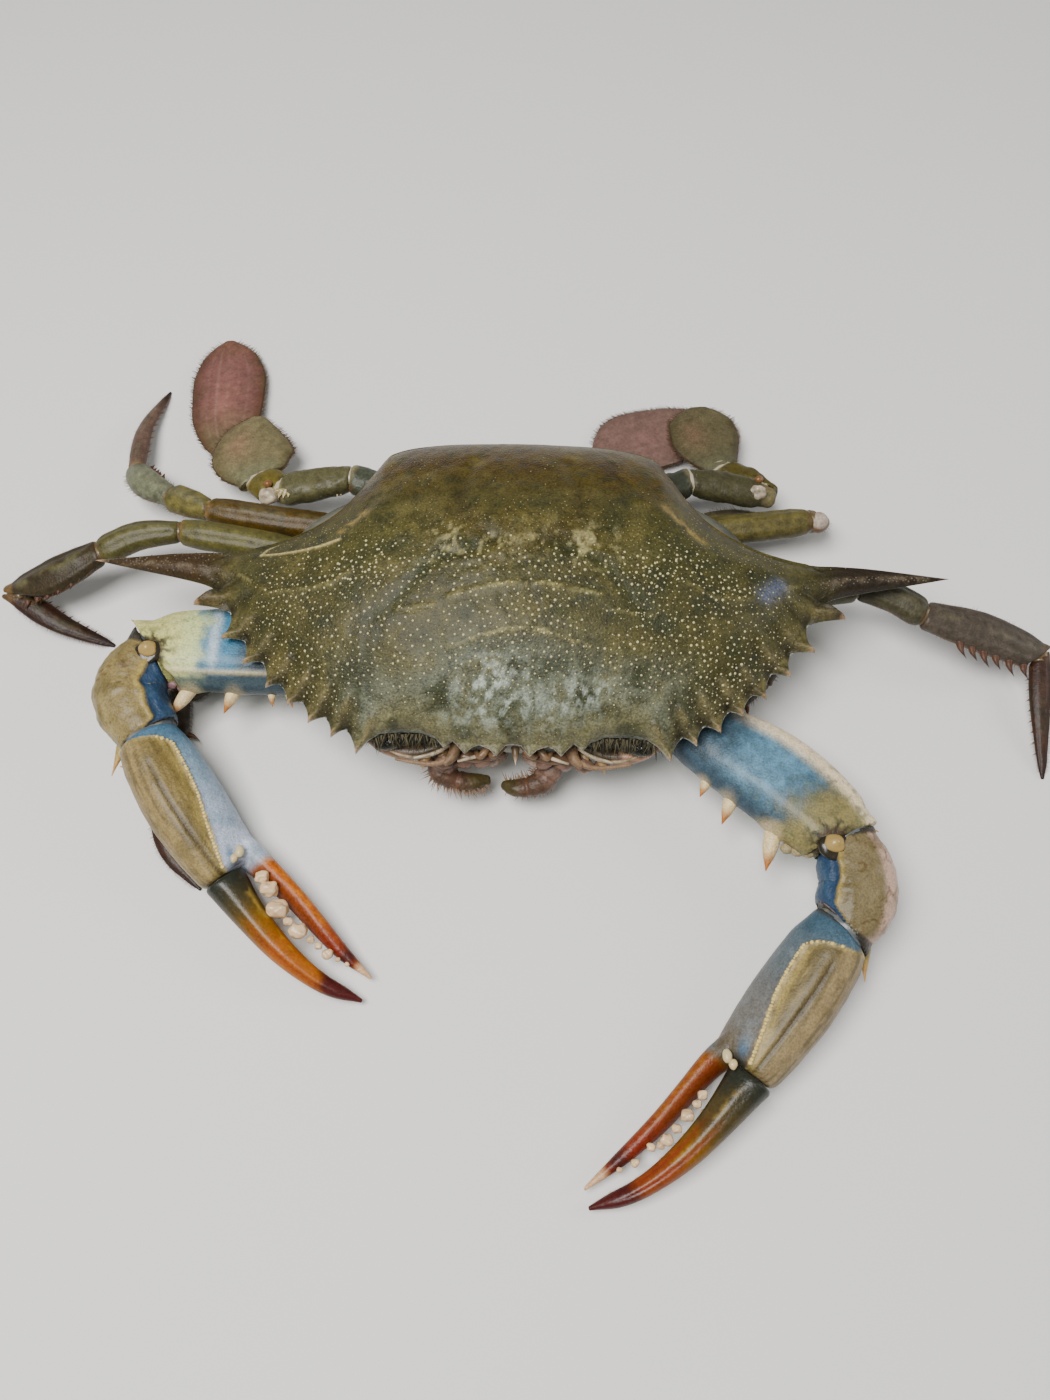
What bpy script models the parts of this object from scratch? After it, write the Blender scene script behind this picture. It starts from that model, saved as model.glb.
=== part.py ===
# Blue crab, life size, resting on its belly with both claws stretched forward.
# The origin is on the floor under the middle of the shell, +Z up, the crab facing -Y.
# "right" is the crab's own right side, at -X. Lengths below are millimetres until a mesh is made.

import math

import bmesh
import bpy
import numpy as np

MM = 0.001
GAP = 0.3
HALF_GAP = GAP / 2
FLOOR = 0.0

# Driving dimensions of the shell
SPINE_TIP_X = 80.7
SPINE_TIP_Y = 5.3
SHELL_HALF_WIDTH = 58.5
SHELL_TOP = 36.0
RIM_HEIGHT = 18.6
REAR_RIM_RISE = 1.5
SHELL_UNDERSIDE = 16.8
FRONT_ARC_RADIUS = 61.2
FRONT_ARC_CENTRE_Y = 25.0
BODY_TOP = SHELL_UNDERSIDE - GAP
APRON_THICKNESS = 2.0
APRON_PRESS = 0.1
BREAST_HEIGHT = APRON_THICKNESS + GAP

# Colours, linear, with roughness
OLIVE = ((0.075, 0.085, 0.045), 0.38)
PALE_BELLY = ((0.52, 0.55, 0.52), 0.42)
CLAW_BLUE = ((0.12, 0.22, 0.32), 0.34)
CLAW_OLIVE = ((0.26, 0.22, 0.09), 0.38)
FINGER_ORANGE = ((0.42, 0.13, 0.02), 0.28)
LEG_SLATE = ((0.06, 0.07, 0.055), 0.34)
PADDLE_MAUVE = ((0.20, 0.11, 0.09), 0.32)
MOUTH_TAN = ((0.22, 0.15, 0.11), 0.45)
EYE_BLACK = ((0.012, 0.012, 0.010), 0.12)


# Scene and material helpers

def clear_scene():
    for item in list(bpy.data.objects):
        bpy.data.objects.remove(item, do_unlink=True)


def finish(obj, name, look):
    """One plain shell material, in the node's own colour."""
    colour, roughness = look
    material = bpy.data.materials.new(name + "_shell")
    material.use_nodes = True
    shader = material.node_tree.nodes["Principled BSDF"]
    shader.inputs["Base Color"].default_value = (*colour, 1.0)
    shader.inputs["Roughness"].default_value = roughness
    shader.inputs["Metallic"].default_value = 0.0
    obj.data.materials.clear()
    obj.data.materials.append(material)
    obj.data.shade_smooth()


# Mesh helpers

def unit(vector):
    vector = np.asarray(vector, dtype=float)
    return vector / max(np.linalg.norm(vector), 1e-9)


def new_object(name, vertices, faces):
    """A closed mesh object from points in millimetres, its faces turned outwards."""
    mesh = bpy.data.meshes.new(name)
    mesh.from_pydata([tuple(np.asarray(v) * MM) for v in vertices], [], faces)
    obj = bpy.data.objects.new(name, mesh)
    bpy.context.scene.collection.objects.link(obj)
    edit = bmesh.new()
    edit.from_mesh(mesh)
    bmesh.ops.recalc_face_normals(edit, faces=edit.faces)
    edit.to_mesh(mesh)
    edit.free()
    return obj


def apply_modifiers(obj):
    bpy.context.view_layer.update()
    graph = bpy.context.evaluated_depsgraph_get()
    mesh = bpy.data.meshes.new_from_object(obj.evaluated_get(graph))
    spent = obj.data
    obj.modifiers.clear()
    obj.data = mesh
    bpy.data.meshes.remove(spent)


def keep_largest(obj):
    """Welds slivers and keeps the largest closed surface of the mesh."""
    weld = 0.004 * MM
    edit = bmesh.new()
    edit.from_mesh(obj.data)
    bmesh.ops.triangulate(edit, faces=edit.faces)
    bmesh.ops.remove_doubles(edit, verts=edit.verts, dist=weld)
    bmesh.ops.dissolve_degenerate(edit, edges=edit.edges, dist=weld)
    bmesh.ops.triangulate(edit, faces=edit.faces)
    waiting = set(edit.faces)
    groups = []
    while waiting:
        stack = [waiting.pop()]
        group = []
        while stack:
            face = stack.pop()
            group.append(face)
            for edge in face.edges:
                for other in edge.link_faces:
                    if other in waiting:
                        waiting.remove(other)
                        stack.append(other)
        groups.append(group)
    groups.sort(key=lambda group: sum(face.calc_area() for face in group))
    for group in groups[:-1]:
        bmesh.ops.delete(edit, geom=group, context="FACES")
    loose = [vertex for vertex in edit.verts if not vertex.link_faces]
    bmesh.ops.delete(edit, geom=loose, context="VERTS")
    edit.to_mesh(obj.data)
    edit.free()


def combine(obj, pieces, operation, solver="EXACT"):
    """One Boolean of obj with a collection of closed pieces, which are then removed."""
    if not pieces:
        return obj
    group = bpy.data.collections.new(obj.name + "_pieces")
    bpy.context.scene.collection.children.link(group)
    for piece in pieces:
        bpy.context.scene.collection.objects.unlink(piece)
        group.objects.link(piece)
        piece.hide_render = True
        piece.display_type = "WIRE"
    boolean = obj.modifiers.new("pieces", "BOOLEAN")
    boolean.operation = operation
    boolean.operand_type = "COLLECTION"
    boolean.collection = group
    boolean.solver = solver
    apply_modifiers(obj)
    for piece in pieces:
        bpy.data.objects.remove(piece, do_unlink=True)
    bpy.data.collections.remove(group)
    keep_largest(obj)
    return obj


def fuse(obj, pieces, solver="EXACT"):
    return combine(obj, pieces, "UNION", solver)


def swollen_copy(obj, margin):
    """A copy of obj grown outwards by margin, to cut a neighbour clear of it."""
    mesh = obj.data.copy()
    edit = bmesh.new()
    edit.from_mesh(mesh)
    edit.normal_update()
    for vertex, normal in [(v, v.normal.copy()) for v in edit.verts]:
        vertex.co += normal * (margin * MM * vertex.calc_shell_factor())
    edit.to_mesh(mesh)
    edit.free()
    copy = bpy.data.objects.new(obj.name + "_swollen", mesh)
    bpy.context.scene.collection.objects.link(copy)
    return copy


def cut_clear(obj, neighbours, margin=GAP):
    return combine(obj, [swollen_copy(each, margin) for each in neighbours], "DIFFERENCE")


def trim(obj, point, normal):
    """Keeps the side of a plane that the normal points to, and closes the cut with a flat face."""
    edit = bmesh.new()
    edit.from_mesh(obj.data)
    geometry = edit.verts[:] + edit.edges[:] + edit.faces[:]
    place = np.asarray(point) * MM
    bmesh.ops.bisect_plane(edit, geom=geometry, plane_co=place, plane_no=unit(normal), clear_inner=True)
    rim = [edge for edge in edit.edges if edge.is_boundary]
    if rim:
        bmesh.ops.holes_fill(edit, edges=rim, sides=0)
    bmesh.ops.triangulate(edit, faces=[face for face in edit.faces if len(face.verts) > 4])
    bmesh.ops.recalc_face_normals(edit, faces=edit.faces)
    edit.to_mesh(obj.data)
    edit.free()


def stand_on_floor(obj):
    """Flattens whatever dips to the floor into a small flat foot at floor level."""
    lowest = min(vertex.co.z for vertex in obj.data.vertices)
    if lowest < FLOOR:
        trim(obj, (0, 0, FLOOR), (0, 0, 1))


# Shapes that limbs, spines and teeth are made of

class Rod:
    """A tapered, curved, oval rod along a smooth path, with rounded ends."""

    def __init__(self, path, girth, side=None, sides=10, rings=7, squareness=2.2):
        self.path = np.asarray(path, dtype=float)
        self.girth = girth
        self.side = side
        self.sides = sides
        self.rings = rings
        self.squareness = squareness

    def centre(self, t):
        """Catmull-Rom through the path's points, straight on past both ends."""
        points = self.path
        last = len(points) - 1
        if t <= 0 or last == 1:
            return points[0] + (points[1] - points[0]) * t * last
        if t >= 1:
            return points[-1] + (points[-1] - points[-2]) * (t - 1) * last
        scaled = min(t * last, last - 1e-6)
        index = int(scaled)
        u = scaled - index
        b = points[index]
        c = points[index + 1]
        a = points[index - 1] if index > 0 else 2 * b - c
        d = points[index + 2] if index + 2 <= last else 2 * c - b
        return 0.5 * (2 * b + (c - a) * u + (2 * a - 5 * b + 4 * c - d) * u**2 + (3 * b - a - 3 * c + d) * u**3)

    def heading(self, t):
        step = 0.01
        return unit(self.centre(t + step) - self.centre(t - step))

    def axes(self, t):
        """Directions of the broad side and of the thickness at t."""
        along = self.heading(t)
        broad = np.cross((0, 0, 1), along) if self.side is None else np.asarray(self.side, dtype=float)
        broad = unit(broad - along * np.dot(broad, along))
        return broad, np.cross(along, broad)

    def half_sizes(self, t):
        keys = [key[0] for key in self.girth]
        return (np.interp(t, keys, [key[1] for key in self.girth]),
                np.interp(t, keys, [key[2] for key in self.girth]))

    def surface(self, t, angle, scale=1.0):
        """Point on the skin at t, angle degrees round from the broad side."""
        broad, thick = self.axes(t)
        half_broad, half_thick = self.half_sizes(t)
        c = math.cos(math.radians(angle))
        s = math.sin(math.radians(angle))
        power = 2 / self.squareness
        x = math.copysign(abs(c) ** power, c) * half_broad * scale
        y = math.copysign(abs(s) ** power, s) * half_thick * scale
        return self.centre(t) + broad * x + thick * y

    def build(self, name, reach_start=0.0, reach_end=0.0):
        """Mesh object; reach adds straight length past an end, to be trimmed at a joint."""
        length = sum(np.linalg.norm(b - a) for a, b in zip(self.path[:-1], self.path[1:]))
        start = -reach_start / length
        end = 1 + reach_end / length
        stations = [(t, 1.0) for t in np.linspace(start, end, self.rings)]
        stations.insert(0, (start - 0.35 * self.half_sizes(0)[1] / length, 0.6))
        stations.append((end + 0.35 * self.half_sizes(1)[1] / length, 0.6))
        vertices = []
        faces = []
        for t, scale in stations:
            vertices += [self.surface(t, 360 * k / self.sides, scale) for k in range(self.sides)]
        count = len(stations)
        for ring in range(count - 1):
            for k in range(self.sides):
                a = ring * self.sides + k
                b = ring * self.sides + (k + 1) % self.sides
                faces.append((a, b, b + self.sides, a + self.sides))
        faces.append(tuple(range(self.sides)))
        faces.append(tuple(range((count - 1) * self.sides, count * self.sides)))
        return new_object(name, vertices, faces)


def fang(root, tip, half_width, half_height=None, sides=5, up=(0, 0, 1), tip_share=0.12):
    """A tapered spine from a sunk root to a blunt small tip."""
    root = np.asarray(root, dtype=float)
    tip = np.asarray(tip, dtype=float)
    half_height = half_width if half_height is None else half_height
    along = unit(tip - root)
    wide = np.cross(along, up)
    if np.linalg.norm(wide) < 0.1:
        wide = np.cross(along, (1, 0, 0))
    wide = unit(wide)
    high = np.cross(wide, along)
    vertices = []
    for centre, share in ((root, 1.0), (tip, tip_share)):
        for k in range(sides):
            turn = 2 * math.pi * k / sides
            vertices.append(centre + wide * half_width * share * math.cos(turn)
                            + high * half_height * share * math.sin(turn))
    faces = [(k, (k + 1) % sides, sides + (k + 1) % sides, sides + k) for k in range(sides)]
    faces.append(tuple(range(sides)))
    faces.append(tuple(range(sides, 2 * sides)))
    return new_object("fang", vertices, faces)


def spikes_along(rod, angle, spans, length, radius, lean=0.35):
    """A row of spines on a rod at one angle, one at each t in spans, leaning to the far end."""
    pieces = []
    for index, t in enumerate(spans):
        skin = rod.surface(t, angle)
        outward = unit(skin - rod.centre(t))
        pointing = unit(outward + rod.heading(t) * lean)
        size = length * (1.0 - 0.18 * (index % 2))
        root = skin - outward * radius * 1.3
        pieces.append(fang(root, skin + pointing * size, radius))
    return pieces


def bumps_along(rod, angle, teeth, sides=6):
    """Rounded crushing teeth on the biting edge of a finger, each a place along it and a size."""
    pieces = []
    for t, size in teeth:
        skin = rod.surface(t, angle)
        outward = unit(skin - rod.centre(t))
        pieces.append(fang(skin - outward * size, skin + outward * size * 0.9, size, sides=sides, tip_share=0.55))
    return pieces


# Shell

def front_arc(angle):
    """Point on the circle that the notches between the side teeth lie on."""
    turn = math.radians(angle)
    return (FRONT_ARC_RADIUS * math.sin(turn), FRONT_ARC_CENTRE_Y - FRONT_ARC_RADIUS * math.cos(turn))


FRONT_EDGE = [(0, -30.6), (6, -31.2), (11, -30.6), (13.5, -28.2), (19, -27.5), (24.5, -28.4), (27, -30.2)]
FRONT_EDGE += [front_arc(angle) for angle in (29, 32.5, 36, 39.5, 43, 46.5, 50, 53.5, 57, 61)]
FRONT_EDGE += [(56.6, -0.4), (SHELL_HALF_WIDTH, 3.6)]
REAR_EDGE = [(0, 33.0), (12, 32.7), (20, 31.9), (25.6, 30.2), (28.2, 26.6), (31.5, 21.5), (35.5, 16.5),
             (41.0, 12.5), (47.0, 9.6), (53.2, 8.1), (56.6, 7.4), (SHELL_HALF_WIDTH, 3.6)]
SIDE_TEETH = [(27.2, -33.1), (31.8, -29.9), (36.0, -27.2), (40.0, -24.0), (44.3, -20.6), (49.0, -16.0),
              (53.7, -11.0), (59.9, -4.0)]


def front_y(x):
    return np.interp(abs(x), [p[0] for p in FRONT_EDGE], [p[1] for p in FRONT_EDGE])


def rear_y(x):
    return np.interp(abs(x), [p[0] for p in REAR_EDGE], [p[1] for p in REAR_EDGE])


def shell_height(x, v):
    """Height of the shell at x, a share v of the way from its front edge to its rear edge."""
    dome = (SHELL_TOP - RIM_HEIGHT) * max(0.0, 1 - (abs(x) / SHELL_HALF_WIDTH) ** 2) ** 1.15
    steepness = 0.8 if v < 0.5 else 0.68
    rise = max(0.0, 4 * v * (1 - v)) ** steepness
    y = front_y(x) + (rear_y(x) - front_y(x)) * v
    rim = RIM_HEIGHT + REAR_RIM_RISE * min(1.0, max(0.0, (y - 10) / 23))
    return rim + dome * rise


def shell_plate():
    """The domed shell, closed by a flat underside just inside its rim."""
    half = sorted({p[0] for p in FRONT_EDGE[:-1]} | {p[0] for p in REAR_EDGE[:-1] if p[0] in (20, 25.6, 31.5)})
    columns = [-x for x in half[:0:-1]] + half
    rows = [0.0, 0.05, 0.13, 0.25, 0.4, 0.56, 0.72, 0.86, 0.95, 1.0]
    vertices = [(-SHELL_HALF_WIDTH, REAR_EDGE[-1][1], RIM_HEIGHT)]
    for x in columns:
        for v in rows:
            y = front_y(x) + (rear_y(x) - front_y(x)) * v
            vertices.append((x, y, shell_height(x, v)))
    vertices.append((SHELL_HALF_WIDTH, REAR_EDGE[-1][1], RIM_HEIGHT))
    count = len(rows)
    first = 1
    last = 1 + (len(columns) - 1) * count
    end = len(vertices) - 1
    faces = []
    for c in range(len(columns) - 1):
        for r in range(count - 1):
            a = first + c * count + r
            faces.append((a, a + count, a + count + 1, a + 1))
    for r in range(count - 1):
        faces.append((0, first + r, first + r + 1))
        faces.append((end, last + r + 1, last + r))
    front = [first + c * count for c in range(len(columns))]
    rear = [first + c * count + count - 1 for c in reversed(range(len(columns)))]
    rim = [0] + front + [end] + rear
    inset = 0.975
    base = len(vertices)
    vertices += [(vertices[i][0] * inset, vertices[i][1] * inset, SHELL_UNDERSIDE) for i in rim]
    total = len(rim)
    for k in range(total):
        nxt = (k + 1) % total
        faces.append((rim[k], rim[nxt], base + nxt, base + k))
    faces.append(tuple(range(base, base + total)))
    return new_object("carapace", vertices, faces)


def lateral_spine(side):
    """The long ninth tooth, swept straight out from the widest point of the shell."""
    path = [(side * 46, 3.6, 18.9), (side * 57, 4.0, 18.8), (side * 68, 4.7, 18.8),
            (side * SPINE_TIP_X, SPINE_TIP_Y, 19.0)]
    girth = [(0, 3.0, 1.2), (0.33, 4.3, 1.7), (0.5, 3.4, 1.6), (0.75, 1.8, 1.15), (1, 0.3, 0.3)]
    return Rod(path, girth, side=(0, 1, 0), sides=8, rings=7).build("spine")


def make_carapace():
    shell = shell_plate()
    pieces = []
    for side in (-1, 1):
        pieces.append(lateral_spine(side))
        for index, (x, y) in enumerate(SIDE_TEETH):
            tip = np.array((side * x, y, 18.9))
            inward = unit((-side * x * 0.75, FRONT_ARC_CENTRE_Y * 0.2 - y, 0))
            root = tip + inward * (7.0 + 0.25 * index)
            pieces.append(fang(root, tip, 3.3 + 0.12 * index, 1.7, sides=6, tip_share=0.07))
        for x, y, width in ((3.4, -33.3, 2.0), (8.3, -33.0, 2.1), (12.2, -31.9, 1.4)):
            tip = (side * x, y, 18.6)
            pieces.append(fang((side * x * 0.95, y + 6, 19.0), tip, width, 1.6, sides=6, tip_share=0.15))
    fuse(shell, pieces)
    return shell


# Ventral body: breast plates, mouth frame and side walls in one

BODY_LEVELS = [(BODY_TOP, 46.0, -28.6, 27.0, 0.75), (13.6, 38.0, -30.0, 27.6, 0.72), (10.5, 27.5, -28.6, 28.0, 0.6),
               (7.0, 22.5, -25.0, 27.4, 0.5), (BREAST_HEIGHT, 20.5, -18.5, 25.0, 0.5)]
BODY_RING = 36


def make_thorax():
    vertices = []
    for z, half_x, front, rear, corner in BODY_LEVELS:
        middle = (front + rear) / 2
        half_y = (rear - front) / 2
        for k in range(BODY_RING):
            turn = 2 * math.pi * k / BODY_RING
            c = math.cos(turn)
            s = math.sin(turn)
            vertices.append((math.copysign(abs(c) ** corner, c) * half_x,
                             middle + math.copysign(abs(s) ** corner, s) * half_y, z))
    faces = []
    for level in range(len(BODY_LEVELS) - 1):
        for k in range(BODY_RING):
            a = level * BODY_RING + k
            b = level * BODY_RING + (k + 1) % BODY_RING
            faces.append((a, b, b + BODY_RING, a + BODY_RING))
    faces.append(tuple(range(BODY_RING)))
    faces.append(tuple(range((len(BODY_LEVELS) - 1) * BODY_RING, len(BODY_LEVELS) * BODY_RING)))
    body = new_object("thorax", vertices, faces)
    pieces = [fang((0, -26, 14.6), (0, -33.2, 13.8), 2.2, 1.3)]
    for side in (-1, 1):
        lip = Rod([(side * 12.5, -28.0, 13.4), (side * 17, -29.3, 13.0), (side * 22.5, -28.9, 13.3),
                   (side * 26.5, -27.2, 14.2)], [(0, 1.6, 1.5), (0.5, 1.9, 1.6), (1, 1.4, 1.3)], side=(0, 1, 0),
                  sides=8, rings=6)
        pieces.append(lip.build("orbit_lip"))
        pieces.append(fang((side * 15.6, -28.6, 12.8), (side * 16.4, -33.3, 12.2), 1.6, 1.0))
        pieces.append(fang((side * 12.6, -28.4, 12.8), (side * 13.4, -32.3, 12.4), 1.1, 0.9))
    return fuse(body, pieces)


def make_apron():
    """The folded tail: a broad plate from under the shell's rear edge to the middle of the breast."""
    half = APRON_THICKNESS / 2
    lying = half - APRON_PRESS
    path = [(0, 30.4, 15.6), (0, 32.6, 12.0), (0, 32.8, 7.0), (0, 31.0, 2.6), (0, 26.5, lying), (0, 18, lying),
            (0, 8, lying), (0, -2, lying), (0, -11, lying)]
    girth = [(0, 15, half), (0.12, 17, half), (0.3, 17.5, half), (0.5, 17.5, half), (0.72, 16, half),
             (0.88, 10, half), (0.94, 5.4, half), (1, 2.2, half)]
    apron = Rod(path, girth, side=(1, 0, 0), sides=12, rings=15, squareness=4.5).build("abdomen")
    stand_on_floor(apron)
    return apron


def make_eye(name, side):
    stalk = Rod([(side * 14.6, -28.4, 16.3), (side * 19.2, -29.6, 16.5), (side * 24.2, -30.4, 16.2)],
                [(0, 1.3, 1.2), (0.45, 1.5, 1.4), (0.62, 2.0, 1.9), (0.85, 2.2, 2.0), (1, 1.5, 1.4)],
                side=(0, 1, 0), sides=10, rings=8, squareness=2.0)
    return stalk.build(name)


def make_antenna(name, side):
    """Stout base beside the brow, and the short whip laid along the eye's lower lip."""
    base = Rod([(side * 10.2, -29.6, 15.0), (side * 10.8, -31.8, 14.9), (side * 12.0, -33.2, 14.8)],
               [(0, 1.3, 1.2), (0.6, 1.3, 1.2), (1, 0.9, 0.9)], side=(1, 0, 0), sides=8, rings=4, squareness=2.0)
    whip = Rod([(side * 11.2, -32.2, 14.9), (side * 13.8, -33.2, 14.6), (side * 17.2, -33.1, 14.6),
                (side * 20.8, -32.6, 14.8)], [(0, 0.6, 0.6), (1, 0.32, 0.32)], sides=6, rings=6, squareness=2.0)
    return fuse(base.build(name), [whip.build("whip")])


PALPS = {-1: [(-8.6, -28.6, 9.4), (-12.8, -31.0, 8.8), (-13.4, -32.8, 7.4), (-9.2, -33.9, 6.4), (-4.8, -33.0, 6.0)],
         1: [(6.6, -28.8, 9.4), (6.6, -31.6, 8.6), (5.0, -33.8, 7.0), (1.6, -34.6, 6.2), (-1.8, -33.8, 5.8)]}


def make_maxilliped(name, side):
    """Outer mouth door with its jointed feeler curling out in front."""
    door = Rod([(side * 5.0, -18.4, 2.4), (side * 5.2, -25.2, 5.6), (side * 6.0, -30.2, 9.6)],
               [(0, 3.2, 1.2), (0.25, 4.4, 1.3), (0.8, 4.4, 1.3), (1, 3.2, 1.2)], side=(1, 0, 0), sides=10,
               rings=6, squareness=3.0)
    palp = Rod(PALPS[side], [(0, 1.4, 1.3), (0.35, 1.7, 1.3), (0.75, 1.5, 1.1), (1, 0.7, 0.6)], sides=8, rings=9)
    return fuse(door.build(name), [palp.build("palp")])


# Limbs

SEGMENTS = ("coxa", "merus", "carpus", "propodus", "dactyl")
WALKING_GIRTH = {
    "coxa": [(0, 2.9, 2.8), (0.6, 3.2, 3.0), (1, 2.7, 2.5)],
    "merus": [(0, 2.2, 2.2), (0.3, 3.0, 2.6), (0.85, 3.0, 2.6), (1, 2.5, 2.3)],
    "carpus": [(0, 2.1, 2.0), (0.5, 3.0, 2.4), (0.85, 3.1, 2.5), (1, 2.5, 2.2)],
    "propodus": [(0, 2.2, 2.0), (0.5, 3.2, 2.3), (0.85, 2.8, 2.0), (1, 2.1, 1.7)],
    "dactyl": [(0, 1.7, 1.4), (0.25, 1.9, 1.4), (0.6, 1.4, 1.0), (0.9, 0.7, 0.55), (1, 0.28, 0.28)],
}
FLAT_GIRTH = {
    "coxa": [(0, 2.9, 2.6), (0.6, 3.0, 2.6), (1, 2.5, 2.0)],
    "merus": [(0, 2.2, 1.8), (0.3, 3.0, 2.0), (0.85, 3.0, 1.9), (1, 2.5, 1.7)],
    "carpus": [(0, 2.1, 1.6), (0.5, 3.0, 1.8), (0.85, 3.0, 1.8), (1, 2.5, 1.6)],
    "propodus": [(0, 2.2, 1.5), (0.5, 3.1, 1.7), (0.85, 2.7, 1.6), (1, 2.1, 1.3)],
    "dactyl": [(0, 1.7, 1.2), (0.25, 1.9, 1.2), (0.6, 1.4, 0.9), (0.9, 0.7, 0.5), (1, 0.28, 0.28)],
}
SWIM_GIRTH = {
    "coxa": [(0, 3.2, 3.0), (0.5, 3.6, 3.2), (1, 3.0, 2.6)],
    "merus": [(0, 2.7, 2.4), (0.4, 3.4, 2.6), (0.85, 3.6, 2.6), (1, 3.0, 2.3)],
    "carpus": [(0, 2.8, 2.3), (0.5, 3.9, 2.5), (1, 3.2, 2.0)],
    "propodus": [(0, 3.0, 1.7), (0.2, 5.2, 1.4), (0.5, 7.3, 1.1), (0.75, 7.0, 0.9), (0.92, 4.6, 0.7),
                 (1, 2.4, 0.6)],
    "dactyl": [(0, 3.2, 0.7), (0.15, 5.6, 0.75), (0.4, 7.7, 0.7), (0.65, 8.1, 0.65), (0.85, 6.3, 0.55),
               (0.95, 3.6, 0.5), (1, 1.3, 0.4)],
}
ROUND_PADDLE_ARM = [(0, 4.4, 1.8), (0.2, 7.3, 1.6), (0.4, 8.7, 1.4), (0.6, 7.9, 1.2), (0.8, 5.8, 0.9), (0.95, 2.8, 0.7),
                    (1, 1.8, 0.6)]
CLAW_GIRTH = {
    "coxa": [(0, 4.2, 4.0), (0.6, 4.6, 4.2), (1, 4.2, 3.9)],
    "merus": [(0, 4.6, 4.0), (0.25, 7.4, 4.6), (0.6, 9.1, 5.0), (0.88, 8.3, 4.9), (1, 6.4, 4.4)],
    "carpus": [(0, 5.0, 4.4), (0.3, 6.4, 5.2), (0.65, 6.6, 5.5), (1, 5.6, 4.8)],
    "propodus": [(0, 5.4, 4.6), (0.2, 6.8, 5.4), (0.5, 7.3, 5.6), (0.8, 6.8, 5.0), (1, 6.0, 4.3)],
    "dactyl": [(0, 3.9, 3.2), (0.1, 3.4, 3.1), (0.25, 2.8, 2.7), (0.45, 2.3, 2.2), (0.65, 1.8, 1.7), (0.85, 1.35, 1.2),
               (1, 0.35, 0.35)],
}
POLLEX_GIRTH = [(0, 2.6, 3.2), (0.2, 2.3, 3.0), (0.4, 1.95, 2.6), (0.6, 1.9, 2.2), (0.8, 1.5, 1.5), (1, 0.35, 0.35)]
JOINT_REACH = 1.6
CLAW_JOINT_REACH = 4.5


def joint_plane(before, after):
    """Point and direction of the cut between two segments."""
    normal = unit(before.heading(1.0) + after.heading(0.0))
    return (before.path[-1] + after.path[0]) / 2, normal


def make_chain(prefix, rods, looks, planes=None, extras=None, reach=JOINT_REACH):
    """The named segments of one limb, parted by thin cuts at their joints."""
    planes = planes or {}
    extras = extras or {}
    nodes = []
    names = list(rods)
    for index, (segment, rod) in enumerate(rods.items()):
        obj = rod.build(f"{prefix}_{segment}", reach if index else 0.0, reach if index < len(rods) - 1 else 0.0)
        if index:
            point, normal = planes.get(segment) or joint_plane(rods[names[index - 1]], rod)
            trim(obj, np.asarray(point) + unit(normal) * HALF_GAP, normal)
        if index < len(rods) - 1:
            following = names[index + 1]
            point, normal = planes.get(following) or joint_plane(rod, rods[following])
            trim(obj, np.asarray(point) - unit(normal) * HALF_GAP, -np.asarray(unit(normal)))
        fuse(obj, extras.get(segment, []))
        stand_on_floor(obj)
        finish(obj, obj.name, looks[segment])
        nodes.append(obj)
    return nodes


def broadened(girth, share):
    return [(t, half_broad * share, half_thick) for t, half_broad, half_thick in girth]


def straight_rods(joints, girths, bows=None, sides=None, counts=None, broad=None):
    """A rod for each segment, between neighbouring joints, bent sideways by its bow."""
    bows = bows or {}
    sides = sides or {}
    counts = counts or {}
    broad = broad or {}
    rods = {}
    for segment, start, end in zip(SEGMENTS, joints[:-1], joints[1:]):
        start = np.asarray(start, dtype=float)
        end = np.asarray(end, dtype=float)
        middle = (start + end) / 2 + np.asarray(bows.get(segment, (0, 0, 0)), dtype=float)
        ring_count, side_count = counts.get(segment, (6, 10))
        girth = broadened(girths[segment], broad.get(segment, 1.0))
        rods[segment] = Rod([start, middle, end], girth, side=sides.get(segment), sides=side_count, rings=ring_count)
    return rods


LEG_LOOKS = {segment: LEG_SLATE for segment in SEGMENTS}
SWIM_LOOKS = {**LEG_LOOKS, "dactyl": PADDLE_MAUVE}
CLAW_LOOKS = {"coxa": CLAW_BLUE, "merus": CLAW_BLUE, "carpus": CLAW_OLIVE, "propodus": CLAW_OLIVE,
              "dactyl": FINGER_ORANGE}

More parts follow.
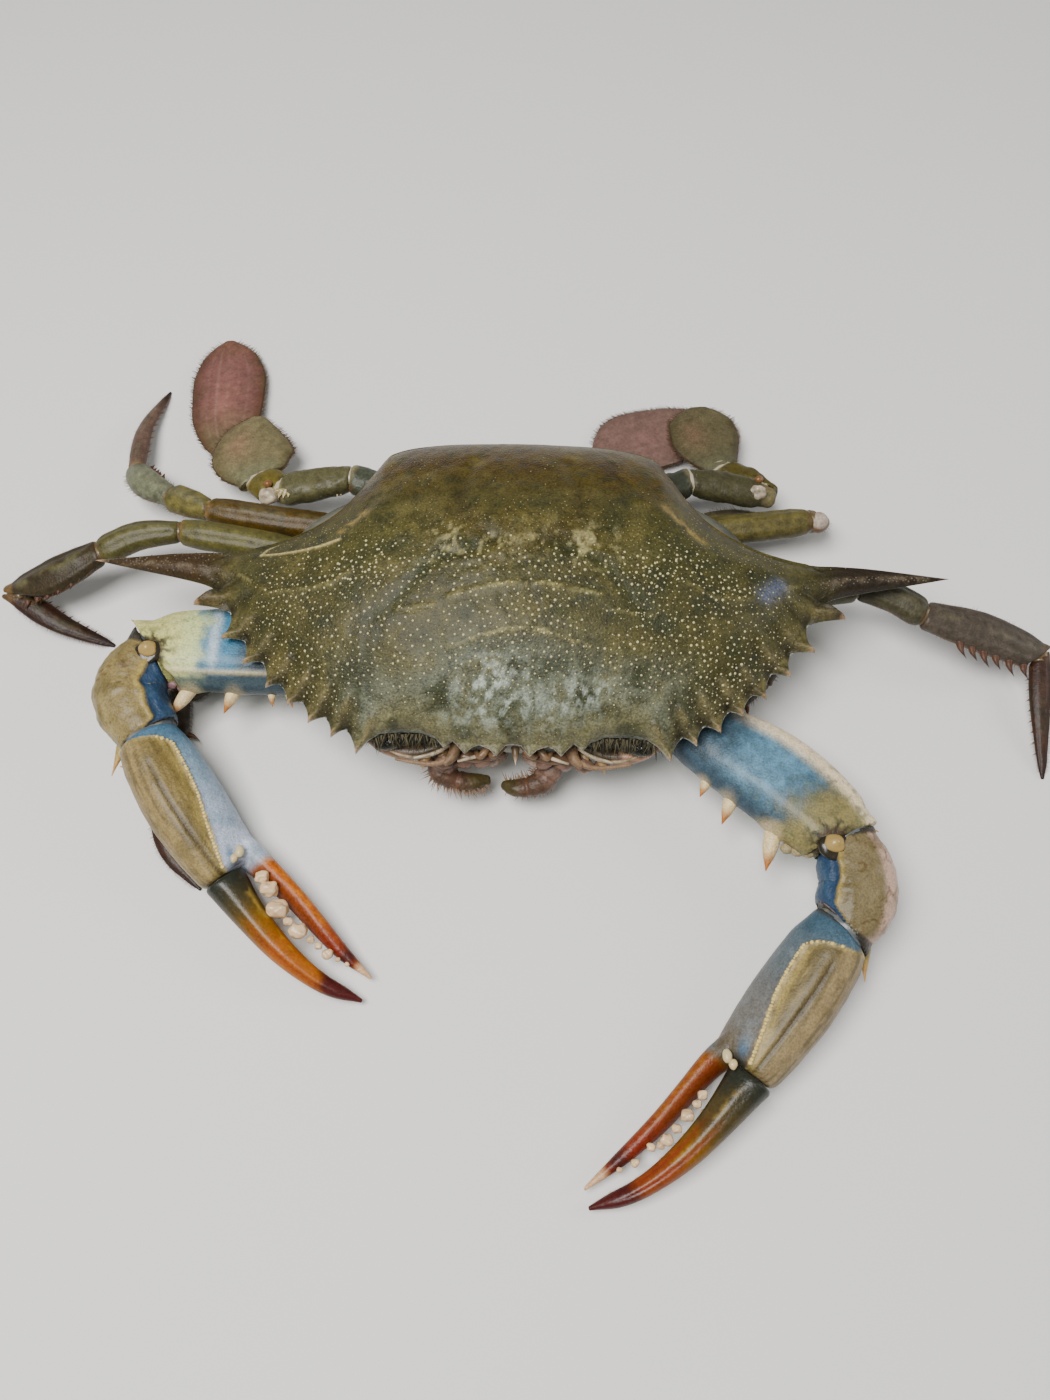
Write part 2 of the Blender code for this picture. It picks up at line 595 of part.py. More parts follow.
WALKING_LEGS = {
    "leg2_right": {
        "joints": [(-19.5, -4.0, 5.4), (-29.0, -3.4, 3.6), (-55.0, -6.8, 2.8), (-66.0, -14.6, 2.2),
                   (-66.0, -38.5, 1.8), (-56.3, -53.0, 0.2)],
        "girths": FLAT_GIRTH, "bows": {"dactyl": (-1.6, -0.8, 0.3), "propodus": (0.4, 0, 0)}},
    "leg3_right": {
        "joints": [(-19.5, 5.0, 6.4), (-33.0, 10.5, 9.0), (-67.6, 16.0, 13.0), (-83.3, 11.8, 11.5),
                   (-101.2, 5.3, 5.5), (-81.5, -3.1, 0.2)],
        "girths": WALKING_GIRTH, "broad": {"propodus": 1.25, "dactyl": 1.3},
        "bows": {"merus": (0, 0.6, 0.8), "carpus": (-0.4, 1.0, 0.6), "propodus": (-0.3, -0.6, 0.1),
                 "dactyl": (-0.8, -1.0, 0.4)}},
    "leg4_right": {
        "joints": [(-19.5, 15.0, 6.8), (-33.0, 20.0, 9.0), (-63.4, 22.8, 11.0), (-72.5, 27.3, 9.0),
                   (-82.9, 37.1, 5.0), (-81.2, 62.6, 0.2)],
        "girths": WALKING_GIRTH, "bows": {"merus": (0, -0.8, 0.6), "propodus": (-1.2, -0.6, 0.6),
                                          "dactyl": (-1.6, 0, 0.6)}},
    "leg2_left": {
        "joints": [(19.5, -4.0, 6.0), (27.0, -4.4, 7.0), (48.0, -1.5, 8.0), (46.6, -10.4, 5.8),
                   (34.8, -17.4, 3.0), (21.4, -22.4, 0.2)],
        "girths": FLAT_GIRTH, "bows": {"dactyl": (0.6, -1.0, 0.2)}},
    "leg3_left": {
        "joints": [(19.5, 5.0, 6.4), (33.0, 7.0, 9.0), (65.2, 6.4, 12.6), (77.7, 1.6, 11.5),
                   (101.1, -3.7, 6.0), (99.9, -27.0, 0.2)],
        "girths": WALKING_GIRTH, "broad": {"propodus": 1.36, "dactyl": 1.1},
        "bows": {"carpus": (0.4, 0.8, 0.4), "propodus": (0.4, 0.2, 0.4), "dactyl": (-0.3, 0, 0.4)}},
}
FRONTWARD = (0, -1, 0)
REARWARD = (0, 1, 0)
RIGHTWARD = (-1, 0, 0)
LEFTWARD = (1, 0, 0)
SPINY_EDGES = {
    "leg2_right": {"propodus": LEFTWARD},
    "leg3_right": {"propodus": FRONTWARD, "dactyl": REARWARD},
    "leg4_right": {"propodus": LEFTWARD, "dactyl": LEFTWARD},
    "leg2_left": {"propodus": LEFTWARD},
    "leg3_left": {"propodus": FRONTWARD, "dactyl": RIGHTWARD},
}


def edge_spines(rods, edges):
    """Short spines along the lower edge of a leg's last two segments."""
    extras = {}
    for segment, facing in edges.items():
        rod = rods[segment]
        angle = 0 if np.dot(rod.axes(0.5)[0], facing) >= 0 else 180
        spans = (0.36, 0.5, 0.62, 0.74, 0.86) if segment == "propodus" else (0.3, 0.44, 0.58)
        length = 2.6 if segment == "propodus" else 1.5
        extras[segment] = spikes_along(rod, angle, spans, length, 0.55)
    return extras


def make_walking_leg(prefix, plan):
    rods = straight_rods(plan["joints"], plan["girths"], plan["bows"], broad=plan.get("broad"))
    extras = edge_spines(rods, SPINY_EDGES[prefix])
    return make_chain(prefix, rods, LEG_LOOKS, extras=extras)


def make_folded_leg(prefix):
    """Left fourth leg: past its thigh it is folded back underneath, towards the body."""
    rods = straight_rods([(19.5, 15.0, 6.8), (33.0, 20.8, 9.0), (57.6, 24.3, 9.4), (50.5, 28.8, 2.3),
                          (37.5, 28.4, 2.1), (25.6, 18.0, 0.2)], WALKING_GIRTH, {"merus": (0, -0.3, 0.4)})
    rods["carpus"] = Rod([(57.8, 24.3, 9.4), (60.4, 25.8, 7.4), (60.2, 28.0, 4.2), (56.0, 28.8, 2.5),
                          (50.5, 28.8, 2.3)], [(0, 2.5, 2.2), (0.3, 2.4, 1.7), (0.8, 2.4, 1.7), (1, 2.2, 1.6)],
                         sides=10, rings=10)
    rods["propodus"] = Rod([(50.2, 28.8, 2.3), (44.0, 28.8, 2.2), (37.5, 28.4, 2.1)], FLAT_GIRTH["propodus"], rings=6)
    rods["dactyl"] = Rod([(37.5, 28.4, 2.0), (31.5, 25.4, 1.4), (25.6, 18.0, 0.2)], FLAT_GIRTH["dactyl"], rings=6)
    return make_chain(prefix, rods, LEG_LOOKS)


def paddle_fringe(rod, angles, spans):
    """Stiff bristle tufts on the rim of a paddle."""
    pieces = []
    for angle in angles:
        pieces += spikes_along(rod, angle, spans, 1.1, 0.42, lean=0.6)
    return pieces


SWIMMING_LEGS = {
    "swim_right": {
        "joints": [(-19.0, 26.0, 9.0), (-35.4, 31.4, 11.0), (-50.0, 29.4, 9.2), (-55.6, 33.0, 7.4)],
        "arm": [(-55.6, 33.0, 7.4), (-57.8, 39.0, 6.2), (-58.9, 45.4, 5.2), (-58.8, 52.2, 4.4)],
        "arm_girth": ROUND_PADDLE_ARM,
        "paddle": [(-64.4, 42.6, 3.8), (-66.4, 53.0, 2.8), (-67.6, 65.0, 1.9), (-69.4, 77.2, 1.2)]},
    "swim_left": {
        "joints": [(19.0, 26.0, 9.0), (34.0, 32.8, 10.4), (49.4, 32.5, 7.6), (41.4, 38.6, 6.8)],
        "arm": [(41.4, 38.6, 6.8), (38.6, 48.0, 5.4), (37.4, 57.0, 4.8)],
        "arm_girth": SWIM_GIRTH["propodus"],
        "paddle": [(42.2, 53.6, 3.7), (32.0, 51.6, 2.6), (22.6, 49.6, 1.7), (14.8, 47.6, 1.2)]},
}


def make_swimming_leg(prefix, plan):
    """The fifth leg: short thick joints, then the flat arm and the oval paddle under its end."""
    rods = straight_rods(plan["joints"], SWIM_GIRTH)
    rods["propodus"] = Rod(plan["arm"], plan["arm_girth"], sides=12, rings=9, squareness=2.0)
    extras = {"propodus": paddle_fringe(rods["propodus"], (180,), (0.3, 0.42, 0.54, 0.66))}
    nodes = make_chain(prefix, rods, SWIM_LOOKS, extras=extras)
    paddle = Rod(plan["paddle"], SWIM_GIRTH["dactyl"], sides=12, rings=11, squareness=2.0).build(prefix + "_dactyl")
    cut_clear(paddle, nodes[-1:])
    stand_on_floor(paddle)
    finish(paddle, paddle.name, PADDLE_MAUVE)
    return nodes + [paddle]


CLAWS = {
    "claw_right": {
        "joints": [(-19.5, -13.0, 8.4), (-31.0, -11.6, 9.4), (-69.0, -10.8, 12.0), (-66.6, -27.4, 10.6)],
        "carpus_bow": (-4.0, -0.2, 0.2), "merus_bow": (0, 1.0, 0.6),
        "palm": [(-67.3, -27.7, 11.2), (-58.8, -39.9, 8.7), (-49.6, -51.2, 4.9)],
        "pollex": [(-48.6, -45.4, 5.2), (-43.6, -50.9, 4.8), (-38.3, -55.7, 4.3), (-33.8, -60.2, 3.8),
                   (-29.0, -64.7, 3.0), (-23.6, -68.6, 2.2)],
        "dactyl": [(-50.4, -52.9, 6.8), (-45.0, -59.2, 6.2), (-38.8, -65.2, 5.0), (-32.0, -69.8, 3.4),
                   (-25.0, -72.4, 1.9)],
        "roll": (-0.66, -0.56, 0.5), "carpus_roll": (-0.9, -0.2, 0.1), "palm_cut": (0.61, -0.79, -0.1),
        "merus_spines": [(-63.5, -22.2, 9.6), (-53.2, -20.9, 10), (-45.3, -20.0, 9.6)],
        "merus_back_spine": ((-69.0, -7.0, 13.0), (-73.6, -4.6, 13.4)),
        "carpus_spine": ((-71.6, -25.5, 9.2), (-73.6, -34.2, 7.6)),
        "palm_spine": ((-66.5, -34.0, 9.0), (-71.2, -33.6, 10.6)),
    },
    "claw_left": {
        "joints": [(19.5, -13.0, 8.4), (28.5, -20.2, 9.4), (58.2, -44.6, 12.0), (56.2, -60.0, 10.4)],
        "carpus_bow": (2.4, -0.8, 0.2), "merus_bow": (1.0, 1.0, 0.6),
        "palm": [(56.2, -60.0, 10.4), (48.3, -70.9, 7.2), (39.4, -82.2, 4.8)],
        "pollex": [(38.8, -76.0, 5.2), (34.7, -81.6, 4.8), (30.4, -86.4, 4.3), (25.9, -91.2, 3.8),
                   (20.4, -96.0, 3.0), (13.5, -101.2, 2.2)],
        "dactyl": [(40.2, -84.2, 6.8), (34.6, -90.8, 6.2), (28.6, -96.6, 5.0), (21.8, -101.2, 3.4),
                   (14.4, -103.9, 1.9)],
        "roll": (0.66, -0.55, 0.5), "carpus_roll": (0.9, 0.1, 0.1), "palm_cut": (-0.78, -0.62, -0.1),
        "merus_spines": [(33.6, -35.2, 9.4), (37.9, -40.4, 9.6), (44.7, -49.0, 9.6)],
        "merus_back_spine": ((58.5, -41.0, 12.8), (63.6, -43.4, 13.4)),
        "carpus_spine": ((60.6, -59.6, 9.0), (60.2, -68.0, 7.6)),
        "palm_spine": ((54.4, -66.6, 9.0), (58.6, -67.6, 10.6)),
    },
}
MOLARS = [(0.36, 0.9), (0.45, 1.35), (0.53, 1.0), (0.61, 1.3), (0.68, 0.7), (0.75, 0.95), (0.82, 0.6), (0.89, 0.5)]
SMALL_TEETH = [(0.3, 0.6), (0.39, 0.8), (0.48, 0.6), (0.57, 0.75), (0.66, 0.5), (0.75, 0.6), (0.84, 0.4)]


def sunk(root, tip, share=0.35):
    """Root moved back into the flesh by a share of the spine's length."""
    root = np.asarray(root, dtype=float)
    return root - (np.asarray(tip) - root) * share


def make_claw(prefix, plan):
    joints = plan["joints"]
    roll = plan["roll"]
    rods = straight_rods(joints, CLAW_GIRTH, {"merus": plan["merus_bow"], "carpus": plan["carpus_bow"]},
                         sides={"carpus": plan["carpus_roll"]},
                         counts={"merus": (9, 12), "carpus": (7, 12), "coxa": (4, 10)})
    rods["propodus"] = Rod(plan["palm"], CLAW_GIRTH["propodus"], side=roll, sides=12, rings=8)
    dactyl = Rod(plan["dactyl"], CLAW_GIRTH["dactyl"], side=roll, sides=9, rings=11)
    pollex = Rod(plan["pollex"], POLLEX_GIRTH, side=roll, sides=9, rings=11)
    merus = rods["merus"]
    merus_spines = []
    for tip in plan["merus_spines"]:
        spans = np.linspace(0.2, 1.0, 60)
        nearest = min(spans, key=lambda t: np.linalg.norm(merus.centre(t) - np.asarray(tip)))
        centre = merus.centre(nearest)
        outward = unit(np.asarray(tip) - centre)
        root = centre + outward * (merus.half_sizes(nearest)[0] - 3.0)
        merus_spines.append(fang(root, tip, 1.5))
    back_root, back_tip = plan["merus_back_spine"]
    merus_spines.append(fang(sunk(back_root, back_tip, 0.2), back_tip, 1.6))
    extras = {"merus": merus_spines,
              "carpus": [fang(sunk(*plan["carpus_spine"], 0.1), plan["carpus_spine"][1], 1.7)],
              "propodus": [fang(sunk(*plan["palm_spine"], 0.2), plan["palm_spine"][1], 1.5)]}
    planes = {"propodus": (joints[3], plan["palm_cut"])}
    nodes = make_chain(prefix, rods, CLAW_LOOKS, planes, extras, CLAW_JOINT_REACH)
    palm = nodes[3]
    end_point = rods["propodus"].path[-1]
    end_heading = rods["propodus"].heading(1.0)
    trim(palm, end_point, -end_heading)
    fuse(palm, [pollex.build("pollex")])
    fuse(palm, bumps_along(pollex, 0, MOLARS))
    stand_on_floor(palm)
    finish(palm, palm.name, CLAW_OLIVE)
    cut_clear(nodes[2], [nodes[1], palm])
    finger = dactyl.build(prefix + "_dactyl", reach_start=CLAW_JOINT_REACH)
    trim(finger, end_point + end_heading * GAP, end_heading)
    fuse(finger, bumps_along(dactyl, 180, SMALL_TEETH))
    cut_clear(finger, [palm])
    stand_on_floor(finger)
    finish(finger, finger.name, FINGER_ORANGE)
    return nodes + [finger]


def main():
    clear_scene()
    limbs = []
    for prefix, plan in CLAWS.items():
        limbs += make_claw(prefix, plan)
    for prefix, plan in WALKING_LEGS.items():
        limbs += make_walking_leg(prefix, plan)
    limbs += make_folded_leg("leg4_left")
    for prefix, plan in SWIMMING_LEGS.items():
        limbs += make_swimming_leg(prefix, plan)
    eyes = [make_eye("eye_right", -1), make_eye("eye_left", 1)]
    antennae = [make_antenna("antenna_right", -1), make_antenna("antenna_left", 1)]
    doors = [make_maxilliped("maxilliped_right", -1), make_maxilliped("maxilliped_left", 1)]
    carapace = make_carapace()
    apron = make_apron()
    thorax = make_thorax()
    cut_clear(carapace, eyes)
    cut_clear(thorax, eyes + antennae + doors + [apron] + limbs)
    for obj, look in ((carapace, OLIVE), (apron, PALE_BELLY), (thorax, PALE_BELLY)):
        finish(obj, obj.name, look)
    for obj in eyes:
        finish(obj, obj.name, EYE_BLACK)
    for obj in antennae + doors:
        finish(obj, obj.name, MOUTH_TAN)


main()
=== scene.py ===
"""Blue crab, life size: the finished look of its shell plates, limbs, eyes, teeth and bristles.

Lengths are millimetres until a mesh is made. The crab faces -Y, and its own right side is at -X.
"""

import itertools
import logging
import math
from collections.abc import Callable, Sequence
from dataclasses import dataclass, field
from enum import Enum

import bpy
import numpy as np
from mathutils import Matrix, Vector

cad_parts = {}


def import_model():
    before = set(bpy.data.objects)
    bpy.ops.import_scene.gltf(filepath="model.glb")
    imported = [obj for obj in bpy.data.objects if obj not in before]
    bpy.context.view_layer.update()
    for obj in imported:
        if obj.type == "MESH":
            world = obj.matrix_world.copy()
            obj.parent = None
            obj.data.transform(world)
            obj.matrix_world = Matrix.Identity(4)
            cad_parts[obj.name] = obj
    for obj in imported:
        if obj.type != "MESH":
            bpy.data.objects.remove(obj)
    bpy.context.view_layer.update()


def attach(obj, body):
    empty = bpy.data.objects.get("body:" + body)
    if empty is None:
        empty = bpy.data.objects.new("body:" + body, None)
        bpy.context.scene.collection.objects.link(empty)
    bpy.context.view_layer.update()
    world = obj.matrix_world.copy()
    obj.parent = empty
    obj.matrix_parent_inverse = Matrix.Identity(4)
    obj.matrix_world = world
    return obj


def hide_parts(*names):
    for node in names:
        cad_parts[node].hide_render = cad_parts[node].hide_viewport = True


Array = np.ndarray
Point = tuple[float, float, float]
Colour = tuple[float, float, float]
Keys = list[tuple[float, ...]]
Plane = tuple[Sequence[float], Sequence[float]]
Line = Sequence[tuple[float, float]]
Ridge = tuple[Line, float, float]
Mound = tuple[float, float, float, float, float]

MM = 0.001
BODY = "root"
GAP = 0.3
RICHNESS = 1.3
DEPTH = 0.85
GREY_SHARES = (0.3, 0.6, 0.1)
LEAST_PAINT = 0.002
EDGES = (0.0, 180.0)
CAP_RINGS = 5
CAP_TURN = 84
SIDE_COUNTS = (14, 150)
RING_COUNTS = (6, 240)
LATTICE = 4096
HASH = (73856093, 19349663, 83492791)
THORN_PROFILE = ((0, 1.3, 1.0), (0.12, 1.05, 1.0), (0.35, 0.88, 0.97), (0.62, 0.52, 0.74), (0.85, 0.2, 0.32),
                 (1, 0.07, 0.07))
LOG = logging.getLogger("blue_crab")


class Tone:
    """Linear colours of the shell, as named."""

    OLIVE: Colour = (0.074, 0.072, 0.032)
    DARK_OLIVE: Colour = (0.05, 0.05, 0.024)
    CREAM: Colour = (0.62, 0.52, 0.31)
    PALE: Colour = (0.58, 0.62, 0.6)
    STEEL: Colour = (0.062, 0.088, 0.108)
    SKY: Colour = (0.26, 0.42, 0.52)
    # Ice blue, laid only as a painted highlight on the right arm.
    ICE: Colour = (0.56, 0.64, 0.7)
    BLACK: Colour = (0.01, 0.011, 0.008)
    IVORY: Colour = (0.78, 0.62, 0.46)
    PINK: Colour = (0.4, 0.2, 0.16)


# Shapes of numbers

def smooth_keys(keys: Keys, column: int, at: Array) -> Array:
    """Monotone smooth curve through keys, flat past both ends.

    Args:
        keys: Rows whose first number is the place along, in rising order.
        column: Which number of each row to follow.
        at: Places to read.

    Returns:
        The value at each place.
    """
    x = np.array([row[0] for row in keys], float)
    y = np.array([row[column] for row in keys], float)
    gap = np.diff(x)
    slope = np.diff(y) / gap
    tangent = np.zeros_like(y)
    tangent[0], tangent[-1] = slope[0], slope[-1]
    if len(slope) > 1:
        product = slope[:-1] * slope[1:]
        total = np.where(np.abs(slope[:-1] + slope[1:]) < 1e-12, 1.0, slope[:-1] + slope[1:])
        tangent[1:-1] = np.where(product > 0, 2 * product / total, 0.0)
    at = np.clip(np.asarray(at, float), x[0], x[-1])
    k = np.clip(np.searchsorted(x, at, side="right") - 1, 0, len(gap) - 1)
    u = (at - x[k]) / gap[k]
    return ((2 * u**3 - 3 * u**2 + 1) * y[k] + (u**3 - 2 * u**2 + u) * gap[k] * tangent[k]
            + (3 * u**2 - 2 * u**3) * y[k + 1] + (u**3 - u**2) * gap[k] * tangent[k + 1])


def step(value: Array, start: float, end: float) -> Array:
    """Smooth rise from 0 at start to 1 at end; end may be the lower of the two."""
    u = np.clip((value - start) / (end - start), 0, 1)
    return u * u * (3 - 2 * u)


def hump(value: Array, centre: float, width: float) -> Array:
    """Bell of height 1 round centre."""
    return np.exp(-(((value - centre) / width) ** 2))


def unit(vectors: Array) -> Array:
    """Vectors of length 1."""
    vectors = np.asarray(vectors, float)
    return vectors / np.maximum(np.linalg.norm(vectors, axis=-1, keepdims=True), 1e-9)


def trace(points: Array, line: Sequence[Sequence[float]]) -> Array:
    """Distance of each point from a line of joined segments.

    Args:
        points: Points, one a row.
        line: The line's corners, in as many numbers as the points have.

    Returns:
        The distance of each point.
    """
    corners = np.asarray(line, float)
    best = np.full(len(points), np.inf)
    for start, end in zip(corners[:-1], corners[1:]):
        run = end - start
        share = np.clip((points - start) @ run / max(run @ run, 1e-9), 0, 1)
        best = np.minimum(best, np.linalg.norm(points - start - share[:, None] * run, axis=1))
    return best


def beside(points: Array, line: Sequence[Sequence[float]], width: float) -> Array:
    """Bell of height 1 along a line of joined segments."""
    return hump(trace(points, line), 0, width)


def ribs(angle: Array, places: Sequence[float], width: float) -> Array:
    """Bells round places on a circle of 360 degrees, added up."""
    return sum(hump((angle - place + 180) % 360 - 180, 0, width) for place in places)


def mound(x: Array, y: Array, middle: tuple[float, float], radii: tuple[float, float]) -> Array:
    """Oval bell of height 1."""
    return np.exp(-(((x - middle[0]) / radii[0]) ** 2) - (((y - middle[1]) / radii[1]) ** 2))


def rows_of(*columns: Array) -> Array:
    """Columns of numbers as one table, a point a row."""
    return np.stack(columns, axis=1)


@dataclass(frozen=True)
class Grain:
    """Smooth seeded noise in space."""

    size: float
    seed: int = 1

    def at(self, points: Array) -> Array:
        """Noise from about -1 to 1.

        Args:
            points: Points in millimetres, one a row.

        Returns:
            One value a point.
        """
        lattice = np.random.default_rng(self.seed).uniform(-1, 1, LATTICE)
        scaled = points / self.size
        base = np.floor(scaled).astype(np.int64)
        part = scaled - base
        part = part * part * (3 - 2 * part)
        total = np.zeros(len(points))
        for corner in itertools.product((0, 1), repeat=3):
            cell = base + corner
            key = (cell[:, 0] * HASH[0]) ^ (cell[:, 1] * HASH[1]) ^ (cell[:, 2] * HASH[2])
            weight = np.prod(np.where(np.array(corner) == 1, part, 1 - part), axis=1)
            total += lattice[key & (LATTICE - 1)] * weight
        return total

    def layered(self, points: Array, layers: int = 3) -> Array:
        """Several sizes of the noise in one, each half as large and half as strong."""
        return sum(Grain(self.size / 2**k, self.seed + k).at(points) / 2**k for k in range(layers))


# Surfaces that pieces are gathered from

@dataclass
class Skin:
    """One closed surface, where each point lies on its rod, and what is painted on it."""

    points: Array
    faces: list[Sequence[int]]
    t: Array
    angle: Array
    normals: Array
    colour: Array = field(init=False)
    gloss: Array = field(init=False)

    def __post_init__(self) -> None:
        """Starts with one plain colour."""
        self.colour = np.tile(np.array(Tone.OLIVE, float), (len(self.points), 1))
        self.gloss = np.zeros(len(self.points))

    def raised(self, height: Array) -> "Skin":
        """Moves the points out along their normals by a height in millimetres."""
        self.points = self.points + self.normals * height[:, None]
        return self

    def fill(self, colour: Colour) -> "Skin":
        """One colour all over."""
        self.colour[:] = colour
        return self

    def lay(self, colour: Colour, mask: Array | float) -> "Skin":
        """Lays a colour over the rest where the mask is above 0."""
        share = np.clip(np.broadcast_to(mask, (len(self.points),)), 0, 1)[:, None]
        self.colour += (np.array(colour, float) - self.colour) * share
        return self

    def speckle(self, size: float, seed: int, strength: float) -> "Skin":
        """Makes the paint lighter and darker in soft patches of a size."""
        self.colour *= (1 + strength * Grain(size, seed).layered(self.points))[:, None].clip(0.2, 2.5)
        return self


def grid_faces(rows: int, columns: int) -> list[Sequence[int]]:
    """Quads of rings of points joined one to the next, with both end rings closed.

    Args:
        rows: How many rings.
        columns: How many points a ring has.

    Returns:
        The faces, as numbers of points.
    """
    ring = np.arange(columns)
    following = (ring + 1) % columns
    faces: list[Sequence[int]] = []
    for row in range(rows - 1):
        a = row * columns
        quads = rows_of(a + ring, a + following, a + columns + following, a + columns + ring)
        faces.extend(quads.tolist())
    faces.append(list(range(columns))[::-1])
    faces.append(list(range((rows - 1) * columns, rows * columns)))
    return faces


def grid_normals(grid: Array, middle: Array) -> Array:
    """Outward normals of rings of points.

    Args:
        grid: Points as rings by places round.
        middle: The middle of each ring.

    Returns:
        One unit vector a point, turned away from the middle.
    """
    along = np.gradient(grid, axis=0)
    across = np.roll(grid, -1, axis=1) - np.roll(grid, 1, axis=1)
    normal = unit(np.cross(across, along))
    outward = grid - middle[:, None, :]
    flip = np.sign(np.sum(normal * outward, axis=2, keepdims=True))
    normal = normal * np.where(flip == 0, 1, flip)
    flat = np.linalg.norm(np.cross(across, along), axis=2, keepdims=True) < 1e-9
    return np.where(flat, unit(outward), normal)


def loose_skin(points: Array, faces: list[Sequence[int]], normals: Array) -> Skin:
    """A surface that lies on no rod."""
    return Skin(points.reshape(-1, 3), faces, np.zeros(points.size // 3), np.zeros(points.size // 3),
                normals.reshape(-1, 3))


def enriched(colours: Array) -> Array:
    """Paint laid a little richer and deeper than it is named, as the film and the pale room wash it out."""
    grey = (colours @ np.array(GREY_SHARES))[:, None]
    return ((grey + (colours - grey) * RICHNESS) * DEPTH).clip(LEAST_PAINT, 1)


def cut_off(grid: Array, middle: Array, along: Array, plane: Plane, shoulder: float) -> Array:
    """Rings of points cut off at a plane, with a rounded rim.

    Args:
        grid: Points as rings by places round.
        middle: The middle of each ring.
        along: The way along at each ring.
        plane: A point of the cut and the direction that is kept.
        shoulder: How far from the cut the surface begins to round over.

    Returns:
        The points, moved.
    """
    normal = unit(np.asarray(plane[1]))
    inside = (grid - np.asarray(plane[0], float)) @ normal
    steep = np.maximum(np.abs(along @ normal), 0.3)[:, None] * np.sign(along @ normal)[:, None]
    grid = grid + along[:, None, :] * (np.maximum(-inside, 0) / steep)[..., None]
    rounding = np.clip(inside / shoulder, 0, 1)
    pull = (1 - np.sqrt(1 - (1 - rounding) ** 2)) * min(1.0, shoulder / 2)
    towards = middle[:, None, :] - grid
    towards = towards - normal * (towards @ normal)[..., None]
    return grid + unit(towards) * (pull * np.minimum(1, np.linalg.norm(towards, axis=2)))[..., None]


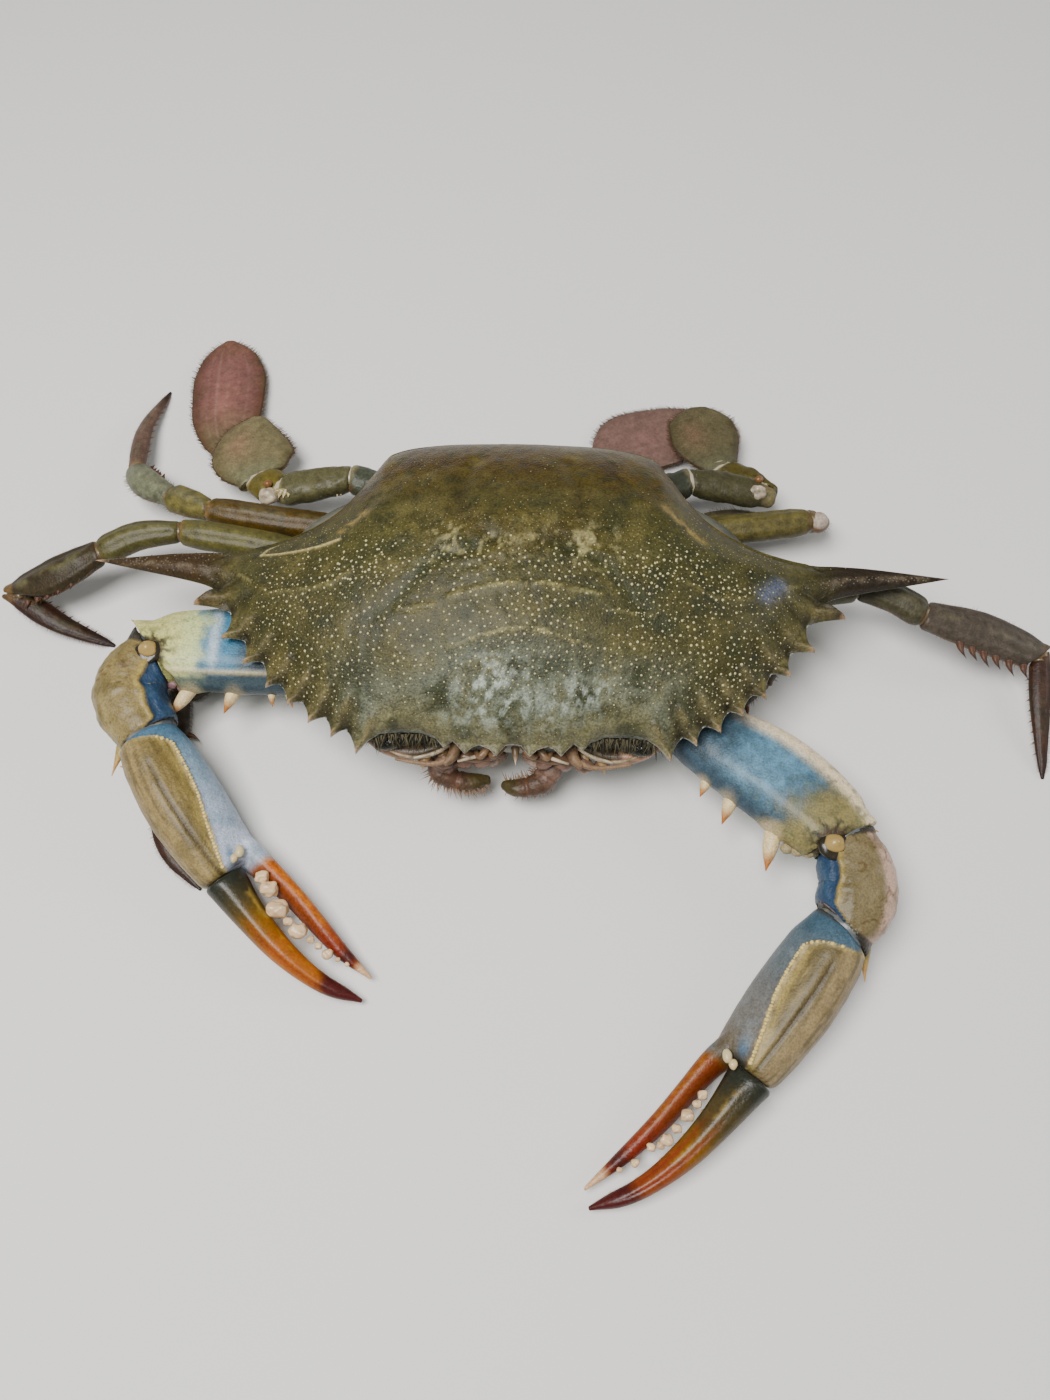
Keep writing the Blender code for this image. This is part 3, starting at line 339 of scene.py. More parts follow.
@dataclass
class Rod:
    """A tapered, curved, oval rod along a smooth path."""

    path: Sequence[Point]
    girth: Keys
    side: Point | None = None
    squareness: float = 2.2

    @property
    def length(self) -> float:
        """Length of the path's straight pieces."""
        return float(np.sum(np.linalg.norm(np.diff(np.asarray(self.path, float), axis=0), axis=1)))

    def centre(self, t: Array) -> Array:
        """Points of the middle line, straight on past both ends.

        Args:
            t: Shares of the way along.

        Returns:
            One point a row.
        """
        points = np.asarray(self.path, float)
        t = np.asarray(t, float)
        last = len(points) - 1
        padded = np.vstack([2 * points[0] - points[1], points, 2 * points[-1] - points[-2]])
        scaled = np.clip(t, 0, 1) * last
        index = np.minimum(scaled.astype(int), last - 1)
        u = (scaled - index)[:, None]
        a, b, c, d = (padded[index + k] for k in range(4))
        curve = 0.5 * (2 * b + (c - a) * u + (2 * a - 5 * b + 4 * c - d) * u**2
                       + (3 * b - a - 3 * c + d) * u**3)
        before = np.minimum(t, 0)[:, None] * last * (points[1] - points[0])
        after = np.maximum(t - 1, 0)[:, None] * last * (points[-1] - points[-2])
        return curve + before + after

    def axes(self, t: Array) -> tuple[Array, Array, Array]:
        """Directions along, across the broad side and through the thickness at each t.

        Args:
            t: Shares of the way along.

        Returns:
            The three directions, one unit vector a row in each.
        """
        along = unit(self.centre(np.asarray(t) + 0.01) - self.centre(np.asarray(t) - 0.01))
        broad = np.cross((0, 0, 1), along) if self.side is None else np.broadcast_to(self.side, along.shape)
        broad = unit(broad - along * np.sum(broad * along, axis=1, keepdims=True))
        return along, broad, np.cross(along, broad)

    def heading(self, t: float) -> Array:
        """The way along at one place."""
        return self.axes(np.array([t]))[0][0]

    def broadside(self, t: float) -> Array:
        """The way across the broad side at one place."""
        return self.axes(np.array([t]))[1][0]

    def half(self, column: int, t: float) -> float:
        """Half width, column 1, or half thickness, column 2, at one place."""
        return float(smooth_keys(self.girth, column, np.array([t]))[0])

    def spot(self, t: float, angle: float, lift: float = 0.0) -> tuple[Array, Array]:
        """A point on the skin, and the way out from the middle there.

        Args:
            t: Share of the way along.
            angle: Degrees round from the broad side.
            lift: How far above the skin.

        Returns:
            The point and the direction.
        """
        grid = self.rings(np.array([t]), np.array([angle]), np.ones(1))[0, 0]
        outward = unit(grid - self.centre(np.array([t]))[0])
        return grid + outward * lift, outward

    def rings(self, t: Array, angle: Array, scale: Array) -> Array:
        """Points of the oval rings, as rings by places round.

        Args:
            t: Shares of the way along.
            angle: Degrees round from the broad side.
            scale: Share of the girth of each ring.

        Returns:
            The points.
        """
        _, broad, thick = self.axes(t)
        c, s = np.cos(np.radians(angle)), np.sin(np.radians(angle))
        power = 2 / self.squareness
        x = np.sign(c) * np.abs(c) ** power
        y = np.sign(s) * np.abs(s) ** power
        half_broad = smooth_keys(self.girth, 1, t) * scale
        half_thick = smooth_keys(self.girth, 2, t) * scale
        return (self.centre(t)[:, None, :] + broad[:, None, :] * (half_broad[:, None] * x)[..., None]
                + thick[:, None, :] * (half_thick[:, None] * y)[..., None])

    def skin(self, pitch: float = 0.35, reach: tuple[float, float] = (0, 0), planes: Sequence[Plane] = (),
             shoulder: float = 0.9, cap: tuple[float, float] | None = None) -> Skin:
        """A closed surface round the rod.

        Args:
            pitch: Distance between neighbouring points.
            reach: Straight length added past each end, to be cut off by the planes.
            planes: Cuts, each a point and the direction that is kept.
            shoulder: How far from a cut the surface begins to round over.
            cap: How far each rounded end stands out; a third of the girth if not given.

        Returns:
            The surface, with t, angle and normals.
        """
        t0, t1 = -reach[0] / self.length, 1 + reach[1] / self.length
        cap = cap or (self.half(2, 0.0) * 0.6, self.half(2, 1.0) * 0.6)
        widest = max(row[1] + row[2] for row in self.girth)
        sides = int(np.clip(widest * math.pi / pitch, *SIDE_COUNTS))
        rings = int(np.clip((t1 - t0) * self.length / pitch, *RING_COUNTS))
        turn = np.radians(np.linspace(CAP_TURN, 0, CAP_RINGS))
        t = np.concatenate([t0 - cap[0] / self.length * np.sin(turn), np.linspace(t0, t1, rings)[1:-1],
                            t1 + cap[1] / self.length * np.sin(turn[::-1])])
        scale = np.concatenate([np.cos(turn), np.ones(rings - 2), np.cos(turn[::-1])])
        angle = np.arange(sides) * 360 / sides
        grid = self.rings(t, angle, scale)
        middle = self.centre(t)
        along, _, _ = self.axes(t)
        for plane in planes:
            grid = cut_off(grid, middle, along, plane, shoulder)
        rows, columns = grid.shape[:2]
        return Skin(grid.reshape(-1, 3), grid_faces(rows, columns), np.repeat(t, columns),
                    np.tile(angle, rows), grid_normals(grid, middle).reshape(-1, 3))

    def locate(self, points: Array) -> tuple[Array, Array]:
        """Where points lie on the rod: how far along, and degrees round from the broad side.

        Args:
            points: Points, one a row.

        Returns:
            The share of the way along and the angle of each point.
        """
        samples = np.linspace(-0.3, 1.3, 241)
        line = self.centre(samples)
        nearest = np.array([np.argmin(np.sum((line - p) ** 2, axis=1)) for p in points])
        t = samples[nearest]
        along, broad, thick = self.axes(t)
        t = t + np.sum((points - line[nearest]) * along, axis=1) / self.length
        offset = points - line[nearest]
        x = np.sum(offset * broad, axis=1) / smooth_keys(self.girth, 1, t)
        y = np.sum(offset * thick, axis=1) / smooth_keys(self.girth, 2, t)
        return t, np.degrees(np.arctan2(y, x)) % 360


def thorn(root: Sequence[float], tip: Sequence[float], radius: float, base: Colour, point: Colour,
          flat: float = 1.0, bend: Sequence[float] = (0, 0, 0), up: Point = (0, 0, 1),
          fat: float = 0.0) -> Skin:
    """A curved spine with a flared foot.

    Args:
        root: Middle of the foot, on or just under the surface it grows from.
        tip: The sharp end.
        radius: Half width at the foot.
        base: Colour at the foot.
        point: Colour at the tip.
        flat: Thickness as a share of the width.
        bend: How far the middle is pushed sideways.
        up: Roughly the direction of the thickness.
        fat: From 0, a slender thorn, to 1, a plump cone without a flare.

    Returns:
        The painted surface.
    """
    root, tip = np.asarray(root, float), np.asarray(tip, float)
    girth = [(t, (slim + (plump - slim) * fat) * radius, (slim + (plump - slim) * fat) * radius * flat)
             for t, slim, plump in THORN_PROFILE]
    side = np.cross(unit(tip - root), up)
    side = (1.0, 0.0, 0.0) if np.linalg.norm(side) < 0.1 else tuple(side)
    middle = (root + tip) / 2 + np.asarray(bend, float)
    rod = Rod([tuple(root), tuple(middle), tuple(tip)], girth, side, 2.0)
    skin = rod.skin(max(0.16, radius * 0.3), cap=(0.1, 0.1))
    return skin.fill(base).lay(point, step(skin.t, 0.45, 0.9))


def knob(centre: Sequence[float], radii: Sequence[float], colour: Colour, seed: int = 3, lumps: float = 0.05,
         pitch: float = 0.28, block: float = 1.0) -> Skin:
    """A slightly lumpy bead.

    Args:
        centre: Its middle.
        radii: Half sizes along x, y and z.
        colour: Its paint.
        seed: Seed of the lumps.
        lumps: Height of the lumps as a share of the size.
        pitch: Distance between neighbouring points.
        block: Below 1 the bead is squarer.

    Returns:
        The painted surface.
    """
    size = float(max(radii))
    rows = int(np.clip(size * math.pi / pitch, 7, 40))
    columns = int(np.clip(size * 2 * math.pi / pitch, 10, 80))
    polar = np.linspace(0.03, math.pi - 0.03, rows)
    turn = np.arange(columns) * 2 * math.pi / columns
    ball = np.stack([np.sin(polar)[:, None] * np.cos(turn), np.sin(polar)[:, None] * np.sin(turn),
                     np.repeat(np.cos(polar)[:, None], columns, axis=1)], axis=2).reshape(-1, 3)
    ball = np.sign(ball) * np.abs(ball) ** block
    ball *= (1 + lumps * Grain(0.6, seed).at(ball))[:, None]
    points = np.asarray(centre, float) + ball * np.asarray(radii, float)
    skin = Skin(points, grid_faces(rows, columns), np.repeat(polar, columns) / math.pi,
                np.degrees(np.tile(turn, rows)), unit(ball))
    return skin.fill(colour)


# Finishes

def tree_link(tree: bpy.types.NodeTree, source: bpy.types.NodeSocket, target: bpy.types.NodeSocket) -> None:
    """Joins two sockets."""
    tree.links.new(source, target)


def math_node(tree: bpy.types.NodeTree, operation: str, first: object,
              second: object) -> bpy.types.NodeSocket:
    """A Math node.

    Args:
        tree: The tree it goes in.
        operation: Blender's name of the sum.
        first: A socket or a number.
        second: A socket or a number.

    Returns:
        Its output.
    """
    node = tree.nodes.new("ShaderNodeMath")
    node.operation = operation
    for slot, value in zip(node.inputs, (first, second)):
        if isinstance(value, bpy.types.NodeSocket):
            tree_link(tree, value, slot)
        else:
            slot.default_value = float(value)
    return node.outputs[0]


def named_sockets(tree: bpy.types.NodeTree, sockets: Sequence[tuple[str, str, str]]) -> None:
    """Gives a tree its inputs and outputs, each as IN or OUT, a name and a socket type."""
    for way, name, kind in sockets:
        tree.interface.new_socket(name=name, in_out=way + "PUT", socket_type=kind)


def add_noise(tree: bpy.types.NodeTree, detail: float, roughness: float = 0.5) -> bpy.types.Node:
    """A Noise Texture node.

    Args:
        tree: The tree it goes in.
        detail: How many finer noises it adds.
        roughness: How strong the finer noises are.

    Returns:
        The node.
    """
    node = tree.nodes.new("ShaderNodeTexNoise")
    node.inputs["Detail"].default_value = detail
    node.inputs["Roughness"].default_value = roughness
    return node


def build_grain_group(name: str, roughness_swing: float = 0.35, gloss_gain: float = 0.3,
                      least_roughness: float = 0.05, pit_share: float = 0.5) -> bpy.types.NodeTree:
    """Shell grain: mottles a paint, and gives roughness and height from the same noises.

    Args:
        name: Name of the group.
        roughness_swing: How far the pits change the roughness.
        gloss_gain: How much the attribute gloss takes off the roughness.
        least_roughness: The smoothest it gets.
        pit_share: Share of the cells in the height.

    Returns:
        The node group.
    """
    tree = bpy.data.node_groups.new(name, "ShaderNodeTree")
    colour, number = "NodeSocketColor", "NodeSocketFloat"
    named_sockets(tree, [("IN", "Paint", colour), ("IN", "Gloss", number), ("IN", "Roughness", number),
                         ("IN", "Mottle", number), ("IN", "Mottle Scale", number),
                         ("IN", "Pit Scale", number), ("IN", "Speck", number), ("OUT", "Colour", colour),
                         ("OUT", "Roughness", number), ("OUT", "Height", number)])
    start = tree.nodes.new("NodeGroupInput")
    end = tree.nodes.new("NodeGroupOutput")
    place = tree.nodes.new("ShaderNodeTexCoord").outputs["Object"]
    patches = add_noise(tree, 5.0, 0.65)
    pits = add_noise(tree, 3.0)
    cells = tree.nodes.new("ShaderNodeTexVoronoi")
    for node, scale in ((patches, "Mottle Scale"), (pits, "Pit Scale"), (cells, "Pit Scale")):
        tree_link(tree, place, node.inputs["Vector"])
        tree_link(tree, start.outputs[scale], node.inputs["Scale"])
    patch_swing = math_node(tree, "SUBTRACT", patches.outputs[0], 0.5)
    pit_swing = math_node(tree, "SUBTRACT", pits.outputs[0], 0.5)
    swing = math_node(tree, "MULTIPLY", patch_swing, start.outputs["Mottle"])
    fine = math_node(tree, "MULTIPLY", pit_swing, start.outputs["Speck"])
    factor = math_node(tree, "ADD", math_node(tree, "ADD", swing, fine), 1.0)
    scale = tree.nodes.new("ShaderNodeVectorMath")
    scale.operation = "SCALE"
    tree_link(tree, start.outputs["Paint"], scale.inputs[0])
    tree_link(tree, factor, scale.inputs["Scale"])
    tree_link(tree, scale.outputs[0], end.inputs["Colour"])
    rough = math_node(tree, "ADD", start.outputs["Roughness"],
                      math_node(tree, "MULTIPLY", pit_swing, roughness_swing))
    shine = math_node(tree, "MULTIPLY", start.outputs["Gloss"], gloss_gain)
    rough = math_node(tree, "SUBTRACT", rough, shine)
    tree_link(tree, math_node(tree, "MAXIMUM", rough, least_roughness), end.inputs["Roughness"])
    bumps = math_node(tree, "SUBTRACT", 1.0, cells.outputs["Distance"])
    height = math_node(tree, "ADD", math_node(tree, "MULTIPLY", bumps, pit_share), pits.outputs[0])
    tree_link(tree, height, end.inputs["Height"])
    return tree


@dataclass(frozen=True)
class ShellFinish:
    """Painted shell under a thin wet film: the paint comes from the piece's own attribute."""

    label: str
    roughness: float = 0.42
    film: float = 0.35
    mottle: float = 0.5
    mottle_size: float = 3.0
    speck: float = 0.5
    pit_size: float = 0.45
    pit_depth: float = 0.05
    bump_strength: float = 0.9
    film_roughness: float = 0.2
    specular: float = 0.26
    group: str = "Shell grain"

    def material(self) -> bpy.types.Material:
        """The finish as a material, made once.

        Returns:
            The material.
        """
        known = bpy.data.materials.get(self.label)
        if known:
            return known
        grain = bpy.data.node_groups.get(self.group) or build_grain_group(self.group)
        material = bpy.data.materials.new(self.label)
        material.use_nodes = True
        tree = material.node_tree
        shader = tree.nodes["Principled BSDF"]
        group = tree.nodes.new("ShaderNodeGroup")
        group.node_tree = grain
        for name, value in (("Roughness", self.roughness), ("Mottle", self.mottle), ("Speck", self.speck),
                            ("Mottle Scale", 1 / (self.mottle_size * MM)),
                            ("Pit Scale", 1 / (self.pit_size * MM))):
            group.inputs[name].default_value = value
        for attribute, socket in (("paint", "Paint"), ("gloss", "Gloss")):
            reader = tree.nodes.new("ShaderNodeAttribute")
            reader.attribute_name = attribute
            tree_link(tree, reader.outputs["Color" if socket == "Paint" else "Fac"], group.inputs[socket])
        bump = tree.nodes.new("ShaderNodeBump")
        bump.inputs["Strength"].default_value = self.bump_strength
        bump.inputs["Distance"].default_value = self.pit_depth * MM
        tree_link(tree, group.outputs["Height"], bump.inputs["Height"])
        tree_link(tree, group.outputs["Colour"], shader.inputs["Base Color"])
        tree_link(tree, group.outputs["Roughness"], shader.inputs["Roughness"])
        tree_link(tree, bump.outputs["Normal"], shader.inputs["Normal"])
        shader.inputs["Coat Weight"].default_value = self.film
        shader.inputs["Coat Roughness"].default_value = self.film_roughness
        shader.inputs["Specular IOR Level"].default_value = self.specular
        return material


SHELL = ShellFinish("carapace shell", 0.52, 0.05, 1.25, 2.4, 2.2, 0.42, 0.15)
SMOOTH_SHELL = ShellFinish("limb shell", 0.5, 0.06, 1.0, 2.2, 1.2, 0.4, 0.085)
CLAW_SHELL = ShellFinish("claw shell", 0.48, 0.12, 0.65, 1.8, 1.2, 0.38, 0.105)
FINGER_HORN = ShellFinish("finger horn", 0.46, 0.16, 0.9, 2.0, 0.8, 0.45, 0.07)
TOOTH = ShellFinish("tooth ivory", 0.3, 0.4, 0.18, 1.2, 0.18, 0.4, 0.02)
THIN_SHELL = ShellFinish("paddle shell", 0.4, 0.2, 0.8, 2.6, 0.7, 0.5, 0.06)
SOFT = ShellFinish("joint membrane", 0.4, 0.45, 0.4, 1.2, 0.4, 0.3, 0.05)
BELLY = ShellFinish("belly shell", 0.42, 0.25, 0.16, 5.0, 0.22, 0.5, 0.035)
WET_EYE = ShellFinish("eye black", 0.28, 0.2, 0.6, 1.0, 0.4, 0.25, 0.03)
BRISTLE = ShellFinish("bristle brown", 0.55, 0.0, 0.5, 1.0, 0.3, 0.3, 0.01)
BEAD = ShellFinish("granule cream", 0.5, 0.15, 0.3, 1.5, 0.2, 0.3, 0.01)


class Slot(Enum):
    """Material slots of the record."""

    SHELL = "shell_olive"
    BELLY = "belly_white"
    ARM = "claw_arm"
    HAND = "claw_hand"
    FINGER = "finger_orange"
    LEG = "leg_slate"
    PADDLE = "paddle_mauve"
    MOUTH = "mouth_tan"
    EYE = "eye_black"
    TOOTH = "tooth_ivory"
    MEMBRANE = "joint_membrane"
    BRISTLE = "bristle_brown"


def placed(name: str, data: bpy.types.ID) -> bpy.types.Object:
    """A new object in the scene, at the origin."""
    obj = bpy.data.objects.new(name, data)
    bpy.context.scene.collection.objects.link(obj)
    return obj


def carry(mesh: bpy.types.Mesh, name: str, kind: str, values: Array) -> None:
    """Gives each point of a mesh a value.

    Args:
        mesh: The mesh.
        name: Name of the attribute.
        kind: Its type, FLOAT, FLOAT_VECTOR or FLOAT_COLOR.
        values: One number, direction or colour a point.
    """
    holder = mesh.color_attributes if kind == "FLOAT_COLOR" else mesh.attributes
    label = {"FLOAT": "value", "FLOAT_VECTOR": "vector", "FLOAT_COLOR": "color"}[kind]
    holder.new(name, kind, "POINT").data.foreach_set(label, values.astype(np.float32).ravel())


def vertex_values(mesh: bpy.types.Mesh, name: str) -> Array:
    """One vector a vertex, such as its place or its normal."""
    values = np.zeros(len(mesh.vertices) * 3)
    mesh.vertices.foreach_get(name, values)
    return values.reshape(-1, 3)


def settle(obj: bpy.types.Object, nodes: Sequence[str] = ()) -> bpy.types.Object:
    """Puts a finished piece on the body and the nodes it stands for, and reports it.

    Args:
        obj: The piece.
        nodes: CAD nodes that it stands for.

    Returns:
        The piece.
    """
    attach(obj, BODY)
    if nodes:
        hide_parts(*nodes)
    LOG.info("%s: %d faces", obj.name, len(obj.data.polygons))
    return obj


class Piece:
    """Closed painted surfaces gathered into one object."""

    def __init__(self, name: str) -> None:
        """An empty piece of that name."""
        self.name = name
        self.skins: list[Skin] = []

    def add(self, *skins: Skin) -> "Piece":
        """Takes in surfaces."""
        self.skins.extend(skins)
        return self

    def mesh(self) -> bpy.types.Mesh:
        """The surfaces as one mesh with their paint, kept above the floor.

        Returns:
            The mesh, in metres.
        """
        points = np.vstack([skin.points for skin in self.skins])
        points[:, 2] = np.maximum(points[:, 2], 0.0)
        faces: list[Sequence[int]] = []
        base = 0
        for skin in self.skins:
            faces.extend([[i + base for i in face] for face in skin.faces] if base else skin.faces)
            base += len(skin.points)
        mesh = bpy.data.meshes.new(self.name)
        mesh.from_pydata((points * MM).tolist(), [], faces)
        colours = np.hstack([enriched(np.vstack([skin.colour for skin in self.skins])), np.ones((base, 1))])
        carry(mesh, "paint", "FLOAT_COLOR", colours)
        carry(mesh, "gloss", "FLOAT", np.concatenate([skin.gloss for skin in self.skins]))
        mesh.shade_smooth()
        mesh.validate()
        return mesh

    def make(self, finish: ShellFinish, slot: Slot, nodes: Sequence[str] = ()) -> bpy.types.Object:
        """The finished object.

        Args:
            finish: Its finish.
            slot: Not used.
            nodes: CAD nodes that it stands for.

        Returns:
            The object, on its body.
        """
        obj = placed(self.name, self.mesh())
        obj.data.materials.append(finish.material())
        return settle(obj, nodes)


# What repeats, by Geometry Nodes

class Repeat(Enum):
    """Forms that a scattering tree can repeat."""

    BEADS = "Shell granules"
    BRISTLES = "Bristles"


@dataclass
class Scatter:
    """Repeats one small form over a guide: beads over faces, or bristles on points."""

    form: Repeat
    size: float = 0.3
    spread: float = 0.35
    spacing: float = 1.4
    seed: int = 5
    density: float = 4.0e6
    flatness: float = 0.75
    cone_sides: int = 5
    cone_tip: float = 0.12
    stray: float = 0.3

    def tree(self) -> bpy.types.NodeTree:
        """The tree of this form, made once.

        Returns:
            The Geometry Nodes tree.
        """
        known = bpy.data.node_groups.get(self.form.value)
        if known:
            return known
        tree = bpy.data.node_groups.new(self.form.value, "GeometryNodeTree")
        number = "NodeSocketFloat"
        named_sockets(tree, [("IN", "Geometry", "NodeSocketGeometry"), ("IN", "Size", number),
                             ("IN", "Spread", number), ("IN", "Spacing", number),
                             ("IN", "Seed", "NodeSocketInt"), ("IN", "Material", "NodeSocketMaterial"),
                             ("OUT", "Geometry", "NodeSocketGeometry")])
        start = tree.nodes.new("NodeGroupInput")
        end = tree.nodes.new("NodeGroupOutput")
        place = tree.nodes.new("GeometryNodeInstanceOnPoints")
        vary = tree.nodes.new("FunctionNodeRandomValue")
        vary.data_type = "FLOAT"
        tree_link(tree, math_node(tree, "SUBTRACT", 1.0, start.outputs["Spread"]), vary.inputs[2])
        tree_link(tree, math_node(tree, "ADD", 1.0, start.outputs["Spread"]), vary.inputs[3])
        tree_link(tree, start.outputs["Seed"], vary.inputs["Seed"])
        (self.beads if self.form is Repeat.BEADS else self.bristles)(tree, start, place, vary.outputs[1])
        real = tree.nodes.new("GeometryNodeRealizeInstances")
        smooth = tree.nodes.new("GeometryNodeSetShadeSmooth")
        dress = tree.nodes.new("GeometryNodeSetMaterial")
        tree_link(tree, place.outputs[0], real.inputs[0])
        tree_link(tree, real.outputs[0], smooth.inputs[0])
        tree_link(tree, smooth.outputs[0], dress.inputs[0])
        tree_link(tree, start.outputs["Material"], dress.inputs["Material"])
        tree_link(tree, dress.outputs[0], end.inputs[0])
        return tree

    @staticmethod
    def attribute(tree: bpy.types.NodeTree, name: str, kind: str = "FLOAT") -> bpy.types.NodeSocket:
        """Output of a node that reads a named attribute.

        Args:
            tree: The tree it goes in.
            name: Name of the attribute.
            kind: Its type.

        Returns:
            The output.
        """
        node = tree.nodes.new("GeometryNodeInputNamedAttribute")
        node.data_type = kind
        node.inputs["Name"].default_value = name
        return node.outputs[0]

    def beads(self, tree: bpy.types.NodeTree, start: bpy.types.Node, place: bpy.types.Node,
              vary: bpy.types.NodeSocket) -> None:
        """Flattened beads spread over faces where the attribute granules is above 0.

        Args:
            tree: The tree it goes in.
            start: The tree's inputs.
            place: The node that sets the form on points.
            vary: A random share of the size.
        """
        points = tree.nodes.new("GeometryNodeDistributePointsOnFaces")
        points.distribute_method = "POISSON"
        tree_link(tree, start.outputs["Geometry"], points.inputs["Mesh"])
        tree_link(tree, start.outputs["Spacing"], points.inputs["Distance Min"])
        points.inputs["Density Max"].default_value = self.density
        tree_link(tree, self.attribute(tree, "granules"), points.inputs["Density Factor"])
        tree_link(tree, start.outputs["Seed"], points.inputs["Seed"])
        ball = tree.nodes.new("GeometryNodeMeshIcoSphere")
        ball.inputs["Radius"].default_value = 1.0
        ball.inputs["Subdivisions"].default_value = 1
        size = math_node(tree, "MULTIPLY", math_node(tree, "MULTIPLY", vary, start.outputs["Size"]),
                         self.attribute(tree, "bead_size"))
        lump = tree.nodes.new("ShaderNodeCombineXYZ")
        for axis in range(2):
            tree_link(tree, size, lump.inputs[axis])
        tree_link(tree, math_node(tree, "MULTIPLY", size, self.flatness), lump.inputs[2])
        tree_link(tree, points.outputs["Points"], place.inputs["Points"])
        tree_link(tree, points.outputs["Rotation"], place.inputs["Rotation"])
        tree_link(tree, ball.outputs[0], place.inputs["Instance"])
        tree_link(tree, lump.outputs[0], place.inputs["Scale"])

    def bristles(self, tree: bpy.types.NodeTree, start: bpy.types.Node, place: bpy.types.Node,
                 vary: bpy.types.NodeSocket) -> None:
        """Thin cones on points, along the attribute aim and as long as the attribute reach.

        Args:
            tree: The tree it goes in.
            start: The tree's inputs.
            place: The node that sets the form on points.
            vary: A random share of the size.
        """
        tree_link(tree, start.outputs["Geometry"], place.inputs["Points"])
        cone = tree.nodes.new("GeometryNodeMeshCone")
        for name, value in (("Vertices", self.cone_sides), ("Radius Top", self.cone_tip),
                            ("Radius Bottom", 1.0), ("Depth", 1.0)):
            cone.inputs[name].default_value = value
        jitter = tree.nodes.new("FunctionNodeRandomValue")
        jitter.data_type = "FLOAT_VECTOR"
        jitter.inputs[0].default_value = [-self.stray] * 3
        jitter.inputs[1].default_value = [self.stray] * 3
        tree_link(tree, start.outputs["Seed"], jitter.inputs["Seed"])
        aim = tree.nodes.new("ShaderNodeVectorMath")
        tree_link(tree, self.attribute(tree, "aim", "FLOAT_VECTOR"), aim.inputs[0])
        tree_link(tree, jitter.outputs[0], aim.inputs[1])
        turn = tree.nodes.new("FunctionNodeAlignRotationToVector")
        turn.axis = "Z"
        tree_link(tree, aim.outputs[0], turn.inputs["Vector"])
        tree_link(tree, turn.outputs[0], place.inputs["Rotation"])
        tree_link(tree, cone.outputs["Mesh"], place.inputs["Instance"])
        scale = tree.nodes.new("ShaderNodeCombineXYZ")
        for axis in range(2):
            tree_link(tree, start.outputs["Size"], scale.inputs[axis])
        tree_link(tree, math_node(tree, "MULTIPLY", vary, self.attribute(tree, "reach")), scale.inputs[2])
        tree_link(tree, scale.outputs[0], place.inputs["Scale"])

    def grow(self, name: str, guide: bpy.types.Mesh, finish: ShellFinish, slot: Slot) -> bpy.types.Object:
        """Repeats the form over a guide mesh.

        Args:
            name: Name of the piece.
            guide: Mesh that carries the attributes that the form reads.
            finish: Its finish.
            slot: Not used.

        Returns:
            The finished object.
        """
        carrier = placed(name + "_guide", guide)
        tree = self.tree()
        modifier = carrier.modifiers.new("repeat", "NODES")
        modifier.node_group = tree
        values = {"Size": self.size * MM, "Spread": self.spread, "Spacing": self.spacing * MM,
                  "Seed": self.seed, "Material": finish.material()}
        for item in tree.interface.items_tree:
            if item.in_out == "INPUT" and item.name in values:
                modifier[item.identifier] = values[item.name]
        bpy.context.view_layer.update()
        graph = bpy.context.evaluated_depsgraph_get()
        mesh = bpy.data.meshes.new_from_object(carrier.evaluated_get(graph))
        carrier.modifiers.clear()
        bpy.data.objects.remove(carrier)
        points = vertex_values(mesh, "co")
        points[:, 2] = np.maximum(points[:, 2], 0.0)
        mesh.vertices.foreach_set("co", points.ravel())
        return settle(placed(name, mesh))


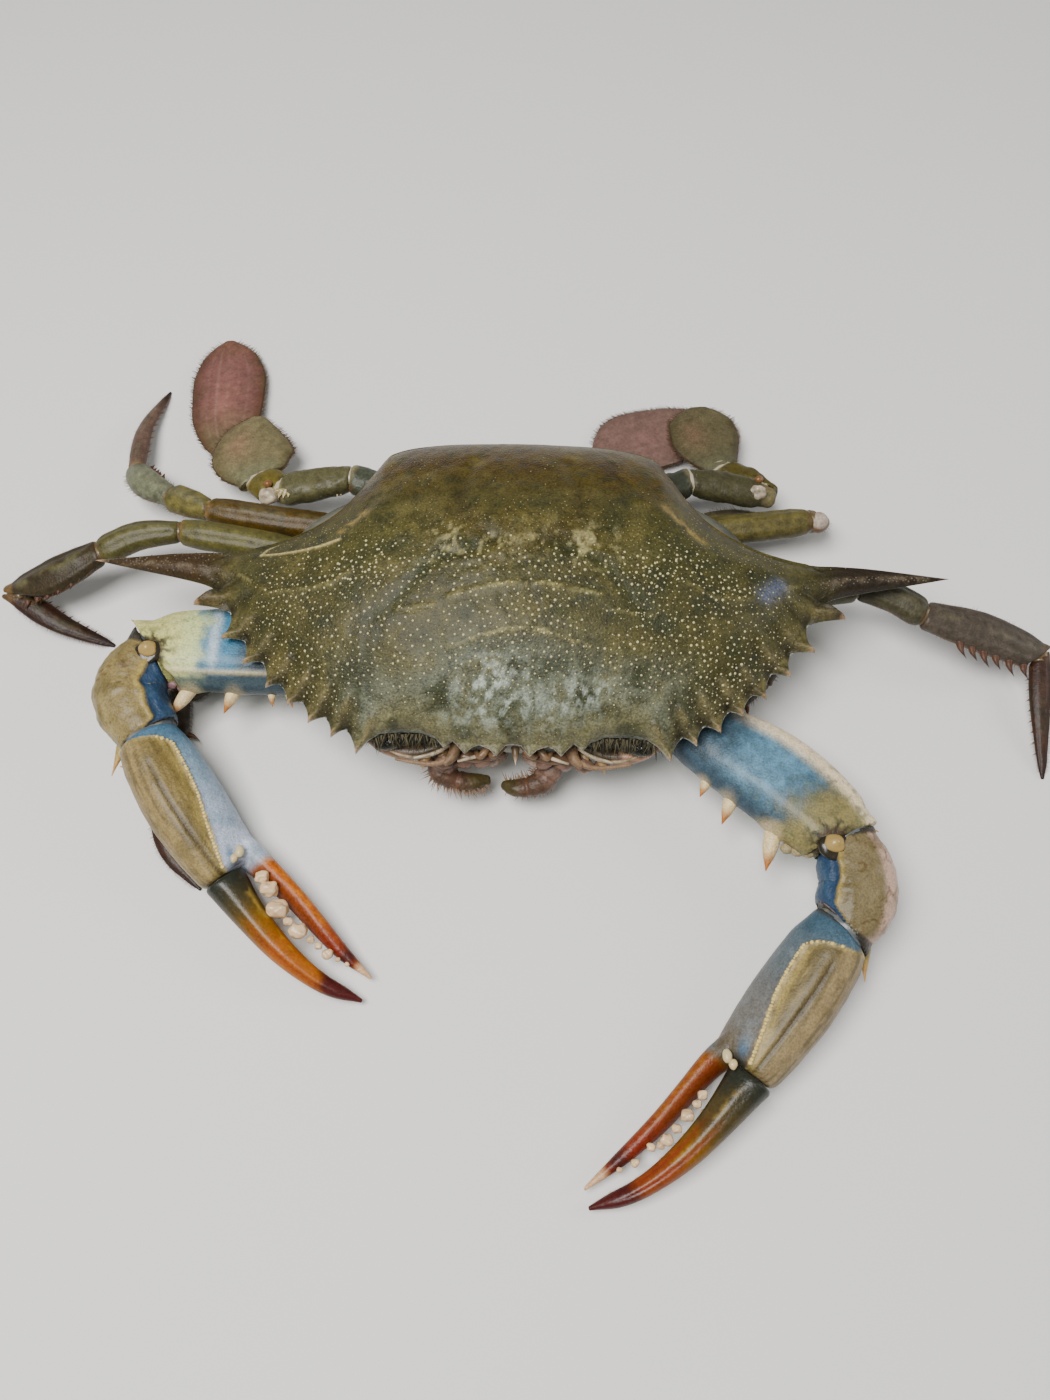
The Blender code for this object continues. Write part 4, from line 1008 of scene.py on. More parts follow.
class Fringe:
    """Points that bristles grow from, with their directions, lengths and colour."""

    def __init__(self, name: str) -> None:
        """An empty fringe of that name.

        Args:
            name: Name of the piece.
        """
        self.name = name
        self.roots: list[Array] = []
        self.aims: list[Array] = []
        self.reaches: list[float] = []
        self.colours: list[Colour] = []

    def row(self, rod: Rod, angle: float, span: tuple[float, float], count: int, reach: float,
            colour: Colour, lean: float = 0.5, wander: float = 6.0, seed: int = 1) -> "Fringe":
        """A row of bristles along a rod.

        Args:
            rod: What they grow on.
            angle: Degrees round from the broad side.
            span: Where the row begins and ends along the rod.
            count: How many.
            reach: Their length.
            colour: Their colour.
            lean: How far they lie towards the far end.
            wander: How far roots stray from the row, in degrees.
            seed: Seed of the straying.

        Returns:
            This fringe.
        """
        random = np.random.default_rng(seed)
        for share in np.linspace(0, 1, count):
            t = span[0] + (span[1] - span[0]) * share
            spot, outward = rod.spot(t, angle + random.uniform(-wander, wander), -0.15)
            along = rod.heading(t)
            self.tuft(spot, unit(outward + along * lean), reach * random.uniform(0.75, 1.15), colour)
        return self

    def tuft(self, root: Array, aim: Array, reach: float, colour: Colour) -> "Fringe":
        """One bristle.

        Args:
            root: Where it grows.
            aim: The way it points.
            reach: Its length.
            colour: Its colour.

        Returns:
            This fringe.
        """
        self.roots.append(np.asarray(root, float))
        self.aims.append(np.asarray(aim, float))
        self.reaches.append(reach)
        self.colours.append(colour)
        return self

    def grow(self, thickness: float, slot: Slot = Slot.BRISTLE) -> bpy.types.Object:
        """The bristles as one piece.

        Args:
            thickness: Half thickness at the root.
            slot: Not used; it is passed on to the scatter, which does not read it.

        Returns:
            The finished object.
        """
        mesh = bpy.data.meshes.new(self.name + "_points")
        mesh.from_pydata((np.array(self.roots) * MM).tolist(), [], [])
        carry(mesh, "aim", "FLOAT_VECTOR", np.array(self.aims))
        carry(mesh, "reach", "FLOAT", np.array(self.reaches, np.float32) * MM)
        colours = np.hstack([np.array(self.colours), np.ones((len(self.colours), 1))])
        carry(mesh, "paint", "FLOAT_COLOR", colours)
        bristles = Scatter(Repeat.BRISTLES, thickness, spread=0.25, spacing=0, seed=11)
        return bristles.grow(self.name, mesh, BRISTLE, slot)


# The shell

@dataclass
class Carapace:
    """The broad domed shell with its toothed front edge, two long side spines and granules.

    A mound is its height, its middle and its half widths; a ridge is its corners, its height and half width.
    """

    spine_tip: tuple[float, float] = (80.7, 5.3)
    half_width: float = 58.5
    top: float = 35.2
    rim: float = 18.6
    rear_rise: float = 1.2
    middle: float = 18.8
    underside: float = 16.8
    axis_y: float = 3.0
    arc_centre_y: float = 25.0
    arc_radius: float = 61.2
    flank_hollow: float = 0.55
    tooth_tips: Line = (
        (27.4, -33.6), (32.1, -30.5), (36.4, -27.8), (40.5, -24.5), (44.8, -21.0), (49.5, -16.3),
        (54.2, -11.2), (60.4, -4.1))
    notches: Line = (
        (29.6, -28.9), (33.5, -26.7), (38.0, -23.7), (42.3, -20.3), (46.0, -15.9), (49.9, -11.6),
        (53.4, -5.6), (56.4, -0.9))
    brow: Line = (
        (0.0, -31.0), (1.4, -31.2), (2.9, -33.2), (4.2, -31.9), (6.0, -31.2), (7.2, -31.7), (8.4, -33.0),
        (9.6, -31.6), (10.6, -30.6), (12.2, -31.8), (13.6, -30.2), (16.2, -29.2), (20.0, -29.1),
        (23.4, -29.5), (25.4, -30.9))
    rear: Keys = field(default_factory=lambda: [
        (0, 33.0), (12, 32.7), (20, 31.9), (25.6, 30.2), (28.2, 26.6), (31.5, 21.5), (35.5, 16.5),
        (41.0, 12.5), (47.0, 9.6), (53.2, 8.1), (58.5, 7.5), (64, 7.25), (70.9, 6.6), (80.7, 5.3)])
    cervical: Line = (
        (33, -17), (26, -13.5), (20.5, -9.5), (17.4, -6.0), (15.6, -3.6), (12.4, -2.2), (8.6, -0.9),
        (4.5, 0.6))
    heart: Line = ((4.5, 0.6), (8.5, 4.5), (11.3, 8.0), (10.5, 14), (8.5, 21))
    hind_line: Line = ((48, 1.5), (40, 2.6), (32, 3.4), (27, 8.5), (22, 13))
    crease: Line = ((-47.9, 4.3), (-44.1, 3.5), (-40.0, 3.0), (-36.1, 3.0), (-32.2, 3.5))
    mounds: Sequence[Sequence[Mound]] = (
        ((0.55, 7.5, -18, 6, 5), (0.35, 0, -14, 5, 7), (0.55, 0, 9.5, 9, 6)),
        ((0.55, 25.5, -5, 7, 5.5), (0.35, 23, 8, 9, 6), (0.45, 15, -25, 4.2, 3)),
        ((0.5, 8.6, -28.3, 2.2, 2.6), (0.35, 2.7, -29, 2.0, 2.6), (-0.6, 5.8, -28.5, 1.3, 3)),
        ((-0.35, 0, -29.4, 1.2, 3), (-0.5, 12.2, -27.3, 1.3, 2.2), (-0.5, 25, -22.5, 5, 4)),
        ((0.35, 8, 3.5, 3.5, 2.5),))
    ridges: Sequence[Ridge] = (
        (((-11.8, -10.2), (-7.9, -9.2), (-4.5, -8.4), (-1.1, -8.0), (5.7, -7.9), (10.0, -8.6),
          (14.5, -9.0)), 0.28, 0.38),
        (((-11.2, -18.6), (-6.0, -16.9), (-1.7, -15.9), (1.7, -15.5), (5.1, -15.8), (8.5, -17.0),
          (12.7, -17.8)), 0.28, 0.38),
        (((-20.6, -11.9), (-17.4, -11.9), (-14.2, -11.5)), 0.3, 0.45),
        (((16.4, -11.4), (20.4, -11.7), (24.0, -11.6)), 0.3, 0.45),
        (((-52.0, 0.8), (-44.7, -5.2), (-36.8, -6.2), (-33.0, -5.8), (-29.5, -4.2)), 0.3, 0.5),
        (((52.0, 0.8), (46.0, -2.4), (41.4, -5.3), (35.0, -6.6), (30.0, -5.0)), 0.3, 0.5))
    pitch: float = 0.42
    foot: float = 50.0
    spine_lines: int = 66
    fore_rows: int = 74
    aft_rows: int = 60
    under_shares: Sequence[float] = (0.03, 0.09, 0.2, 0.5, 0.8, 0.91, 0.97)
    spine_front: Keys = field(default_factory=lambda: [
        (56.4, -0.9), (59.0, 0.3), (64.0, 1.6), (70.0, 2.9), (75.5, 4.1), (80.7, 5.3)])

    def front_line(self) -> list[tuple[float, float]]:
        """Corners of the front edge on one side, from the middle to the foot of the spine.

        Returns:
            The corners.
        """
        line = list(self.brow)
        for tip, notch in zip(self.tooth_tips, self.notches):
            line += [tip, notch]
        return line

    @staticmethod
    def way_in(corner: Array) -> Array:
        """The way in from a corner of the front edge, towards the back's middle."""
        return unit(np.array([-0.75 * corner[0], 5 - corner[1]]))

    def teeth(self) -> list[tuple[Array, Array, Array]]:
        """Tip, next notch and the way in from the edge of each side tooth."""
        pairs = zip(np.array(self.tooth_tips), np.array(self.notches))
        return [(tip, notch, self.way_in(tip)) for tip, notch in pairs]

    def columns(self) -> tuple[Array, Array, Array]:
        """Where the lines of points start, on the shell's cross axis, and end, in front and behind.

        Returns:
            Starts, front ends and rear ends for the side at +X, from the middle out.
        """
        corners = np.array(self.front_line(), float)
        turn = np.degrees(np.arctan2(corners[:, 0], self.arc_centre_y - corners[:, 1]))
        foot, reach = self.foot, self.spine_tip[0] - self.foot
        starts: list[float] = []
        fronts: list[Array] = []
        for k in range(len(corners) - 1):
            gap = np.linalg.norm(corners[k + 1] - corners[k])
            count = max(2, int(math.ceil(gap / self.pitch)))
            inward = self.way_in(corners[k])
            hollow = self.flank_hollow * (1 + step(corners[k][0], 50, 58)) if corners[k][0] > 26 else 0.0
            for share in np.linspace(0, 1, count, endpoint=False):
                sag = inward * 4 * hollow * share * (1 - share)
                point = corners[k] + (corners[k + 1] - corners[k]) * share + sag
                starts.append((turn[k] + (turn[k + 1] - turn[k]) * share) / turn[-1] * foot)
                fronts.append(point)
        for share in np.linspace(0, 1, self.spine_lines):
            x = corners[-1][0] + (self.spine_tip[0] - corners[-1][0]) * share
            starts.append(foot + reach * share)
            fronts.append(np.array([x, float(smooth_keys(self.spine_front, 1, np.array([x]))[0])]))
        start_x = np.array(starts)
        sweep = np.clip((start_x - foot) / reach, 0, 1)
        start = np.stack([start_x, self.axis_y + (self.spine_tip[1] - self.axis_y) * sweep], axis=1)
        behind = rows_of(start_x, smooth_keys(self.rear, 1, start_x))
        return start, np.array(fronts), behind

    def share_back(self, x: Array, y: Array) -> Array:
        """How far back a place is, from 0 on the plain front arc to 1 on the rear edge.

        Args:
            x: Places across.
            y: Places along.

        Returns:
            The shares.
        """
        side = np.minimum(np.abs(x), self.half_width - 0.2)
        arc = self.arc_centre_y - np.sqrt(np.maximum(self.arc_radius**2 - side**2, 0))
        plain = np.where(side < 27, -31.0 + 0.9 * (side / 27) ** 2, arc)
        front = np.where(side > 56.6, 3.6 - (self.half_width - side) * 2.1, plain)
        rear = smooth_keys(self.rear, 1, side)
        tail = np.clip((side - 54) / 4.5, 0, 1)
        rear = rear * (1 - tail) + 3.6 * tail
        return np.clip((y - front) / np.maximum(rear - front, 0.5), 0, 1)

    def dome(self, x: Array, y: Array) -> Array:
        """Height of the dome above the rim.

        Args:
            x: Places across.
            y: Places along.

        Returns:
            The heights.
        """
        v = self.share_back(x, y)
        full = (self.top - self.rim) * np.maximum(0, 1 - (np.abs(x) / self.half_width) ** 2) ** 1.15
        steep = 0.8 - 0.12 * step(v, 0.4, 0.6)
        return full * np.maximum(0, 4 * v * (1 - v)) ** steep

    def swell(self, x: Array, y: Array) -> Array:
        """Raised regions, grooves and ridge lines of the back, in millimetres.

        Args:
            x: Places across.
            y: Places along.

        Returns:
            The heights.
        """
        side = np.abs(x)
        flat = rows_of(side, y)
        signed = rows_of(x, y)
        height = np.zeros(len(x))
        for group in self.mounds:
            height += sum(lift * mound(side, y, (cx, cy), (rx, ry)) for lift, cx, cy, rx, ry in group)
        height -= 0.3 * beside(flat, self.cervical, 1.3) * step(side, 30, 18)
        height -= 0.4 * beside(flat, self.heart, 1.5)
        height += 0.25 * beside(flat, self.hind_line, 1.6)
        for line, lift, width in self.ridges:
            height += lift * beside(signed, line, width)
        height += 0.3 * beside(signed, self.crease, 0.4)
        wrinkles = Grain(2.2, 40).layered(rows_of(x, y * 1.8, x * 0))
        scarred = mound(side, y, (11.5, 0.5), (6, 4.5)) + 0.5 * mound(side, y, (0, -2.5), (8, 3))
        height += 0.42 * wrinkles * scarred
        return height * step(self.share_back(x, y), 0.0, 0.06)

    def tooth_relief(self, x: Array, y: Array) -> Array:
        """A low keel behind each side tooth, and a valley behind each notch.

        Args:
            x: Places across.
            y: Places along.

        Returns:
            The heights.
        """
        flat = rows_of(np.abs(x), y)
        height = np.zeros(len(x))
        for tip, notch, inward in self.teeth():
            height += 0.8 * beside(flat, [tip + 0.6 * inward, tip + 6.0 * inward], 0.75)
            height -= 0.65 * beside(flat, [notch, notch + 4.5 * inward], 0.95)
        return height

    def surface(self, start: Array, end: Array, rows: int, seed: int) -> tuple[Array, Array]:
        """Points of the upper surface between the cross axis and an edge.

        Args:
            start: Where each line of points starts.
            end: Where it ends.
            rows: How many points a line has.
            seed: Seed of the fine unevenness.

        Returns:
            The points as lines by places along, and their distances from the edge.
        """
        share = 1 - (1 - np.linspace(0, 1, rows)) ** 1.25
        flat = start[:, None, :] + (end - start)[:, None, :] * share[None, :, None]
        span = np.linalg.norm(end - start, axis=1)[:, None]
        far = span * (1 - share)[None, :]
        x, y = flat[..., 0].ravel(), flat[..., 1].ravel()
        edge = far.ravel()
        rounded = np.sqrt(1 - (1 - np.clip(edge / 1.1, 0, 1)) ** 2)
        arch = (span * np.sqrt(1 - share**2)[None, :]).ravel()
        roof = 0.4 * arch * step(np.abs(x), 53, 60) * step(y, -5, -0.5)
        behind = step(y, 10, 33)
        border = 0.45 * hump(edge, 0.8, 0.42) - 0.45 * hump(edge, 2.0, 0.6)
        lift = self.dome(x, y) + roof + 0.45 * (1 - np.exp(-edge / 2.2))
        body = lift + self.swell(x, y) + self.tooth_relief(x, y) + border * step(y, 4, 9)
        body += self.rear_rise * behind
        spot = rows_of(x, y, x * 0)
        body += 0.1 * Grain(5.0, seed).layered(spot) * step(edge, 0.5, 4)
        body += 0.05 * Grain(1.3, seed + 5).at(spot) * step(edge, 0.5, 3)
        z = self.middle - 0.55 * step(y, 3, 12) - 0.2 + rounded * (body + 0.2)
        return rows_of(x, y, z).reshape(len(start), rows, 3), far

    def build(self) -> None:
        """Makes the shell and its granules."""
        mirror = np.array([-1.0, 1.0])
        start, front, behind = (np.vstack([half[:0:-1] * mirror, half]) for half in self.columns())
        fore, fore_edge = self.surface(start, front, self.fore_rows, 21)
        aft, aft_edge = self.surface(start, behind, self.aft_rows, 21)
        upper = np.concatenate([fore[:, ::-1], aft[:, 1:]], axis=1)
        edge = np.concatenate([fore_edge[:, ::-1], aft_edge[:, 1:]], axis=1)
        count = len(upper)
        lower_share = np.array(self.under_shares)
        low = upper[:, :1] + (upper[:, -1:] - upper[:, :1]) * lower_share[None, :, None]
        reach = np.minimum(lower_share, 1 - lower_share)[None, :] * np.linalg.norm(
            upper[:, -1, :2] - upper[:, 0, :2], axis=1)[:, None]
        low[..., 2] = np.maximum(self.underside, self.middle - 0.2 - 1.9 * (1 - np.exp(-reach / 1.6)))
        loop = np.concatenate([upper, low[:, ::-1]], axis=1)
        middle = loop.mean(axis=1)
        skin = loose_skin(loop, grid_faces(count, loop.shape[1]), grid_normals(loop, middle))
        full_edge = np.concatenate([edge, np.zeros((count, len(lower_share)))], axis=1).ravel()
        self.paint(skin, full_edge)
        shell = Piece("carapace_shell").add(skin).make(SHELL, Slot.SHELL, ["carapace"])
        self.grow_granules(shell, skin, full_edge)

    def paint(self, skin: Skin, edge: Array) -> None:
        """Lays the colours of the back on the shell, with some painted highlights and painted shade.

        Args:
            skin: The shell's surface.
            edge: Distance of each point from the rim.
        """
        x, y, _ = skin.points.T
        side = np.abs(x)
        flat = rows_of(side, y)
        signed = rows_of(x, y)
        v = self.share_back(x, y)
        broad = Grain(9.0, 3).layered(skin.points, 4)
        fine = Grain(1.1, 9).layered(skin.points, 3)
        skin.fill((0.052, 0.047, 0.018))
        skin.lay((0.058, 0.037, 0.007), step(y + 3 * broad, 8, 22) * 0.9)
        skin.lay((0.082, 0.062, 0.016), step(v, 0.93, 1.0) * step(y, 5, 15) * 0.5)
        skin.lay((0.13, 0.142, 0.108), step(y + 2 * broad, -16, -26) * step(side, 38, 24) * 0.85)
        skin.lay((0.1, 0.108, 0.082), hump(y, -20, 5) * step(side, 22, 8) * 0.7)
        skin.lay((0.15, 0.132, 0.068), step(edge, 6, 1) * step(y, 2, -4) * 0.6)
        skin.lay((0.07, 0.068, 0.026), (hump(side, 26, 9) * hump(y, 2, 6)) * 0.5)
        skin.lay((0.08, 0.064, 0.022), hump(side, 4, 14) * hump(y, 3, 6) * 0.6)
        blotch = Grain(4.2, 13).layered(skin.points, 3)
        skin.lay((0.024, 0.028, 0.012), 0.75 * step(blotch, 0.1, 0.8) * step(y, 16, 4))
        skin.lay((0.026, 0.015, 0.004), 0.7 * step(blotch, 0.1, 0.8) * step(y, 8, 18))
        skin.lay((0.112, 0.098, 0.044), 0.45 * step(blotch, -0.15, -0.8))
        middling = Grain(1.9, 14).layered(skin.points, 2)
        skin.lay((0.022, 0.024, 0.01), 0.55 * step(middling, 0.15, 0.8))
        # Painted highlight: pale sheen laid in patches on the brow, broken up by the fine grain.
        sheen = hump(x, -3.5, 5.5) * hump(y, -23.5, 3.8) + 0.8 * hump(x, 12.5, 4.5) * hump(y, -24, 2.2)
        sheen += 0.45 * hump(side, 5, 8) * hump(y, -27, 2.4)
        skin.lay((0.46, 0.51, 0.45), 0.8 * sheen * step(fine, -0.2, 0.5))
        skin.lay(Tone.DARK_OLIVE, 0.45 * step(broad, 0.25, 1.1))
        # Painted highlight along each side tooth's keel, and painted shade in the valley behind each notch.
        for tip, notch, inward in self.teeth():
            keel = beside(flat, [tip, tip + 5.5 * inward], 0.7)
            valley = beside(flat, [notch, notch + 4.0 * inward], 1.1)
            skin.lay((0.19, 0.165, 0.095), 0.6 * keel).lay((0.028, 0.026, 0.013), 0.6 * valley)
        # Painted shade: darker along the cervical groove and along the heart groove.
        skin.lay((0.022, 0.028, 0.012), 0.65 * beside(flat, self.cervical[1:], 1.5))
        skin.lay((0.034, 0.026, 0.008), 0.6 * beside(flat, self.heart[:4], 1.9))
        scarred = hump(side, 12.5, 5.5) * hump(y, 0.5, 4.5) + 0.6 * hump(x, 0, 9) * hump(y, 0, 4)
        skin.lay((0.33, 0.3, 0.17), 0.75 * (step(fine, 0.15, 0.7) * scarred))
        for index, (line, _, width) in enumerate(self.ridges):
            near = trace(signed, line)
            bright = 0.65 if index < 2 else 0.3
            skin.lay((0.3, 0.27, 0.14), bright * hump(near, 0, width * 0.8) * step(fine, -0.7, 0.3))
            skin.lay((0.045, 0.045, 0.025), 0.4 * hump(near, 1.6, 0.8) * 0.8)
        skin.lay((0.1, 0.115, 0.165), 0.85 * beside(signed, [(44.5, -3.5), (47.5, -0.6)], 1.6))
        for line in (self.crease, [(-47.9, 4.3), (-47.2, 6.0), (-44.8, 8.0)]):
            skin.lay((0.55, 0.47, 0.26), 0.85 * beside(signed, line, 0.3))
        for line in ([(-32.0, 6.2), (-30.0, 7.8), (-28.0, 9.6)],
                     [(26.5, 11.8), (28.7, 9.4), (30.8, 7.4), (33.0, 5.8)]):
            skin.lay((0.36, 0.27, 0.12), 0.6 * beside(signed, line, 0.9) * step(fine, -0.9, 0.4))
        spine = step(side, 51, 62)
        skin.lay((0.036, 0.02, 0.009), spine * (x < 0) * 0.9)
        skin.lay((0.013, 0.008, 0.004), spine * (x > 0) * 0.95)
        keel = beside(flat, [(56, 2.2), (66, 3.8), (76, 4.9)], 0.7)
        skin.lay((0.15, 0.12, 0.085), spine * 0.5 * keel * step(fine, -0.4, 0.4))
        skin.lay((0.38, 0.27, 0.19), step(side, 77.5, 80.5) * (x < 0))
        skin.lay((0.1, 0.06, 0.05), step(side, 78, 80.6) * (x > 0))
        # Brownish cream tips of the side teeth, and painted shade round each notch between them.
        for corners, colour, reach in ((self.tooth_tips, (0.42, 0.29, 0.19), 1.5),
                                       (self.notches, (0.024, 0.022, 0.012), 2.8)):
            for corner in corners:
                far = np.hypot(side - corner[0], y - corner[1])
                skin.lay(colour, 0.8 * step(far, reach, 0.4))
        skin.lay((0.1, 0.085, 0.055), step(edge, 0.7, 0.1) * (side < 13) * (y < -28) * 0.7)
        skin.lay((0.016, 0.011, 0.004), step(edge, 1.0, 0.3) * (y > 12) * 0.9)
        # Painted highlight: a lighter line along the crest of the rear rim.
        skin.lay((0.13, 0.095, 0.035), 0.5 * hump(edge, 1.5, 0.3) * (y > 12))
        under = (skin.normals[:, 2] < -0.2) & (edge < 0.01)
        skin.lay(Tone.PALE, under * 0.55)
        skin.speckle(1.0, 17, 0.16)
        skin.gloss = 0.5 * step(y, 8, 20) + 0.35 * step(y, -22, -28)

    def grow_granules(self, shell: bpy.types.Object, skin: Skin, edge: Array) -> None:
        """Spreads pale beads over the back, dense and large over the gills, fine elsewhere.

        Args:
            shell: The finished shell.
            skin: Its surface.
            edge: Distance of each point from the rim.
        """
        x, y, _ = skin.points.T
        side = np.abs(x)
        signed = rows_of(x, y)
        top = (edge > 0.8) * step(skin.normals[:, 2], 0.1, 0.5)
        patch = Grain(4.5, 61).layered(skin.points)
        band = step(y, 3, -4) * step(y, -28, -23) * step(side, 51, 43)
        gill = mound(side, y, (26, -2.5), (7.5, 6.5))
        bare = 1 - mound(side, y, (14, -12), (4, 5))
        dense = top * np.clip(band * bare * (0.85 + 0.22 * patch), 0, 1)
        size = 0.85 + 0.12 * patch - 0.3 * step(y, -20, -26) - 0.2 * step(side, 36, 48)
        small = top * np.clip(0.05 + 0.75 * step(y, 12, 2) * step(side, 54, 46) + 0.2 * patch, 0, 1)
        lines = np.zeros(len(x))
        for line, _, width in self.ridges[:4]:
            lines = np.maximum(lines, beside(signed, line, width * 0.6))
        ridge = trace(rows_of(side, y), [(53, 1.2), (66, 3.8), (76, 4.9)])
        rough = (x < 0) * 0.35 * step(side, 54, 58)
        on_spine = np.clip((ridge < 0.6) + rough, 0, 1) * (edge > 0.35) * (skin.normals[:, 2] > 0.1)
        even = np.full(len(x), 1.0)
        spreads = [
            ("granules", dense, size, (0.245, 0.4, 1.05, 5), (0.56, 0.5, 0.28)),
            ("gill_granules", top * np.clip(1.1 * gill - 0.3, 0, 1), 0.8 + 0.3 * gill, (0.235, 0.35, 1.0, 9),
             (0.58, 0.52, 0.29)),
            ("fine_granules", small, even, (0.125, 0.35, 0.78, 8), (0.25, 0.22, 0.1)),
            ("ridge_granules", (lines > 0.5) * top, even, (0.15, 0.3, 0.42, 3), (0.42, 0.37, 0.2)),
            ("spine_granules", on_spine, even, (0.16, 0.3, 0.5, 4), (0.15, 0.12, 0.085)),
        ]
        for name, density, share, sizes, colour in spreads:
            self.beads("carapace_" + name, shell, density, share, Scatter(Repeat.BEADS, *sizes), colour)

    @staticmethod
    def beads(name: str, shell: bpy.types.Object, density: Array, size: Array, scatter: Scatter,
              colour: Colour) -> None:
        """One spread of beads over the shell.

        Args:
            name: Name of the piece.
            shell: The finished shell.
            density: Share of the densest spread at each point.
            size: Share of the scatter's size at each point.
            scatter: The sizes of the spread.
            colour: Colour of the beads.
        """
        guide = shell.data.copy()
        carry(guide, "granules", "FLOAT", density)
        carry(guide, "bead_size", "FLOAT", size)
        tint = np.tile(np.array([*colour, 1.0], np.float32) * (DEPTH, DEPTH, DEPTH, 1), len(guide.vertices))
        guide.color_attributes["paint"].data.foreach_set("color", tint)
        scatter.grow(name, guide, BEAD, Slot.SHELL)


# Limbs

SEGMENTS = ("coxa", "merus", "carpus", "propodus", "dactyl")
WALKING_GIRTH: dict[str, Keys] = {
    "coxa": [(0, 2.9, 2.8), (0.6, 3.2, 3.0), (1, 2.7, 2.5)],
    "merus": [(0, 2.2, 2.2), (0.3, 3.0, 2.6), (0.85, 3.0, 2.6), (1, 2.5, 2.3)],
    "carpus": [(0, 2.1, 2.0), (0.5, 3.0, 2.4), (0.85, 3.1, 2.5), (1, 2.5, 2.2)],
    "propodus": [(0, 2.2, 2.0), (0.5, 3.2, 2.3), (0.85, 2.8, 2.0), (1, 2.1, 1.7)],
    "dactyl": [(0, 1.7, 1.4), (0.25, 1.9, 1.4), (0.6, 1.4, 1.0), (0.9, 0.7, 0.55), (1, 0.28, 0.28)],
}
FLAT_GIRTH: dict[str, Keys] = {
    "coxa": [(0, 2.9, 2.6), (0.6, 3.0, 2.6), (1, 2.5, 2.0)],
    "merus": [(0, 2.2, 1.8), (0.3, 3.0, 2.0), (0.85, 3.0, 1.9), (1, 2.5, 1.7)],
    "carpus": [(0, 2.1, 1.6), (0.5, 3.0, 1.8), (0.85, 3.0, 1.8), (1, 2.5, 1.6)],
    "propodus": [(0, 2.2, 1.5), (0.5, 3.1, 1.7), (0.85, 2.7, 1.6), (1, 2.1, 1.3)],
    "dactyl": [(0, 1.7, 1.2), (0.25, 1.9, 1.2), (0.6, 1.4, 0.9), (0.9, 0.7, 0.5), (1, 0.28, 0.28)],
}
SWIM_GIRTH: dict[str, Keys] = {
    "coxa": [(0, 3.2, 3.0), (0.5, 3.6, 3.2), (1, 3.0, 2.6)],
    "merus": [(0, 2.7, 2.4), (0.4, 3.4, 2.6), (0.85, 3.6, 2.6), (1, 3.0, 2.3)],
    "carpus": [(0, 2.8, 2.3), (0.5, 3.9, 2.5), (1, 3.2, 2.0)],
    "propodus": [(0, 3.0, 1.7), (0.2, 5.2, 1.4), (0.5, 7.3, 1.1), (0.75, 7.0, 0.9), (0.92, 4.6, 0.7),
                 (1, 2.4, 0.6)],
    "dactyl": [(0, 3.2, 0.7), (0.15, 5.6, 0.75), (0.4, 7.7, 0.7), (0.65, 8.1, 0.65), (0.85, 6.3, 0.55),
               (0.95, 3.6, 0.5), (1, 1.3, 0.4)],
}
ROUND_ARM: Keys = [(0, 4.4, 1.8), (0.2, 7.3, 1.6), (0.4, 8.7, 1.4), (0.6, 7.9, 1.2), (0.8, 5.8, 0.9),
                   (0.95, 2.8, 0.7), (1, 1.8, 0.6)]
CLAW_GIRTH: dict[str, Keys] = {
    "coxa": [(0, 4.2, 4.0), (0.6, 4.6, 4.2), (1, 4.2, 3.9)],
    "merus": [(0, 4.6, 4.0), (0.25, 7.4, 4.6), (0.6, 9.1, 5.0), (0.88, 8.3, 4.9), (1, 6.4, 4.4)],
    "carpus": [(0, 5.0, 4.4), (0.3, 6.4, 5.2), (0.65, 6.6, 5.5), (1, 5.6, 4.8)],
    "propodus": [(0, 5.4, 4.6), (0.2, 6.8, 5.4), (0.5, 7.3, 5.6), (0.8, 6.8, 5.0), (1, 6.0, 4.3)],
    "dactyl": [(0, 3.9, 3.2), (0.1, 3.4, 3.1), (0.25, 2.8, 2.7), (0.45, 2.3, 2.2), (0.65, 1.8, 1.7),
               (0.85, 1.35, 1.2), (1, 0.35, 0.35)],
}
POLLEX_GIRTH: Keys = [(0, 2.6, 3.2), (0.2, 1.95, 2.8), (0.4, 1.6, 2.4), (0.6, 1.5, 2.0), (0.8, 1.25, 1.3),
                      (1, 0.35, 0.35)]


def straight_rods(joints: Sequence[Point], girths: dict[str, Keys], bows: dict[str, Point] | None = None,
                  broad: dict[str, float] | None = None) -> dict[str, Rod]:
    """A rod for each segment, between neighbouring joints.

    Args:
        joints: Places of the joints, from the body out.
        girths: Half sizes of each segment.
        bows: How far the middle of a segment is pushed aside.
        broad: How much wider a segment is than its table says.

    Returns:
        The rods by segment.
    """
    rods: dict[str, Rod] = {}
    for segment, start, end in zip(SEGMENTS, joints[:-1], joints[1:]):
        bow = (bows or {}).get(segment, (0, 0, 0))
        middle = (np.asarray(start, float) + np.asarray(end, float)) / 2 + np.asarray(bow, float)
        share = (broad or {}).get(segment, 1.0)
        girth = [(t, a * share, b) for t, a, b in girths[segment]]
        rods[segment] = Rod([start, tuple(middle), end], girth)
    return rods


def joint_plane(before: Rod, after: Rod) -> Plane:
    """Point and direction of the cut between two segments."""
    ends = before.heading(1.0) + after.heading(0.0)
    return (np.asarray(before.path[-1], float) + np.asarray(after.path[0], float)) / 2, unit(ends)


Painter = Callable[[Skin, str], None]


